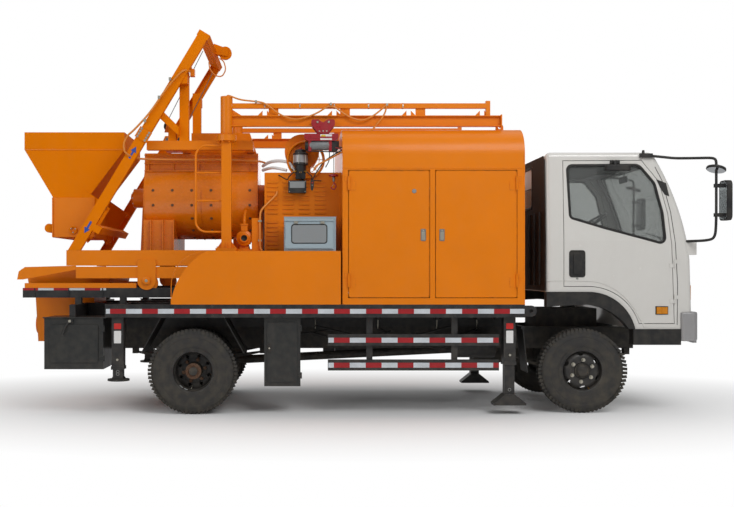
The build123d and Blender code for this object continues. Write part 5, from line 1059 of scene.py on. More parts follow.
def cabFront():
    # grille panel, head lamps, wipers and roof markers: the front that the photograph hides
    size = {"lampY": 0.8, "lampZ": 1.225, "pivotZ": 1.7, "reach": 0.341}
    face = Build("plastic")
    grille = {"low": 1.1, "high": 1.44, "half": 0.62, "bars": 5}
    def frontX(z):
        return 3.3 - 0.015 * (z - 1.04) / 0.52 if z > 1.04 else 3.28 + 0.02 * (z - 0.86) / 0.18
    face.prism([(frontX(z) - 0.004, y, z) for y, z in roundedOutline(((-grille["half"], grille["low"]),
        (grille["half"], grille["low"]), (grille["half"] + 0.04, grille["high"]),
        (-grille["half"] - 0.04, grille["high"])), 0.05, 5)], (0.01, 0, 0))
    for i in range(grille["bars"]):
        z = grille["low"] + 0.045 + i * 0.062
        face.prism([(frontX(z) + 0.004, 0, z), (frontX(z) + 0.016, 0, z + 0.006),
            (frontX(z) + 0.016, 0, z + 0.018), (frontX(z) + 0.004, 0, z + 0.03)],
            (0, 2 * grille["half"] - 0.06, 0), start=(0, -grille["half"] + 0.03, 0))
    for side in (-1, 1):
        face.prism([(frontX(z) - 0.004, side * y, z) for y, z in ((0.7, 1.1), (0.97, 1.12), (0.975, 1.33),
            (0.72, 1.36))], (0.012, 0, 0))
        face.lathe((frontX(1.22) + 0.004, side * size["lampY"], size["lampZ"]), (1, 0, 0),
            ((0, 0.086), (0.01, 0.084), (0.014, 0.076), (0.006, 0.07), (-0.004, 0)), "steel", sides=32)
        face.lathe((frontX(1.22) + 0.012, side * size["lampY"], size["lampZ"]), (1, 0, 0),
            ((0, 0.074), (0.006, 0.06), (0.01, 0.035), (0.011, 0)), "lens", sides=32)
        face.box((frontX(1.2) + 0.006, side * 0.905, 1.15), (frontX(1.2) + 0.016, side * 0.96, 1.3),
            "amber")
    face.make("cabFace", "cab", bevel=0.003)
    wipers = Build("plastic")
    for pivot in (-0.45, 0.25):
        wipers.rod((screenX(size["pivotZ"]) - 0.004, pivot, size["pivotZ"]),
            (screenX(size["pivotZ"]) + 0.022, pivot, 1.704), 0.016, sides=20)
        tip = (screenX(1.83) + 0.02, pivot + size["reach"], 1.83)
        wipers.tube(((screenX(size["pivotZ"]) + 0.02, pivot, size["pivotZ"]),
            (screenX(1.72) + 0.026, pivot + 0.06, 1.722), tip), 0.006, sides=10)
        wipers.rod((screenX(1.8) + 0.013, tip[1] - 0.27, 1.792),
            (screenX(1.87) + 0.013, tip[1] + 0.27, 1.868), 0.006, "seal", 8)
    wipers.make("wipers", "cab", bevel=0.001)
    lamp = Build()
    for side in (-1, 1):
        lamp.lathe((2.78, side * 0.86, 2.64), (0, 0, 1), ((0, 0), (0, 0.026), (0.004, 0.026),
            (0.005, 0.018), (0.0085, 0.016), (0.0095, 0.01), (0.01, 0)), "plastic", sides=24)
    lamp.make("roofMarkers", "cab", bevel=0.001)


def cabInside():
    # dash, steering wheel, gear lever, floor, pedals and mirror replace the plain solids behind the glass
    size = {"dialX": 2.951, "dialZ": 1.668, "half": 0.925, "rim": 0.2, "tube": 0.0135, "tilt": 35}
    dash = Build("cabPlastic")
    profile = ((3.18, 1.32), (2.985, 1.32), (2.96, 1.4), (2.93, 1.6), (2.945, 1.655), (3.02, 1.69),
        (3.06, 1.7), (3.18, 1.7))
    dash.prism([(x, 0, z) for x, z in profile], (0, 1.85, 0), start=(0, -size["half"], 0))
    dash.prism([(x, 0, z) for x, z in ((2.93, 1.62), (2.955, 1.7), (3.03, 1.745), (3.1, 1.72),
        (3.06, 1.66))], (0, 0.44, 0), start=(0, 0.34, 0))
    for y in (0.47, 0.64):
        dash.lathe((size["dialX"], y, size["dialZ"]), (-0.94, 0, 0.34),
            ((0, 0), (0, 0.055), (0.007, 0.055), (0.007, 0.048), (0.003, 0.046), (0.003, 0)), "plastic",
            sides=28)
    for y in (-0.78, -0.42, 0.05, 0.86):
        dash.box((2.935, y - 0.06, 1.6), (2.948, y + 0.06, 1.646), "plastic")
    for i in range(5):
        dash.box((2.944, -0.055 + i * 0.028, 1.5), (2.952, -0.033 + i * 0.028, 1.53), "grey")
    dash.box((2.9, -0.82, 1.36), (2.99, -0.36, 1.55))
    dash.make("dashboard", "cab", ["cab_interior"], bevel=0.012, segments=3)
    # wheel: rim, spokes, boss and column
    centre = Vector((2.74, 0.56, 2))
    axis = Vector((-sin(radians(size["tilt"])), 0, cos(radians(size["tilt"]))))
    sideways = Vector((0, 1, 0))
    upward = axis.cross(sideways)
    wheel = Build("plastic")
    rim = [centre + size["rim"] * (cos(pi * i / 24) * sideways + sin(pi * i / 24) * upward)
        for i in range(48)]
    verts = []
    for place in rim:
        outward = (place - centre).normalized()
        for k in range(10):
            verts.append(place + size["tube"] * (cos(pi * k / 5) * outward + sin(pi * k / 5) * axis))
    wheel.add(verts, ringFaces(len(rim), 10), "plastic")
    for turn in (0, pi, -pi / 2):
        outward = cos(turn) * sideways + sin(turn) * upward
        wheel.rod(centre - 0.02 * axis + 0.03 * outward, centre + 0.195 * outward, 0.017, sides=12,
            tip=0.01)
    wheel.lathe(centre - 0.035 * axis, axis, ((0, 0), (0, 0.055), (0.02, 0.062), (0.034, 0.058),
        (0.042, 0.045), (0.044, 0)), sides=32)
    foot = centre - 0.6 * axis
    wheel.rod(centre - 0.03 * axis, foot, 0.028, "cabPlastic", 20, 0.036)
    wheel.make("steeringWheel", "cab", bevel=0, angle=50)
    fittings = Build("plastic")
    fittings.tube(((2.6, 0, 1.29), (2.58, 0, 1.45), (2.52, 0, 1.6)), 0.011, sides=12)
    fittings.lathe((2.518, 0, 1.595), (-0.3, 0, 1), ((0, 0), (0, 0.02), (0.015, 0.028), (0.035, 0.026),
        (0.045, 0.014), (0.047, 0)), sides=24)
    fittings.box((2.02, -0.93, 1.281), (2.95, 0.93, 1.292), "cabPlastic")
    fittings.box((1.876, -0.92, 1.29), (1.884, 0.92, 2.06), "cabPlastic")
    for y in (0.4, 0.55, 0.7):
        fittings.prism([(2.98, y - 0.03, 1.36), (2.95, y - 0.03, 1.45), (2.96, y - 0.03, 1.455),
            (2.99, y - 0.03, 1.365)], (0, 0.06, 0))
    fittings.rod((2.955, 0, 2.56), (2.935, 0, 2.47), 0.006, sides=10)
    fittings.prism([(2.925, y, z) for y, z in roundedBox(-0.12, 0.12, 2.42, 2.49, 0.02, 4)], (0.016, 0, 0))
    for side in (-1, 1):
        fittings.box((2.7, side * 0.22, 2.535), (2.92, side * 0.82, 2.55), "grey")
    fittings.make("cabFittings", "cab", bevel=0.003)


def seatPad(name, outline, y, width):
    # cushion drawn from the side: rounded slab with a raised middle and sewn edge lines
    size = {"corner": 0.045, "rows": 14, "edgeFrom": 0.8, "edgeDrop": 0.16, "seamDepth": 0.025,
        "seamAt": 0.58, "seamWide": 0.07}
    rounded = roundedOutline(outline, size["corner"])
    count = len(rounded)
    middle = Vector((sum(p[0] for p in rounded) / count, sum(p[1] for p in rounded) / count))
    rows = size["rows"]
    verts, faces = [], []
    for row in range(rows + 1):
        t = row / rows * 2 - 1
        edge = max(0.0, (abs(t) - size["edgeFrom"]) / 0.2)
        shrink = 1 - size["edgeDrop"] * (1 - sqrt(max(0.0, 1 - edge * edge)))
        groove = 1 - size["seamDepth"] * max(0.0, 1 - abs(abs(t) - size["seamAt"]) / size["seamWide"])
        for x, z in rounded:
            place = middle + (Vector((x, z)) - middle) * shrink * groove
            verts.append((place.x, y + t * width / 2, place.y))
    for row in range(rows):
        for i in range(count):
            j = (i + 1) % count
            faces.append((row * count + i, row * count + j, (row + 1) * count + j, (row + 1) * count + i))
    faces += [tuple(range(count)), tuple(rows * count + i for i in reversed(range(count)))]
    pad = Build()
    pad.add(verts, faces, "fabric")
    made = pad.make(name, "cab", bevel=0, angle=60)


def cabSeats():
    size = {"y": 0.56, "railZ": 1.292, "baseZ": 1.325, "baseTop": 1.405}
    for side, width in ((-1, 0.54), (1, 0.5)):
        y = side * size["y"]
        tag = "Right" if side < 0 else "Left"
        seatPad(f"seatBase{tag}", ((2.02, 1.4), (2.5, 1.4), (2.515, 1.47), (2.49, 1.545), (2.36, 1.555),
            (2.1, 1.525), (2.02, 1.52)), y, width)
        seatPad(f"seatBack{tag}", ((2.01, 1.5), (2.14, 1.53), (2.1, 1.78), (2.075, 2.02), (2.045, 2.1),
            (1.985, 2.1), (1.965, 2.02), (1.975, 1.76)), y, width)
        frame = Build("cabPlastic")
        frame.box((2.04, y - 0.2, size["railZ"]), (2.46, y + 0.2, size["baseZ"]))
        frame.box((2.08, y - 0.17, size["baseZ"]), (2.42, y + 0.17, size["baseTop"]))
        frame.rod((2.1, y - width / 2 - 0.012, 1.5), (2.1, y + width / 2 + 0.012, 1.5), 0.022, sides=16)
        frame.rod((2.1, y - side * (width / 2 - 0.02), 1.42), (2.06, y - side * (width / 2 + 0.03), 1.36),
            0.012, "red", 12)
        frame.make(f"seatFrame{tag}", "cab", bevel=0.004)
    belts = Build()
    for side in (-1, 1):
        belts.tube(((1.93, side * 0.9, 2.25), (1.99, side * 0.86, 2), (2.03, side * 0.84, 1.62),
            (2.05, side * 0.83, 1.34)), 0.007, "fabric", 8)
    belts.make("seatBelts", "cab", bevel=0)


def mirrors():
    # both bent-tube arms with the main mirror and the round kerb mirror
    size = {"rod": 3.46, "low": 1.8, "high": 2.545, "y": 1.222, "radius": 0.0135}
    for tag, side in (("right", -1), ("left", 1)):
        arm = Build("plastic")
        x, y = size["rod"], side * size["y"]
        arm.tube([(2.87, side * 1.0, 2.612), (3.02, side * 1.01, 2.596), (3.12, side * 1.03, 2.582),
            (3.3, side * 1.12, 2.574), (3.43, side * 1.205, 2.568), (x, y, size["high"]), (x, y, 2.45),
            (x, y, size["low"] + 0.05), (3.44, side * 1.21, 1.765), (3.38, side * 1.15, 1.748),
            (3.24, side * 1.005, 1.745)], size["radius"], sides=12, smooth=6)
        arm.box((2.78, side * 0.975, 2.594), (2.905, side * 1.018, 2.634))
        arm.rod((2.815, side * 0.995, 2.63), (2.815, side * 0.995, 2.668), 0.016, sides=16, tip=0.012)
        arm.box((3.222, side * 0.95, 1.608), (3.346, side * 1.02, 1.734), "cabWhite")
        for z in (2, 2.29):
            arm.box((x - 0.02, y - 0.018, z - 0.018), (x + 0.075, y + 0.018, z + 0.018))
        # main mirror housing: rounded shell, glass let into its rear face
        shell = roundedBox(side * 1.132, side * 1.327, 1.945, 2.34, 0.05, 6)
        arm.prism([(3.525, a, z) for a, z in shell], (0.052, 0, 0))
        inner = roundedBox(side * 1.146, side * 1.313, 1.959, 2.326, 0.04, 6)
        arm.prism([(3.5245, a, z) for a, z in inner], (-0.0015, 0, 0), "mirror")
        # round mirror that looks down at the kerb
        arm.lathe((x, y, 2.462), (0.25, -side * 0.2, 1), ((-0.022, 0), (-0.022, 0.086), (-0.012, 0.095),
            (0.004, 0.092), (0.018, 0.06), (0.024, 0)), ["mirror"] + ["plastic"] * 4, sides=36)
        arm.make(f"mirrorArm{tag}", "cab", ["mirrors"] if side < 0 else [], bevel=0.006, segments=3,
            angle=40)


def cabExtras():
    # bumper corners that wrap round the cab, linings inside the cab in near-black as painted shade, and the
    # small mirror over the kerb-side window
    size = {"bumperX": 3.178, "bumperY": 1.064, "bumperLow": 0.738, "bumperHeight": 0.293,
        "mirrorX0": 2.395, "mirrorX1": 2.655}
    ends = Build()
    for side in (-1, 1):
        plan = roundedOutline(((size["bumperX"], side * 0.9), (size["bumperX"], side * size["bumperY"]),
            (3.318, side * size["bumperY"]), (3.365, side * 0.99), (3.38, side * 0.9)), 0.03, 4)
        ends.prism([(x, y, size["bumperLow"]) for x, y in plan], (0, 0, size["bumperHeight"]), "silver")
    ends.make("bumperCorners", "cab", bevel=0.018, segments=3)
    # headliner and rear wall linings: real linings, but their near-black tone is painted shade for the dark
    # cab interior
    lining = Build("cabPlastic")
    lining.box((1.93, -0.9, 2.54), (2.86, 0.9, 2.562))
    lining.box((1.895, -0.9, 1.3), (1.915, 0.9, 2.545))
    lining.make("cabLining", "cab", bevel=0.006)
    small = Build("plastic")
    shell = roundedBox(size["mirrorX0"], size["mirrorX1"], -1.062, -1.128, 0.03, 5)
    small.prism([(x, y, 2.452) for x, y in shell], (0, 0, 0.055))
    small.tube(((2.5, -1.095, 2.49), (2.5, -1.085, 2.545), (2.5, -1.046, 2.55)), 0.014, sides=12)
    small.box((2.455, -1.0485, 2.522), (2.56, -1.062, 2.562))
    small.make("kerbViewMirror", "cab_door_body_right", bevel=0.012, segments=3,
        angle=40)


cabSkin()
for tag, side in (("right", -1), ("left", 1)):
    cabSideTrim(tag, side)
    cabDoor(tag, side)
cabGlazing()
cabFront()
cabInside()
cabSeats()
mirrors()
cabExtras()
print("stage: cab")


def deckTrim():
    # tape on the rails, rivets, and gussets under the deck's edge
    tapes = ((-2.6, 1.585, 1.12, 1.018, 1.066), (-0.375, 1.335, 1.074, 0.725, 0.775),
        (-0.375, 1.335, 1.074, 0.474, 0.524), (-3.515, -2.66, 0.805, 1.246, 1.268))
    rail = {"y": 1.12, "rivets": (-2.49, -1.95, -1.54, -0.84, 0.04, 0.896, 1.45), "rows": (0.998, 1.088)}
    deck = Build()
    for side in (-1, 1):
        for x0, x1, y, z0, z1 in tapes:
            deck.box((x0, side * y, z0), (x1, side * (y + 0.0016), z1), "tape")
    deck.make("reflectiveStrips", "chassis", bevel=0)
    for name, side in (("sideRailRivets", -1), ("sideRailRivetsLeft", 1)):
        places = [(x, side * rail["y"], z) for x in rail["rivets"] for z in rail["rows"]]
        bolts(name, "chassis", places, (0, side, 0), "deckBlack", 0.01, 0.006, 0.014, 8)
    hangers = Build()
    for side in (-1, 1):
        for x in (-2.45, -1.62, -0.93, 0.16, 0.78, 1.33):
            hangers.prism([(x, side * y, z) for y, z in ((1.055, 0.985), (0.8, 0.985), (0.8, 0.945),
                (1.035, 0.97))], (0.008, 0, 0), "deckBlack")
    hangers.make("railGussets", "chassis", bevel=0.002)


def skirtTrim():
    # rolled edge along the skirts' curved end
    trim = Build()
    size = {"rear": -1.953, "front": -0.251, "low": 1.11, "top": 1.645, "curve": 0.353}
    for side in (-1, 1):
        arc = []
        for i in range(13):
            angle = pi / 2 * i / 12
            arc.append((size["rear"] + 0.004 + size["curve"] * (1 - cos(angle)),
                size["top"] - size["curve"] * (1 - sin(angle))))
        line = [(size["rear"] + 0.004, size["low"] + 0.01)] + arc + [(size["front"] - 0.01, size["top"])]
        trim.tube([(x, side * 1.1165, z - 0.003) for x, z in line], 0.0042, "orange", 8, 1)
    trim.make("skirtEdges", "chassis", bevel=0)


def toolBoxTrim():
    # pressed panels, latches and drip edges on the two boxes under the deck
    size = {"doorY": 1.1228, "latchX": 2.96, "latchZ": 0.945, "cabinetY": 1.0825, "keyX": 0.9675}
    trim = Build()
    panel = roundedBox(-3.16, -2.68, 0.53, 0.91, 0.02, 3)
    trim.flat(panel, -size["doorY"], -0.003, "boxBlack")
    trim.make("toolBoxPanel", "tool_box_door_body", bevel=0.002)
    lever = Build()
    lever.box((-3.03, -1.1235, 0.925), (-2.93, -1.133, 0.96), "boxBlack")
    lever.tube(((-size["latchX"], -1.128, size["latchZ"]), (-2.995, -1.15, 0.9), (-3.03, -1.155, 0.8)),
        0.008, "deckBlack", 10)
    lever.rod((-size["latchX"], -1.122, size["latchZ"]), (-size["latchX"], -1.142, size["latchZ"]), 0.014,
        "zinc", 16)
    lever.make("toolBoxLever", "tool_box_door_body", bevel=0.0015)
    cabinet = Build()
    cabinet.flat(roundedBox(-0.99, -0.69, 0.33, 0.93, 0.02, 3), -size["cabinetY"], -0.003, "boxBlack")
    cabinet.flat(roundedBox(-0.985, -0.95, 0.62, 0.72, 0.01, 3), -1.085, -0.009, "plastic")
    cabinet.rod((-size["keyX"], -1.088, 0.67), (-size["keyX"], -1.0985, 0.67), 0.009, "zinc", 16)
    cabinet.make("cabinetDoorTrim", "cabinet_door_body", bevel=0.002)
    seams = Build("boxBlack")
    seams.box((-3.232, -1.1, 0.972), (-2.6, -1.124, 0.984))
    seams.box((-1.028, -1.05, 0.972), (-0.632, -1.088, 0.984))
    seams.make("boxDripEdges", "chassis", bevel=0.002)


def jackTrim():
    # blank stickers, collars, locking pins and hoses on the jacks' sleeves, pads and ribs on their legs
    size = {"half": 0.066, "labelHalf": 0.036, "faceOff": 0.0593, "footReach": 0.088}
    jacks = {"rear": (-2.49, 1.03, 0.455, 0.98), "front": (1.45, 1, 0.5, 0.98)}
    for place, (x, y, low, high) in jacks.items():
        for tag, side in (("Right", -1), ("Left", 1)):
            fixed = Build()
            face = y + size["faceOff"]
            for low1, high1, colour in ((0.26, 0.135, "white"), (0.118, 0.06, "red")):
                fixed.flat(roundedBox(x - size["labelHalf"], x + size["labelHalf"], high - low1,
                    high - high1, 0.006, 3), side * face, side * 0.0012, colour)
            for edge in (y - size["half"], y + 0.058):
                fixed.flat([(x - size["half"], low), (x + size["half"], low),
                    (x + size["half"], low + 0.035), (x - size["half"], low + 0.035)], side * edge,
                    side * 0.008, "deckBlack")
            fixed.rod((x, side * (y - 0.085), low + 0.1), (x, side * (y + 0.078), low + 0.1), 0.011, "zinc",
                14)
            fixed.tube(((x + 0.05, side * (y - 0.062), low + 0.3), (x + 0.05, side * (y - 0.1), low + 0.3),
                (x + 0.05, side * (y - 0.12), low + 0.36), (x + 0.05, side * (y - 0.12), 0.97)), 0.009,
                "cable", 10)
            fixed.make(f"jackSleeve{place}{tag}", "chassis", bevel=0.0015)
            leg = Build()
            for z in ((0.41, 0.435) if place == "rear" else (0.19, 0.25)):
                leg.lathe((x, side * (y + 0.0502), z), (0, side, 0),
                    ((-0.001, 0.017), (0.0006, 0.017), (0.0006, 0.011), (-0.001, 0.011)), "steel", sides=24)
            foot = 0.358 if place == "rear" else 0.113
            for turn in range(4):
                angle = pi / 4 + pi / 2 * turn
                leg.prism([(x + 0.05 * cos(angle), side * y + 0.05 * sin(angle), foot),
                    (x + size["footReach"] * cos(angle), side * y + size["footReach"] * sin(angle), foot),
                    (x + 0.05 * cos(angle), side * y + 0.05 * sin(angle), foot + 0.05)],
                    (0.006 * sin(angle), -0.006 * cos(angle), 0), "deckBlack")
            leg.make(f"jackLeg{place}{tag}", f"jack_{place}_{tag.lower()}", bevel=0.001)


def housingTrim():
    # latches and folded edges of the housing's four doors, then its fixed parts
    size = {"skinY": 1.1195, "latchY": 1.1246, "postX": 0.233, "hatch": 0.22, "roofZ": 2.8895,
        "boltZ": 2.9115}
    for place, x0, x1, hinge in (("rear", -0.172, 0.635, -1), ("front", 0.698, 1.508, 1)):
        for tag, side in (("right", -1), ("left", 1)):
            door = Build("zinc")
            latchX = x1 - 0.062 if hinge < 0 else x0 + 0.062
            door.flat(roundedBox(latchX - 0.026, latchX + 0.026, 1.745, 1.865, 0.01, 4), side * 1.1198,
                side * 0.005, "steel")
            door.flat(roundedBox(latchX - 0.018, latchX + 0.018, 1.755, 1.838, 0.007, 4),
                side * size["latchY"], side * 0.0042)
            door.lathe((latchX, side * size["latchY"], 1.851), (0, side, 0),
                ((0, 0), (0, 0.008), (0.004, 0.008), (0.004, 0)), sides=20)
            door.make(f"doorLatch{place}{tag}", f"housing_door_body_{place}_{tag}", bevel=0.0016)
            rim = Build()
            low, high, wide = 1.18, 2.45, 0.01
            for a, b, c, d in ((x0, x1, low, low + wide), (x1 - wide, x1, low, high),
                    (x0, x1, high - wide, high), (x0, x0 + wide, low, high)):
                rim.box((a, side * size["skinY"], c), (b, side * 1.1212, d), "orange")
            rim.make(f"doorFold{place}{tag}", f"housing_door_body_{place}_{tag}", bevel=0.0007)
    trim = Build("orange")
    # gutter over the doors, corner posts' folded edges, round filler cap and two roof hatches
    for side in (-1, 1):
        trim.box((-size["postX"], side * size["skinY"], 2.468), (1.588, side * 1.1235, 2.482))
        for x in (-size["postX"], 1.576):
            trim.box((x, side * size["skinY"], 1.118), (x + 0.012, side * 1.1218, 2.6))
    trim.lathe((0.482, -size["skinY"], 2.244), (0, -1, 0), ((0, 0), (0, 0.022), (0.004, 0.022),
        (0.006, 0.019), (0.006, 0)), "grey", sides=28)
    for x in (0.25, 1.05):
        hatch = roundedBox(x - 0.16, x + 0.16, -size["hatch"], size["hatch"], 0.03, 4)
        trim.prism([(a, b, size["roofZ"]) for a, b in hatch], (0, 0, 0.022))
    trim.make("housingTrim", "chassis", bevel=0.002)
    places = [(x, y, size["boltZ"]) for x in (0.115, 0.25, 0.385, 0.915, 1.05, 1.185) for y in (-0.19,
        0.19)]
    bolts("hatchBolts", "chassis", places, (0, 0, 1), "zinc", 0.007, 0.005, 0.011)
    # slats on the front end of the housing
    slat = Build("orange")
    slat.prism([(0, -0.2, 0), (0, 0.2, 0), (0, 0.2, 0.012), (0, -0.2, 0.012)], (0.01, 0, 0.006))
    slat.prism([(0, -0.2, 0.012), (0, 0.2, 0.012), (0, 0.2, 0.016), (0, -0.2, 0.016)], (0.01, 0, 0.006))
    spots = [(1.589, y, 1.45 + i * 0.045) for i in range(14) for y in (-0.55, 0, 0.55)]
    repeats("frontSlats", "chassis", slat, spots, [(0, 0, 0)] * len(spots), "orange")


def louvres():
    # pressed louvres in four columns on the cooler box, near side and far side
    size = {"x": 0.945, "y": 0.7005, "pitchX": 0.165, "pitchZ": 0.046, "half": 0.055}
    blade = Build()
    arc = [(0, 0), (0.003, 0.011), (0.01, 0.019), (0.0135, 0.02), (0.0135, 0.016), (0.011, 0)]
    blade.prism([(-size["half"], -y, z) for y, z in arc], (0.11, 0, 0), "orange")
    spots, turns = [], []
    for rows, low in ((15, 1.3), (8, 2.04)):
        for column in range(4):
            for row in range(rows):
                for side, turn in ((-1, 0), (1, pi)):
                    spots.append((-size["x"] + column * size["pitchX"], side * size["y"],
                        low + row * size["pitchZ"]))
                    turns.append((0, 0, turn))
    repeats("louvres", "chassis", blade, spots, turns, "orange")


def underTrim():
    # hydraulic hoses slung under the deck with their hangers, mud flaps ahead of the front jacks
    size = {"flapY": 0.7, "flapTop": 0.87}
    under = Build()
    for i, (x0, x1, y, z, sag) in enumerate(((-0.55, 0.3, -0.55, 0.8, 0.1), (-0.5, 0.95, -0.6, 0.86, 0.12),
            (0.15, 1.25, -0.52, 0.84, 0.16), (0.55, 1.05, -0.66, 0.8, 0.17),
            (-1.05, -0.35, -0.5, 0.84, 0.07))):
        line = []
        for k in range(9):
            t = k / 8
            line.append((x0 + (x1 - x0) * t, y - 0.03 * sin(pi * t),
                z - sag * sin(pi * t) + 0.012 * sin(7 * t + i)))
        under.tube(line, 0.012 - 0.001 * i, "cable", 10, 3)
    for x in (-0.5, 0.16, 0.78, 1.2):
        under.box((x - 0.012, -0.69, 0.935), (x + 0.012, -0.5, 0.985), "deckBlack")
        under.tube(((x, -0.6, 0.95), (x, -0.6, size["flapTop"]), (x, -0.57, 0.84)), 0.005, "zinc", 8)
    under.make("underHoses", "chassis", bevel=0)
    flaps = Build()
    for side in (-1, 1):
        flaps.prism([(1.59, side * size["flapY"], size["flapTop"]),
            (1.602, side * size["flapY"], size["flapTop"]), (1.65, side * size["flapY"], 0.42),
            (1.638, side * size["flapY"], 0.415)], (0, side * 0.3, 0), "plastic")
        flaps.box((1.578, side * size["flapY"], 0.855), (1.612, side * 1.0, 0.885), "deckBlack")
    flaps.make("mudFlaps", "chassis", bevel=0.002)


deckTrim()
underTrim()
skirtTrim()
toolBoxTrim()
jackTrim()
housingTrim()
louvres()
print("stage: deck")


drumSize = {"x0": -2.33, "x1": -1.11, "z": 2.25, "radius": 0.455, "hoop": 0.457}


def drumTrim():
    columns = (-2.228, -2.023, -1.816, -1.61, -1.405, -1.196)
    places, normals = [], []
    for side in (-1, 1):
        for x in columns:
            for degrees in (7, -13, -32, -53, -75):
                if x < -1.98 and degrees < -28:
                    continue
                angle = radians(degrees)
                normal = Vector((0, side * cos(angle), sin(angle)))
                place = Vector((x, 0, drumSize["z"])) + normal * drumSize["radius"]
                if degrees > 6 and abs(place.y) < 0.36:
                    continue
                places.append(tuple(place))
                normals.append(tuple(normal))
    bolts("drumLinerBolts", "chassis", places, normals, "rust", 0.011, 0.008, 0.015, 8)
    shell = Build("orange")
    # end hoops, middle seam, ears and ledges along the sides
    for x, wide in ((drumSize["x0"], 0.012), (drumSize["x1"] - 0.012, 0.012), (-1.72, 0.006)):
        ring = []
        for i in range(49):
            angle = radians(-187 + i * 194 / 48)
            ring.append((x, drumSize["hoop"] * cos(angle), drumSize["z"] + drumSize["hoop"] * sin(angle)))
        for first, second in zip(ring, ring[1:]):
            a, b = Vector(first), Vector(second)
            out = ((a + b) / 2 - Vector((x, 0, drumSize["z"]))).normalized() * 0.005
            shell.prism([a, b, b + out, a + out], (wide, 0, 0), "drumOrange")
    for side in (-1, 1):
        for x in (-2.29, -2.02, -1.75, -1.48, -1.2):
            shell.prism([(x, side * 0.386, 2.53), (x, side * 0.386, 2.59), (x, side * 0.362, 2.62),
                (x, side * 0.362, 2.53)], (0.01, 0, 0))
        shell.box((-2.3, side * 0.3605, 2.63), (-1.14, side * 0.366, 2.66))
    shell.make("drumHoops", "chassis", bevel=0.0015, weld=False)
    # bearing housings at the drum's ends
    ends = Build("orange")
    ends.lathe((drumSize["x1"], 0, drumSize["z"]), (1, 0, 0), ((0.05, 0), (0.05, 0.15), (0.056, 0.15),
        (0.06, 0.145), (0.06, 0.085), (0.085, 0.078), (0.09, 0)), sides=40)
    ends.lathe((-2.5, 0, drumSize["z"]), (-1, 0, 0), ((0, 0), (0, 0.06), (0.028, 0.056), (0.034, 0.04),
        (0.034, 0)), sides=32)
    ends.make("drumEnds", "chassis", bevel=0.002)
    ring = [(-2.4995, 0.085 * cos(2 * pi * i / 8),
        drumSize["z"] + 0.085 * sin(2 * pi * i / 8)) for i in range(8)]
    bolts("bearingBolts", "chassis", ring, (-1, 0, 0), "zinc", 0.009, 0.008, 0.013)


def waterPump():
    # small cleaning pump on the base beam, with its motor, foot and delivery pipe
    size = {"base": 1.6595, "foot": 1.671, "shieldX": 1.158, "shieldTop": 1.99}
    pump = Build("orange")
    x, y, z = -1.237, -0.8, 1.785
    pump.lathe((x, y + 0.1, z), (0, -1, 0), ((0, 0), (0, 0.05), (0.02, 0.078), (0.052, 0.086),
        (0.076, 0.08), (0.088, 0.052), (0.102, 0.046), (0.102, 0.031), (0.09, 0.029), (0.07, 0)),
        ["orange"] * 7 + ["underBlack"] * 2, sides=36)
    pump.rod((x, y + 0.1, z), (x, y + 0.34, z), 0.068, sides=32)
    fin = ((0.066, -0.0025), (0.08, -0.0025), (0.08, 0.0025), (0.066, 0.0025))
    for i in range(16):
        angle = 2 * pi * i / 16
        c, s = cos(angle), sin(angle)
        pump.prism([(x + r * c + w * s, y + 0.13, z + r * s - w * c) for r, w in fin], (0, 0.18, 0))
    pump.box((x - 0.034, y + 0.015, z + 0.075), (x + 0.034, y + 0.085, z + 0.135))
    pump.box((x - 0.04, y + 0.008, z + 0.133), (x + 0.04, y + 0.092, z + 0.148))
    pump.box((x - 0.08, y + 0.02, size["base"]), (x + 0.08, y + 0.3, 1.672))
    for near, wide, top in ((0.05, 0.03, z - 0.06), (0.24, 0.02, z - 0.055)):
        pump.flat([(x - 0.055, size["foot"]), (x + 0.055, size["foot"]), (x + 0.035, top),
            (x - 0.035, top)], y + near, wide)
    pump.tube(((x, y + 0.05, z + 0.146), (x, y + 0.05, z + 0.2), (x, y + 0.16, z + 0.26),
        (x, -0.46, z + 0.3)), 0.017, sides=14)
    pump.make("cleaningPump", "chassis", bevel=0.002)
    side = Build("orange")
    side.box((-size["shieldX"], -0.805, size["base"]), (-1.062, -0.795, size["shieldTop"]))
    side.box((-size["shieldX"], -0.795, size["base"]), (-1.15, -0.52, size["shieldTop"]))
    side.make("pumpShield", "chassis", bevel=0.002)


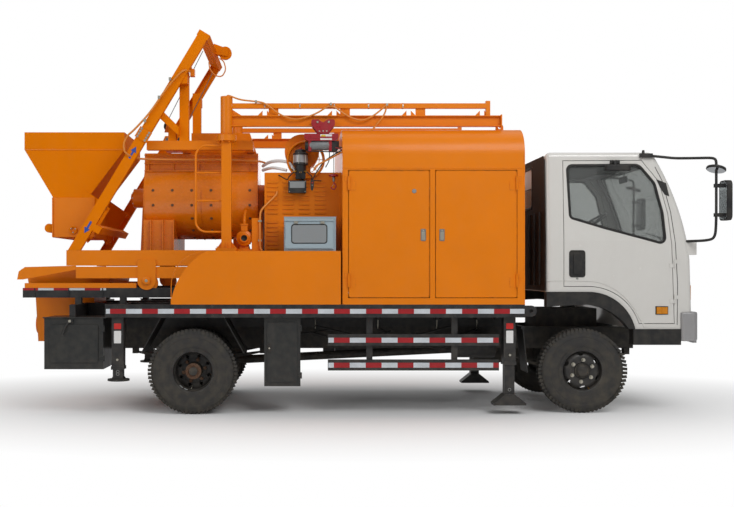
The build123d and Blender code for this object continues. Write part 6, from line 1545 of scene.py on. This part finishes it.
def mastTrim():
    # splice bolts, rope sheaves, arrows, limit switches with their conduit, and the wire ropes
    size = {"lean": 59, "footX": 2.99, "footZ": 1.66, "sheaveX": 2.035, "sheaveY": 0.585, "sheaveZ": 2.965,
        "railY": 0.818}
    lean = radians(size["lean"])
    along = Vector((cos(lean), 0, sin(lean)))
    up = Vector((-sin(lean), 0, cos(lean)))
    foot = Vector((-size["footX"], 0, size["footZ"]))
    places = []
    for a in (1.345, 1.375, 1.405, 1.435):
        for b in (-0.045, 0.045):
            place = foot + along * a + up * b
            places.append((place.x, place.z))
    for name, side in (("spliceBoltsRight", -1), ("spliceBoltsLeft", 1)):
        bolts(name, "chassis", [(x, side * size["railY"], z) for x, z in places], (0, side, 0))
    gear = Build("orange")
    for side in (-1, 1):
        centre = (-size["sheaveX"], side * size["sheaveY"], size["sheaveZ"])
        gear.lathe(centre, (0, side, 0), ((-0.02, 0.012), (-0.02, 0.058), (-0.014, 0.058), (-0.004, 0.044),
            (0.004, 0.044), (0.014, 0.058), (0.02, 0.058), (0.02, 0.012)),
            ["deckBlack", "deckBlack", "steel", "steel", "steel", "deckBlack", "deckBlack", "zinc"],
            sides=36)
        gear.rod((-size["sheaveX"], side * 0.56, size["sheaveZ"]),
            (-size["sheaveX"], side * 0.625, size["sheaveZ"]), 0.0122, "zinc", 16)
        gear.prism([(-2.085, 0, 2.9), (-1.985, 0, 2.9), (-2.012, 0, size["footX"]),
            (-2.058, 0, size["footX"])], (0, side * 0.01, 0), start=(0, side * 0.606, 0))
    gear.prism([(-2.17, 0, 2.79), (-1.99, 0, 2.79), (-2.03, 0, 2.905), (-2.12, 0, 2.905)], (0, 0.6, 0),
        start=(0, -0.3, 0))
    gear.rod((-2.08, -0.36, 2.85), (-2.08, 0.36, 2.85), 0.032, "steel", 24)
    gear.make("ropeGear", "chassis", bevel=0.002)
    # arrows that show the skip's way, painted on the near rail
    arrows = Build()
    for a, way in ((1.175, 1), (0.275, -1)):
        centre = foot + along * a + Vector((0, -0.8082, 0))
        shape = [(-0.07, -0.011), (0.01, -0.011), (0.01, -0.032), (0.07, 0), (0.01, 0.032), (0.01, 0.011),
            (-0.07, 0.011)]
        outline = [centre + along * (way * p) + up * q for p, q in shape]
        arrows.prism([tuple(p) for p in outline], (0, -0.001, 0), "blue")
    arrows.make("wayArrows", "chassis", bevel=0)
    switch = Build("orange")
    for a, y in ((2.11, -0.6), (2.24, -0.6)):
        place = foot + along * a - up * 0.02
        switch.prism([(place.x - 0.03, 0, place.z - 0.05), (place.x + 0.035, 0, place.z - 0.02),
            (place.x + 0.02, 0, place.z + 0.05), (place.x - 0.045, 0, place.z + 0.02)], (0, 0.06, 0),
            start=(0, y - 0.13, 0))
        switch.rod((place.x, y - 0.125, place.z + 0.05), (place.x + 0.02, y - 0.125, place.z + 0.1), 0.006,
            "zinc", 10)
    switch.box((-1.8, -0.735, 3.47), (-1.755, -0.66, 3.545))
    switch.make("limitSwitches", "chassis", bevel=0.003)
    conduit = [(-1.02, -0.4, 2.585), (-1.03, -0.44, 2.6), (-1.1, -0.45, 2.617), (-1.4, -0.47, 2.628),
        (-2.3, -0.62, 2.615), (-2.39, -0.8, 2.62), (-2.46, -0.845, 2.66), (-2.475, -0.845, 2.74),
        (-2.44, -0.845, 2.83), (-2.36, -0.838, 2.9), (-2.2, -0.835, 3.075), (-2.03, -0.835, 3.33),
        (-1.86, -0.835, 3.52), (-1.8, -0.76, 3.51)]
    pipe = Build()
    pipe.tube(conduit, 0.0105, "orangePipe", 12, 8)
    for a in (1.52, 1.8, 2.02):
        place = foot + along * a + up * 0.055
        pipe.box((place.x - 0.012, -0.848, place.z - 0.016), (place.x + 0.012, -0.822, place.z + 0.016),
            "zinc")
    pipe.make("switchConduit", "chassis", bevel=0)
    loop = Build()
    loop.tube(((-1.55, -0.03, 3.8), (-1.5, -0.08, 3.76), (-1.475, -0.1, 3.66), (-1.52, -0.09, 3.585),
        (-1.6, -0.08, 3.6), (-size["footZ"], -0.06, 3.68), (-1.67, -0.03, 3.76)), 0.007, "orangePipe", 10,
        8)
    loop.make("sheaveLead", "chassis", bevel=0)
    rope = Build("steelRope")
    top = foot + along * 2.5
    for side in (-1, 1):
        start = Vector((-size["sheaveX"], side * size["sheaveY"],
            size["sheaveZ"])) + Vector((-0.044 * sin(lean), 0, 0.044 * cos(lean)))
        rope.rod(start, (top.x + 0.02, side * size["sheaveY"], top.z - 0.04), 0.004, sides=8)
        rope.rod((-size["sheaveX"] + 0.044, side * size["sheaveY"], size["sheaveZ"]),
            (-size["sheaveX"] + 0.044, side * size["sheaveY"], 2.83), 0.004, sides=8)
    rope.make("liftRopes", "chassis", bevel=0)


def skipTrim():
    # stiffening folds round the skip, its side panels, and the boss's bolts
    size = {"y": 0.5195, "x": 3.283, "low": 1.803, "high": 2.222, "bossX": 3.059, "bossZ": 1.879,
        "bossCircle": 0.026}
    skip = Build("orange")
    for side in (-1, 1):
        skip.box((-3.578, side * size["y"], 2.725), (-2.522, side * 0.5255, 2.737))
        skip.flat([(-size["x"], size["low"]), (-2.832, size["low"]), (-2.832, size["high"]),
            (-size["x"], size["high"])], side * size["y"], side * 0.01)
        for x in (-size["x"], -2.844):
            skip.box((x, side * 0.529, size["low"]), (x + 0.012, side * 0.545, size["high"]))
    skip.make("skipFolds", "skip", bevel=0.0015)
    bosses = [(-size["bossX"] + size["bossCircle"] * cos(a), -0.5465,
        size["bossZ"] + size["bossCircle"] * sin(a)) for a in (0.5, 2.6, 4.7)]
    bolts("skipBossBolts", "skip", bosses, (0, -1, 0), "zinc", 0.005, 0.004, 0.007)


def frameTrim():
    # bolts and gussets of the jib columns, stiffeners of the frame, and the skip's foot rollers
    column = {"x": -1.41, "y": 0.9, "circle": 0.082, "foot": 1.678}
    places, facing = [], []
    for side in (-1, 1):
        for i in range(8):
            angle = 2 * pi * i / 8 + 0.39
            for z, way in ((2.8295, 1), (2.77, -1)):
                places.append((column["x"] + column["circle"] * cos(angle),
                    side * column["y"] + column["circle"] * sin(angle), z))
                facing.append((0, 0, way))
        for dx in (-0.085, 0.085):
            for dy in (-0.085, 0.085):
                places.append((column["x"] + dx, side * column["y"] + dy, column["foot"]))
                facing.append((0, 0, 1))
    bolts("columnBolts", "chassis", places, facing, "orange", 0.01, 0.01, 0.015)
    base = Build()
    for side in (-1, 1):
        for dx, dy in ((1, 0), (-1, 0), (0, 1), (0, -1)):
            corner = Vector((column["x"] + dx * 0.05, side * column["y"] + dy * 0.05, column["foot"]))
            base.prism([corner, corner + Vector((dx * 0.05, dy * 0.05, 0)), corner + Vector((0, 0, 0.07))],
                (0.008 * abs(dy), 0.008 * abs(dx), 0), "orange",
                start=(-0.004 * abs(dy), -0.004 * abs(dx), 0))
        for x in (-3.4, -3.05, -2.7, -1.8, -1.4):
            base.box((x, side * 0.8055, 1.172), (x + 0.01, side * 0.813, 1.268), "deckBlack")
    base.make("columnGussets", "chassis", bevel=0.001)
    roller = Build()
    for side in (-1, 1):
        roller.lathe((-2.24, side * 0.836, 1.345), (0, side, 0),
            ((0, 0), (0, 0.04), (0.006, 0.04), (0.01, 0.03), (0.01, 0.016), (0.014, 0.014), (0.014, 0)),
            ["orange"] * 4 + ["zinc"] * 2, sides=32)
        roller.lathe((-2.215, side * 0.79, 1.322), (0, side, 0),
            ((-0.028, 0.012), (-0.028, 0.088), (0.01, 0.088), (0.01, 0.012)), "orange", sides=40)
    roller.make("frameRollers", "chassis", bevel=0.0015)


drumTrim()
waterPump()
mastTrim()
skipTrim()
frameTrim()
print("stage: mixer")


def jibTrim():
    # gussets and end caps on both jibs, and the clips of the near jib's cable tube
    size = {"y": 0.9, "top": 3.0295, "tubeZ": 3.13}
    for tag, side, body in (("Right", -1, "jib_body_right"), ("Left", 1, "jib_body_left")):
        trim = Build("orange")
        y = side * size["y"]
        for x in (-1.02, -0.31, 0.45, 1.2):
            for way in (-1, 1):
                trim.prism([(x + way * 0.022, y, size["top"]), (x + way * 0.075, y, size["top"]),
                    (x + way * 0.022, y, 3.085)], (0, 0.01, 0), start=(0, -0.005, 0))
        trim.prism([(-1.37, y, size["top"]), (-1.25, y, size["top"]), (-1.37, y, 3.105)], (0, 0.012, 0),
            start=(0, -0.006, 0))
        trim.box((1.385, y - 0.052, 2.912), (1.397, y + 0.052, 3.038))
        trim.make(f"jibGussets{tag}", body, bevel=0.0015)
        if side > 0:
            continue
        clips = Build()
        for x in (-1.36, -1.02, -0.66, -0.31, 0.04, 0.39):
            clips.lathe((x, y, size["tubeZ"]), (1, 0, 0), ((-0.006, 0.026), (-0.006, 0.0305),
                (0.006, 0.0305), (0.006, 0.026)), "zinc", sides=24)
        clips.make(f"cableClips{tag}", body, bevel=0.0006)


festoon = [(-1.405, 3.215), (-1.393, 3.236), (-1.271, 3.186), (-1.108, 3.17), (-1.016, 3.155),
    (-0.86, 3.03), (-0.701, 2.978), (-0.5, 3.04), (-0.3445, 3.145), (-0.18, 3.02), (-0.029, 2.967),
    (0.1, 3.03), (0.2257, 3.139)]


def festoonCable():
    # loops of orange cable slung from the tube, and the last run that follows the hoist
    runs = Build()
    line = [(x, -0.944, z) for x, z in festoon]
    runs.tube(line, 0.0085, "orangePipe", 10, 8)
    for x, z in ((-1.108, 3.17), (-0.3445, 3.145), (0.2257, 3.139)):
        runs.box((x - 0.01, -0.953, z - 0.012), (x + 0.01, -0.905, z + 0.012), "zinc")
    runs.make("festoonCable", "jib_body_right", bevel=0)
    last = Build()
    points = [(0.2257, -0.944, 3.139), (0.2, -0.946, 3.03), (0.06, -0.95, 2.86), (-0.15, -0.955, 2.7),
        (-0.36, -0.955, 2.585), (-0.5, -0.95, 2.515), (-0.517, -0.935, 2.47)]
    last.tube(points, 0.0085, "orangePipe", 10, 10)
    made = last.make("hoistCable", None, bevel=0)
    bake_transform(made)


def hoist():
    # trolley plates, rollers, covered gearbox, motor, drum, rope, weight and hook
    size = {"wheelZ": 2.958, "boltZ": 2.866, "drumZ": 2.728, "motorZ": 2.722, "hookX": 0.315}
    body = Build("zinc")
    y = -0.9
    plate = roundedOutline(((-0.545, 2.985), (-0.47, 2.985), (-0.4265, 2.952), (-0.38, 2.985),
        (-0.305, 2.985), (-0.305, 2.93), (-0.372, 2.845), (-0.478, 2.845), (-0.545, 2.93)), 0.018, 5)
    for side in (-1, 1):
        body.flat(plate, y + side * 0.0555, side * 0.008, "hoistRed")
        for x in (-0.482, -0.368):
            body.lathe((x, y + side * 0.0475, size["wheelZ"]), (0, side, 0),
                ((-0.022, 0.006), (-0.022, 0.02), (0, 0.022), (0.002, 0.027), (0.006, 0.027),
                (0.006, 0.006)), "steel", sides=28)
            body.rod((x, y + side * 0.063, size["wheelZ"]), (x, y + side * 0.073, size["wheelZ"]), 0.012,
                sides=6)
        for x in (-0.462, -0.425, -0.388):
            body.rod((x, y + side * 0.063, size["boltZ"]), (x, y + side * 0.07, size["boltZ"]), 0.009,
                sides=6)
    for x in (-0.462, -0.388):
        body.rod((x, y - 0.068, size["boltZ"]), (x, y + 0.068, size["boltZ"]), 0.006, sides=12)
    body.make("hoistTrolley", "hoist_trolley", ["hoist"], bevel=0.0018)
    case = Build("hoistRed")
    cover = roundedOutline(((-0.618, 2.842), (-0.268, 2.842), (-0.268, 2.8), (-0.3, 2.77), (-0.585, 2.77),
        (-0.618, 2.8)), 0.012, 4)
    case.flat(cover, y - 0.058, 0.116)
    case.flat(roundedBox(-0.6, -0.285, 2.795, 2.812, 0.004, 2), y - 0.0585, -0.0035)
    case.flat(roundedBox(-0.455, -0.335, 2.776, 2.834, 0.004, 2), y - 0.0582, -0.0022, "white")
    case.flat(roundedBox(-0.445, -0.4, 2.803, 2.828, 0.003, 2), y - 0.0604, -0.0006, "yellow")
    # ribbed drum, motor, limit rod, lever and end block hung from it
    case.lathe((-0.565, y, size["drumZ"]), (1, 0, 0), ((0, 0), (0, 0.044), (0.01, 0.05), (0.195, 0.05),
        (0.205, 0.044), (0.205, 0)), "grey", sides=40)
    for i in range(14):
        case.lathe((-0.548 + i * 0.0135, y, size["drumZ"]), (1, 0, 0),
            ((-0.003, 0.049), (-0.0015, 0.0535), (0.0015, 0.0535), (0.003, 0.049)), "grey", sides=40)
    for x in (-0.575, -0.367):
        case.box((x, y - 0.045, 2.665), (x + 0.03, y + 0.045, 2.775))
    case.lathe((-0.61, y, size["motorZ"]), (1, 0, 0), ((0, 0), (0, 0.036), (0.006, 0.046), (0.037, 0.046),
        (0.037, 0)), "motorBlack", sides=36)
    for i in range(5):
        case.lathe((-0.604 + i * 0.007, y, size["motorZ"]), (1, 0, 0),
            ((-0.0012, 0.045), (-0.0012, 0.049), (0.0012, 0.049), (0.0012, 0.045)), "motorBlack", sides=36)
    case.rod((-0.59, y - 0.03, 2.668), (-0.23, y - 0.03, 2.656), 0.006, "motorBlack", 12)
    case.prism([(-0.35, y - 0.036, 2.77), (-0.262, y - 0.036, 2.77), (-0.262, y - 0.036, 2.7),
        (-0.285, y - 0.036, 2.668), (-0.35, y - 0.036, 2.668)], (0, 0.072, 0), "motorBlack")
    case.tube(((-0.3, y - 0.04, 2.7), (-0.245, y - 0.044, 2.69), (-0.225, y - 0.044, 2.655)), 0.006,
        sides=10)
    case.make("hoistCase", "hoist_trolley", bevel=0.003)
    line = Build("hoistRed")
    hookX = -size["hookX"]
    line.rod((hookX, y, 2.76), (hookX, y, 2.405), 0.0035, "steelRope", 10)
    line.lathe((hookX, y, 2.42), (0, 0, 1), ((-0.012, 0), (-0.012, 0.042), (-0.005, 0.048), (0.005, 0.048),
        (0.012, 0.042), (0.012, 0)), sides=36)
    line.lathe((hookX, y, 2.388), (0, 0, 1), ((-0.03, 0), (-0.03, 0.01), (0, 0.017), (0.02, 0.012),
        (0.02, 0)), "steel", sides=24)
    bow = [(hookX, y, 2.37), (hookX, y, 2.348)]
    for i in range(11):
        angle = pi / 2 - 0.25 - i * 2 * pi * 0.68 / 10
        bow.append((hookX + 0.026 * cos(angle) - 0.002, y, 2.31 + 0.03 * sin(angle)))
    line.tube(bow, 0.0072, sides=12, smooth=3)
    line.rod((hookX - 0.026, y, 2.292), (hookX - 0.002, y, 2.336), 0.0028, "zinc", 8)
    line.make("hoistLine", "hoist_trolley", bevel=0.0012)
    lead = Build("cable")
    lead.tube([(-0.28, y - 0.03, 2.71), (-0.215, y - 0.035, 2.7), (-0.185, y - 0.035, 2.735),
        (-0.2, y - 0.035, 2.7), (-0.27, y - 0.035, 2.655), (-0.3, y - 0.035, 2.64),
        (-0.42, y - 0.036, 2.56), (-0.5, y - 0.03, 2.44), (-0.535, y - 0.022, 2.37)], 0.006, sides=10,
        smooth=8)
    lead.tube([(-0.36, y - 0.03, 2.665), (-0.36, y - 0.04, 2.57), (-0.4, y - 0.035, 2.5)], 0.005, sides=10,
        smooth=6)
    lead.prism([(-0.552, y - 0.034, 2.372), (-0.516, y - 0.034, 2.372), (-0.52, y - 0.034, 2.3),
        (-0.528, y - 0.034, 2.268), (-0.546, y - 0.034, 2.268), (-0.554, y - 0.034, 2.3)], (0, 0.03, 0),
        "plastic")
    lead.rod((-0.534, y - 0.035, 2.345), (-0.534, y - 0.041, 2.345), 0.007, "red", 14)
    lead.rod((-0.534, y - 0.035, 2.318), (-0.534, y - 0.041, 2.318), 0.007, "steel", 14)
    lead.make("pendant", "hoist_trolley", bevel=0.0015)


jibTrim()
festoonCable()
hoist()
print("stage: jibs")


def greasePump():
    # electric grease pump in front of the cooler box: reservoir, clear band, outlets, relay box
    size = {"bottom": 2.45, "lidZ": 2.703, "circle": 0.0735, "relayTop": 2.372}
    pump = Build("motorBlack")
    x, y = -0.655, -0.775
    profile = [(0, 0), (0, 0.052), (0.012, 0.058), (0.085, 0.058), (0.09, 0.074), (0.1, 0.077),
        (0.112, 0.077), (0.114, 0.072), (0.19, 0.072), (0.192, 0.078), (0.206, 0.078), (0.212, 0.074),
        (0.218, 0.06), (0.245, 0.056), (0.252, 0.03), (0.252, 0)]
    tones = ["motorBlack"] * 6 + ["steel", "silver", "steel"] + ["motorBlack"] * 6
    pump.lathe((x, y, size["bottom"]), (0, 0, 1), profile, tones, sides=44)
    for i in range(6):
        angle = 2 * pi * i / 6 + 0.3
        pump.rod((x + size["circle"] * cos(angle), y + size["circle"] * sin(angle), 2.548),
            (x + size["circle"] * cos(angle), y + size["circle"] * sin(angle), 2.66), 0.0045, "zinc", 10)
    pump.lathe((x, y, size["lidZ"]), (0, 0, 1), ((0, 0), (0, 0.018), (0.012, 0.018), (0.016, 0.012),
        (0.016, 0)), "red", sides=20)
    for dx, dz in ((-0.085, 0), (0, -0.012), (0.078, -0.004)):
        pump.rod((x + dx * 0.55, y - 0.04, 2.475 + dz), (x + dx * 0.72, y - 0.058, 2.47 + dz), 0.012,
            "brass", 6)
        pump.rod((x + dx * 0.72, y - 0.056, 2.47 + dz), (x + dx * 0.78, y - 0.066, 2.466 + dz), 0.008,
            "brass", 14)
    pump.box((x - 0.05, y - 0.048, 2.395), (x + 0.05, y + 0.048, 2.455))
    for z in (2.408, 2.424, 2.44):
        pump.box((x - 0.053, y - 0.051, z), (x + 0.053, y + 0.051, z + 0.006))
    pump.make("greasePump", "chassis", ["grease_pump"], bevel=0.002)
    relay = Build("motorBlack")
    relay.box((-0.775, -0.82, 2.255), (-0.6, -0.7015, size["relayTop"]))
    relay.box((-0.78, -0.828, 2.25), (-0.595, -0.815, 2.377))
    relay.box((-0.765, -0.829, 2.3), (-0.612, -0.8278, 2.366), "grey")
    for x0 in (-0.768, -0.607):
        for z in (2.262, 2.365):
            relay.rod((x0, -0.827, z), (x0, -0.832, z), 0.005, "zinc", 12)
    relay.box((-0.745, -0.7025, size["relayTop"]), (-0.56, -0.694, 2.72), "orange")
    relay.make("relayBox", "chassis", bevel=0.002)
    lines = Build()
    for dx, end in ((-0.062, (-0.92, -0.66, 2.47)), (0, (-0.6, -0.72, 2.3)),
            (0.062, (-0.44, -0.735, 2.38))):
        start = (x + dx, y - 0.06, 2.464)
        lines.tube((start, (x + dx * 1.3, y - 0.07, 2.452), (x + dx * 2.0, y - 0.062, 2.41),
            ((x + end[0]) / 2, -0.79, 2.38), end), 0.0055, "cable", 10, 6)
    lines.make("greaseLines", "chassis", bevel=0)


def fanCover():
    # round screened fan guard beside the housing, with its ring, spokes and rolled lip
    size = {"spoke": 0.185, "screenDepth": 0.034, "wire": 0.003}
    guard = Build("orange")
    centre = (-0.6, -0.7005, 2.6)
    guard.lathe(centre, (0, -1, 0), ((0, 0.172), (0, 0.196), (0.018, 0.2), (0.044, 0.198), (0.052, 0.19),
        (0.046, 0.18), (0.018, 0.176)), sides=64)
    for radius in (0.035, 0.07, 0.105, 0.14):
        guard.lathe(centre, (0, -1, 0), ((0.036, radius - size["wire"]), (0.042, radius - size["wire"]),
            (0.042, radius + size["wire"]), (0.036, radius + size["wire"])), sides=56)
    for i in range(8):
        angle = pi * i / 4
        guard.rod((centre[0], centre[1] - size["screenDepth"], centre[2]),
            (centre[0] + size["spoke"] * cos(angle), centre[1] - size["screenDepth"],
            centre[2] + size["spoke"] * sin(angle)), 0.004, sides=8)
    guard.rod((centre[0], centre[1] + 0.001, centre[2]), (centre[0], centre[1] - 0.05, centre[2]), 0.024,
        "deckBlack", 24)
    guard.make("fanGuard", "chassis", bevel=0.001)


def wrappedHoses():
    # pale spiral-wrapped pressure hoses between the pump block and the housing
    size = {"rib": 0.0025, "conduitX": 1.072}
    hose("wrapHoseA", "chassis", [(-1.06, -0.3, 2.58), (-1.0, -0.52, 2.6), (-0.86, -0.68, 2.6),
        (-0.74, -0.735, 2.56), (-0.7, -0.73, 2.45)], 0.015, "white", size["rib"], 0.014, 12)
    hose("wrapHoseB", "chassis", [(-1.06, -0.34, 2.53), (-0.98, -0.56, 2.535), (-0.9, -0.69, 2.52),
        (-0.8, -0.735, 2.49)], 0.014, "white", size["rib"], 0.014, 12)
    runs = Build()
    runs.tube(((-0.9, -0.715, 2.27), (-0.9, -0.72, 2.24), (-1.06, -0.8, 2.08),
        (-size["conduitX"], -0.82, 2.02), (-size["conduitX"], -0.83, 1.68), (-1.05, -0.83, 1.655)), 0.011,
        "orangePipe", 12, 8)
    for z in (1.75, 1.95):
        runs.box((-1.09, -0.835, z), (-1.054, -0.805, z + 0.018), "zinc")
    runs.make("relayConduit", "chassis", bevel=0)


def controlBox():
    # sheet lid with a folded lip, rounded window, catches and knobs
    size = {"lidY": 1.1195, "lipY": 1.136, "low": 1.674, "high": 1.961}
    lid = Build("boxBlue")
    outer = roundedBox(-0.806, -0.329, size["low"], size["high"], 0.01, 3)
    lid.flat(outer, -size["lidY"], -0.003)
    ring = roundedBox(-0.748, -0.386, 1.718, 1.915, 0.03, 6)
    hole = roundedBox(-0.738, -0.396, 1.728, 1.905, 0.024, 6)
    lid.flat(ring, -1.1222, -0.0035, "plastic")
    lid.flat(hole, -1.1256, -0.0012, "grey")
    lid.prism([(-0.814, -size["lidY"], 1.969), (-0.814, -size["lipY"], 1.958),
        (-0.814, -size["lipY"], 1.945), (-0.814, -size["lidY"], 1.945)], (0.493, 0, 0))
    for x in (-0.7, -0.435):
        lid.box((x - 0.02, -1.1225, 1.918), (x + 0.02, -1.134, 1.942), "zinc")
        lid.rod((x, -1.133, 1.93), (x, -1.142, 1.93), 0.008, "zinc", 16)
    lid.make("controlLidTrim", "control_lid_body", bevel=0.0018)
    box = Build()
    box.prism([(-0.826, -1.088, 1.986), (-0.294, -1.088, 1.986), (-0.294, -0.862, 1.998),
        (-0.826, -0.862, 1.998)], (0, 0, 0.004), "boxBlue")
    for x in (-0.8, -0.32):
        box.rod((x, -0.9, 1.6455), (x, -0.9, 1.64), 0.014, "zinc", 16)
    box.make("controlBoxRoof", "chassis", bevel=0.0012)


greasePump()
fanCover()
wrappedHoses()
controlBox()
print("stage: plant")


studio = {"floor": (244, 244, 244), "keyPower": 400, "fillPower": 120, "skyPower": 0.3, "whiteFrom": 0.35}
cameraPlace = {"x": -0.66, "y": -11.12, "z": 1.455, "lens": 49.05, "shiftX": 0.0913, "shiftY": 0.0225}

cameraData = bpy.data.cameras.new("camera")
cameraData.lens = cameraPlace["lens"]
cameraData.sensor_width = 36
cameraData.shift_x = cameraPlace["shiftX"]
cameraData.shift_y = cameraPlace["shiftY"]
camera = linked("camera", cameraData)
camera.location = (cameraPlace["x"], cameraPlace["y"], cameraPlace["z"])
camera.rotation_euler = (pi / 2, 0, 0)
bpy.context.scene.camera = camera


def areaLamp(name, place, target, size, power):
    data = bpy.data.lights.new(name, "AREA")
    data.shape = "RECTANGLE"
    data.size, data.size_y = size
    data.energy = power
    lamp = linked(name, data)
    lamp.location = place
    lamp.rotation_euler = (Vector(target) - Vector(place)).to_track_quat("-Z", "Y").to_euler()


areaLamp("key", (3.5, -7.5, 7.5), (0, 0, 1.6), (6, 4), studio["keyPower"])
areaLamp("fill", (-6.5, -6.0, 4.5), (0, 0, 1.8), (5, 4), studio["fillPower"])
areaLamp("top", (0, 1, 8.5), (0, 0, 0), (9, 6), studio["fillPower"])
areaLamp("back", (0, 8.5, 5.0), (0, 0, 1.8), (8, 4), studio["fillPower"])

world = bpy.data.worlds.new("studioWorld")
bpy.context.scene.world = world
world.use_nodes = True
sky = world.node_tree
for node in list(sky.nodes):
    sky.nodes.remove(node)
paths = put(sky, "ShaderNodeLightPath")
seen = mathNode(sky, "MAXIMUM", paths.outputs["Is Camera Ray"], paths.outputs["Is Transmission Ray"])
strength = ramp(sky, seen, 0, 1, studio["skyPower"], 1.0)
glow = put(sky, "ShaderNodeBackground")
glow.inputs["Color"].default_value = (1, 1, 1, 1)
sky.links.new(strength, glow.inputs["Strength"])
worldOut = put(sky, "ShaderNodeOutputWorld")
sky.links.new(glow.outputs[0], worldOut.inputs[0])

floorMesh = bpy.data.meshes.new("floor")
floorMesh.from_pydata([(-30, -30, 0), (30, -30, 0), (30, 30, 0), (-30, 30, 0)], [], [(0, 1, 2, 3)])
floor = linked("floor", floorMesh)
ground = bpy.data.materials.new("floorPaint")
ground.use_nodes = True
groundTree = ground.node_tree
bare = groundTree.nodes["Principled BSDF"]
bare.inputs["Base Color"].default_value = shade(*studio["floor"])
bare.inputs["Roughness"].default_value = 0.85
bare.inputs["Specular IOR Level"].default_value = 0.1
# away from the truck the camera sees the floor as plain white, so it has no edge at the back
spot = put(groundTree, "ShaderNodeTexCoord")
stretch = put(groundTree, "ShaderNodeMapping", vector_type="TEXTURE")
stretch.inputs["Scale"].default_value = (6.4, 3.6, 1)
groundTree.links.new(spot.outputs["Object"], stretch.inputs["Vector"])
reach = put(groundTree, "ShaderNodeVectorMath", operation="LENGTH")
groundTree.links.new(stretch.outputs[0], reach.inputs[0])
far = ramp(groundTree, reach.outputs["Value"], studio["whiteFrom"], 1.0)
looks = put(groundTree, "ShaderNodeLightPath")
plain = mathNode(groundTree, "MULTIPLY", far, looks.outputs["Is Camera Ray"])
pale = put(groundTree, "ShaderNodeEmission")
pale.inputs["Color"].default_value = (1, 1, 1, 1)
both = put(groundTree, "ShaderNodeMixShader")
wire(groundTree, plain, both.inputs[0], bare.outputs[0], both.inputs[1], pale.outputs[0], both.inputs[2],
    both.outputs[0], groundTree.nodes["Material Output"].inputs["Surface"])
floorMesh.materials.append(ground)
bpy.context.scene.view_settings.view_transform = "Standard"
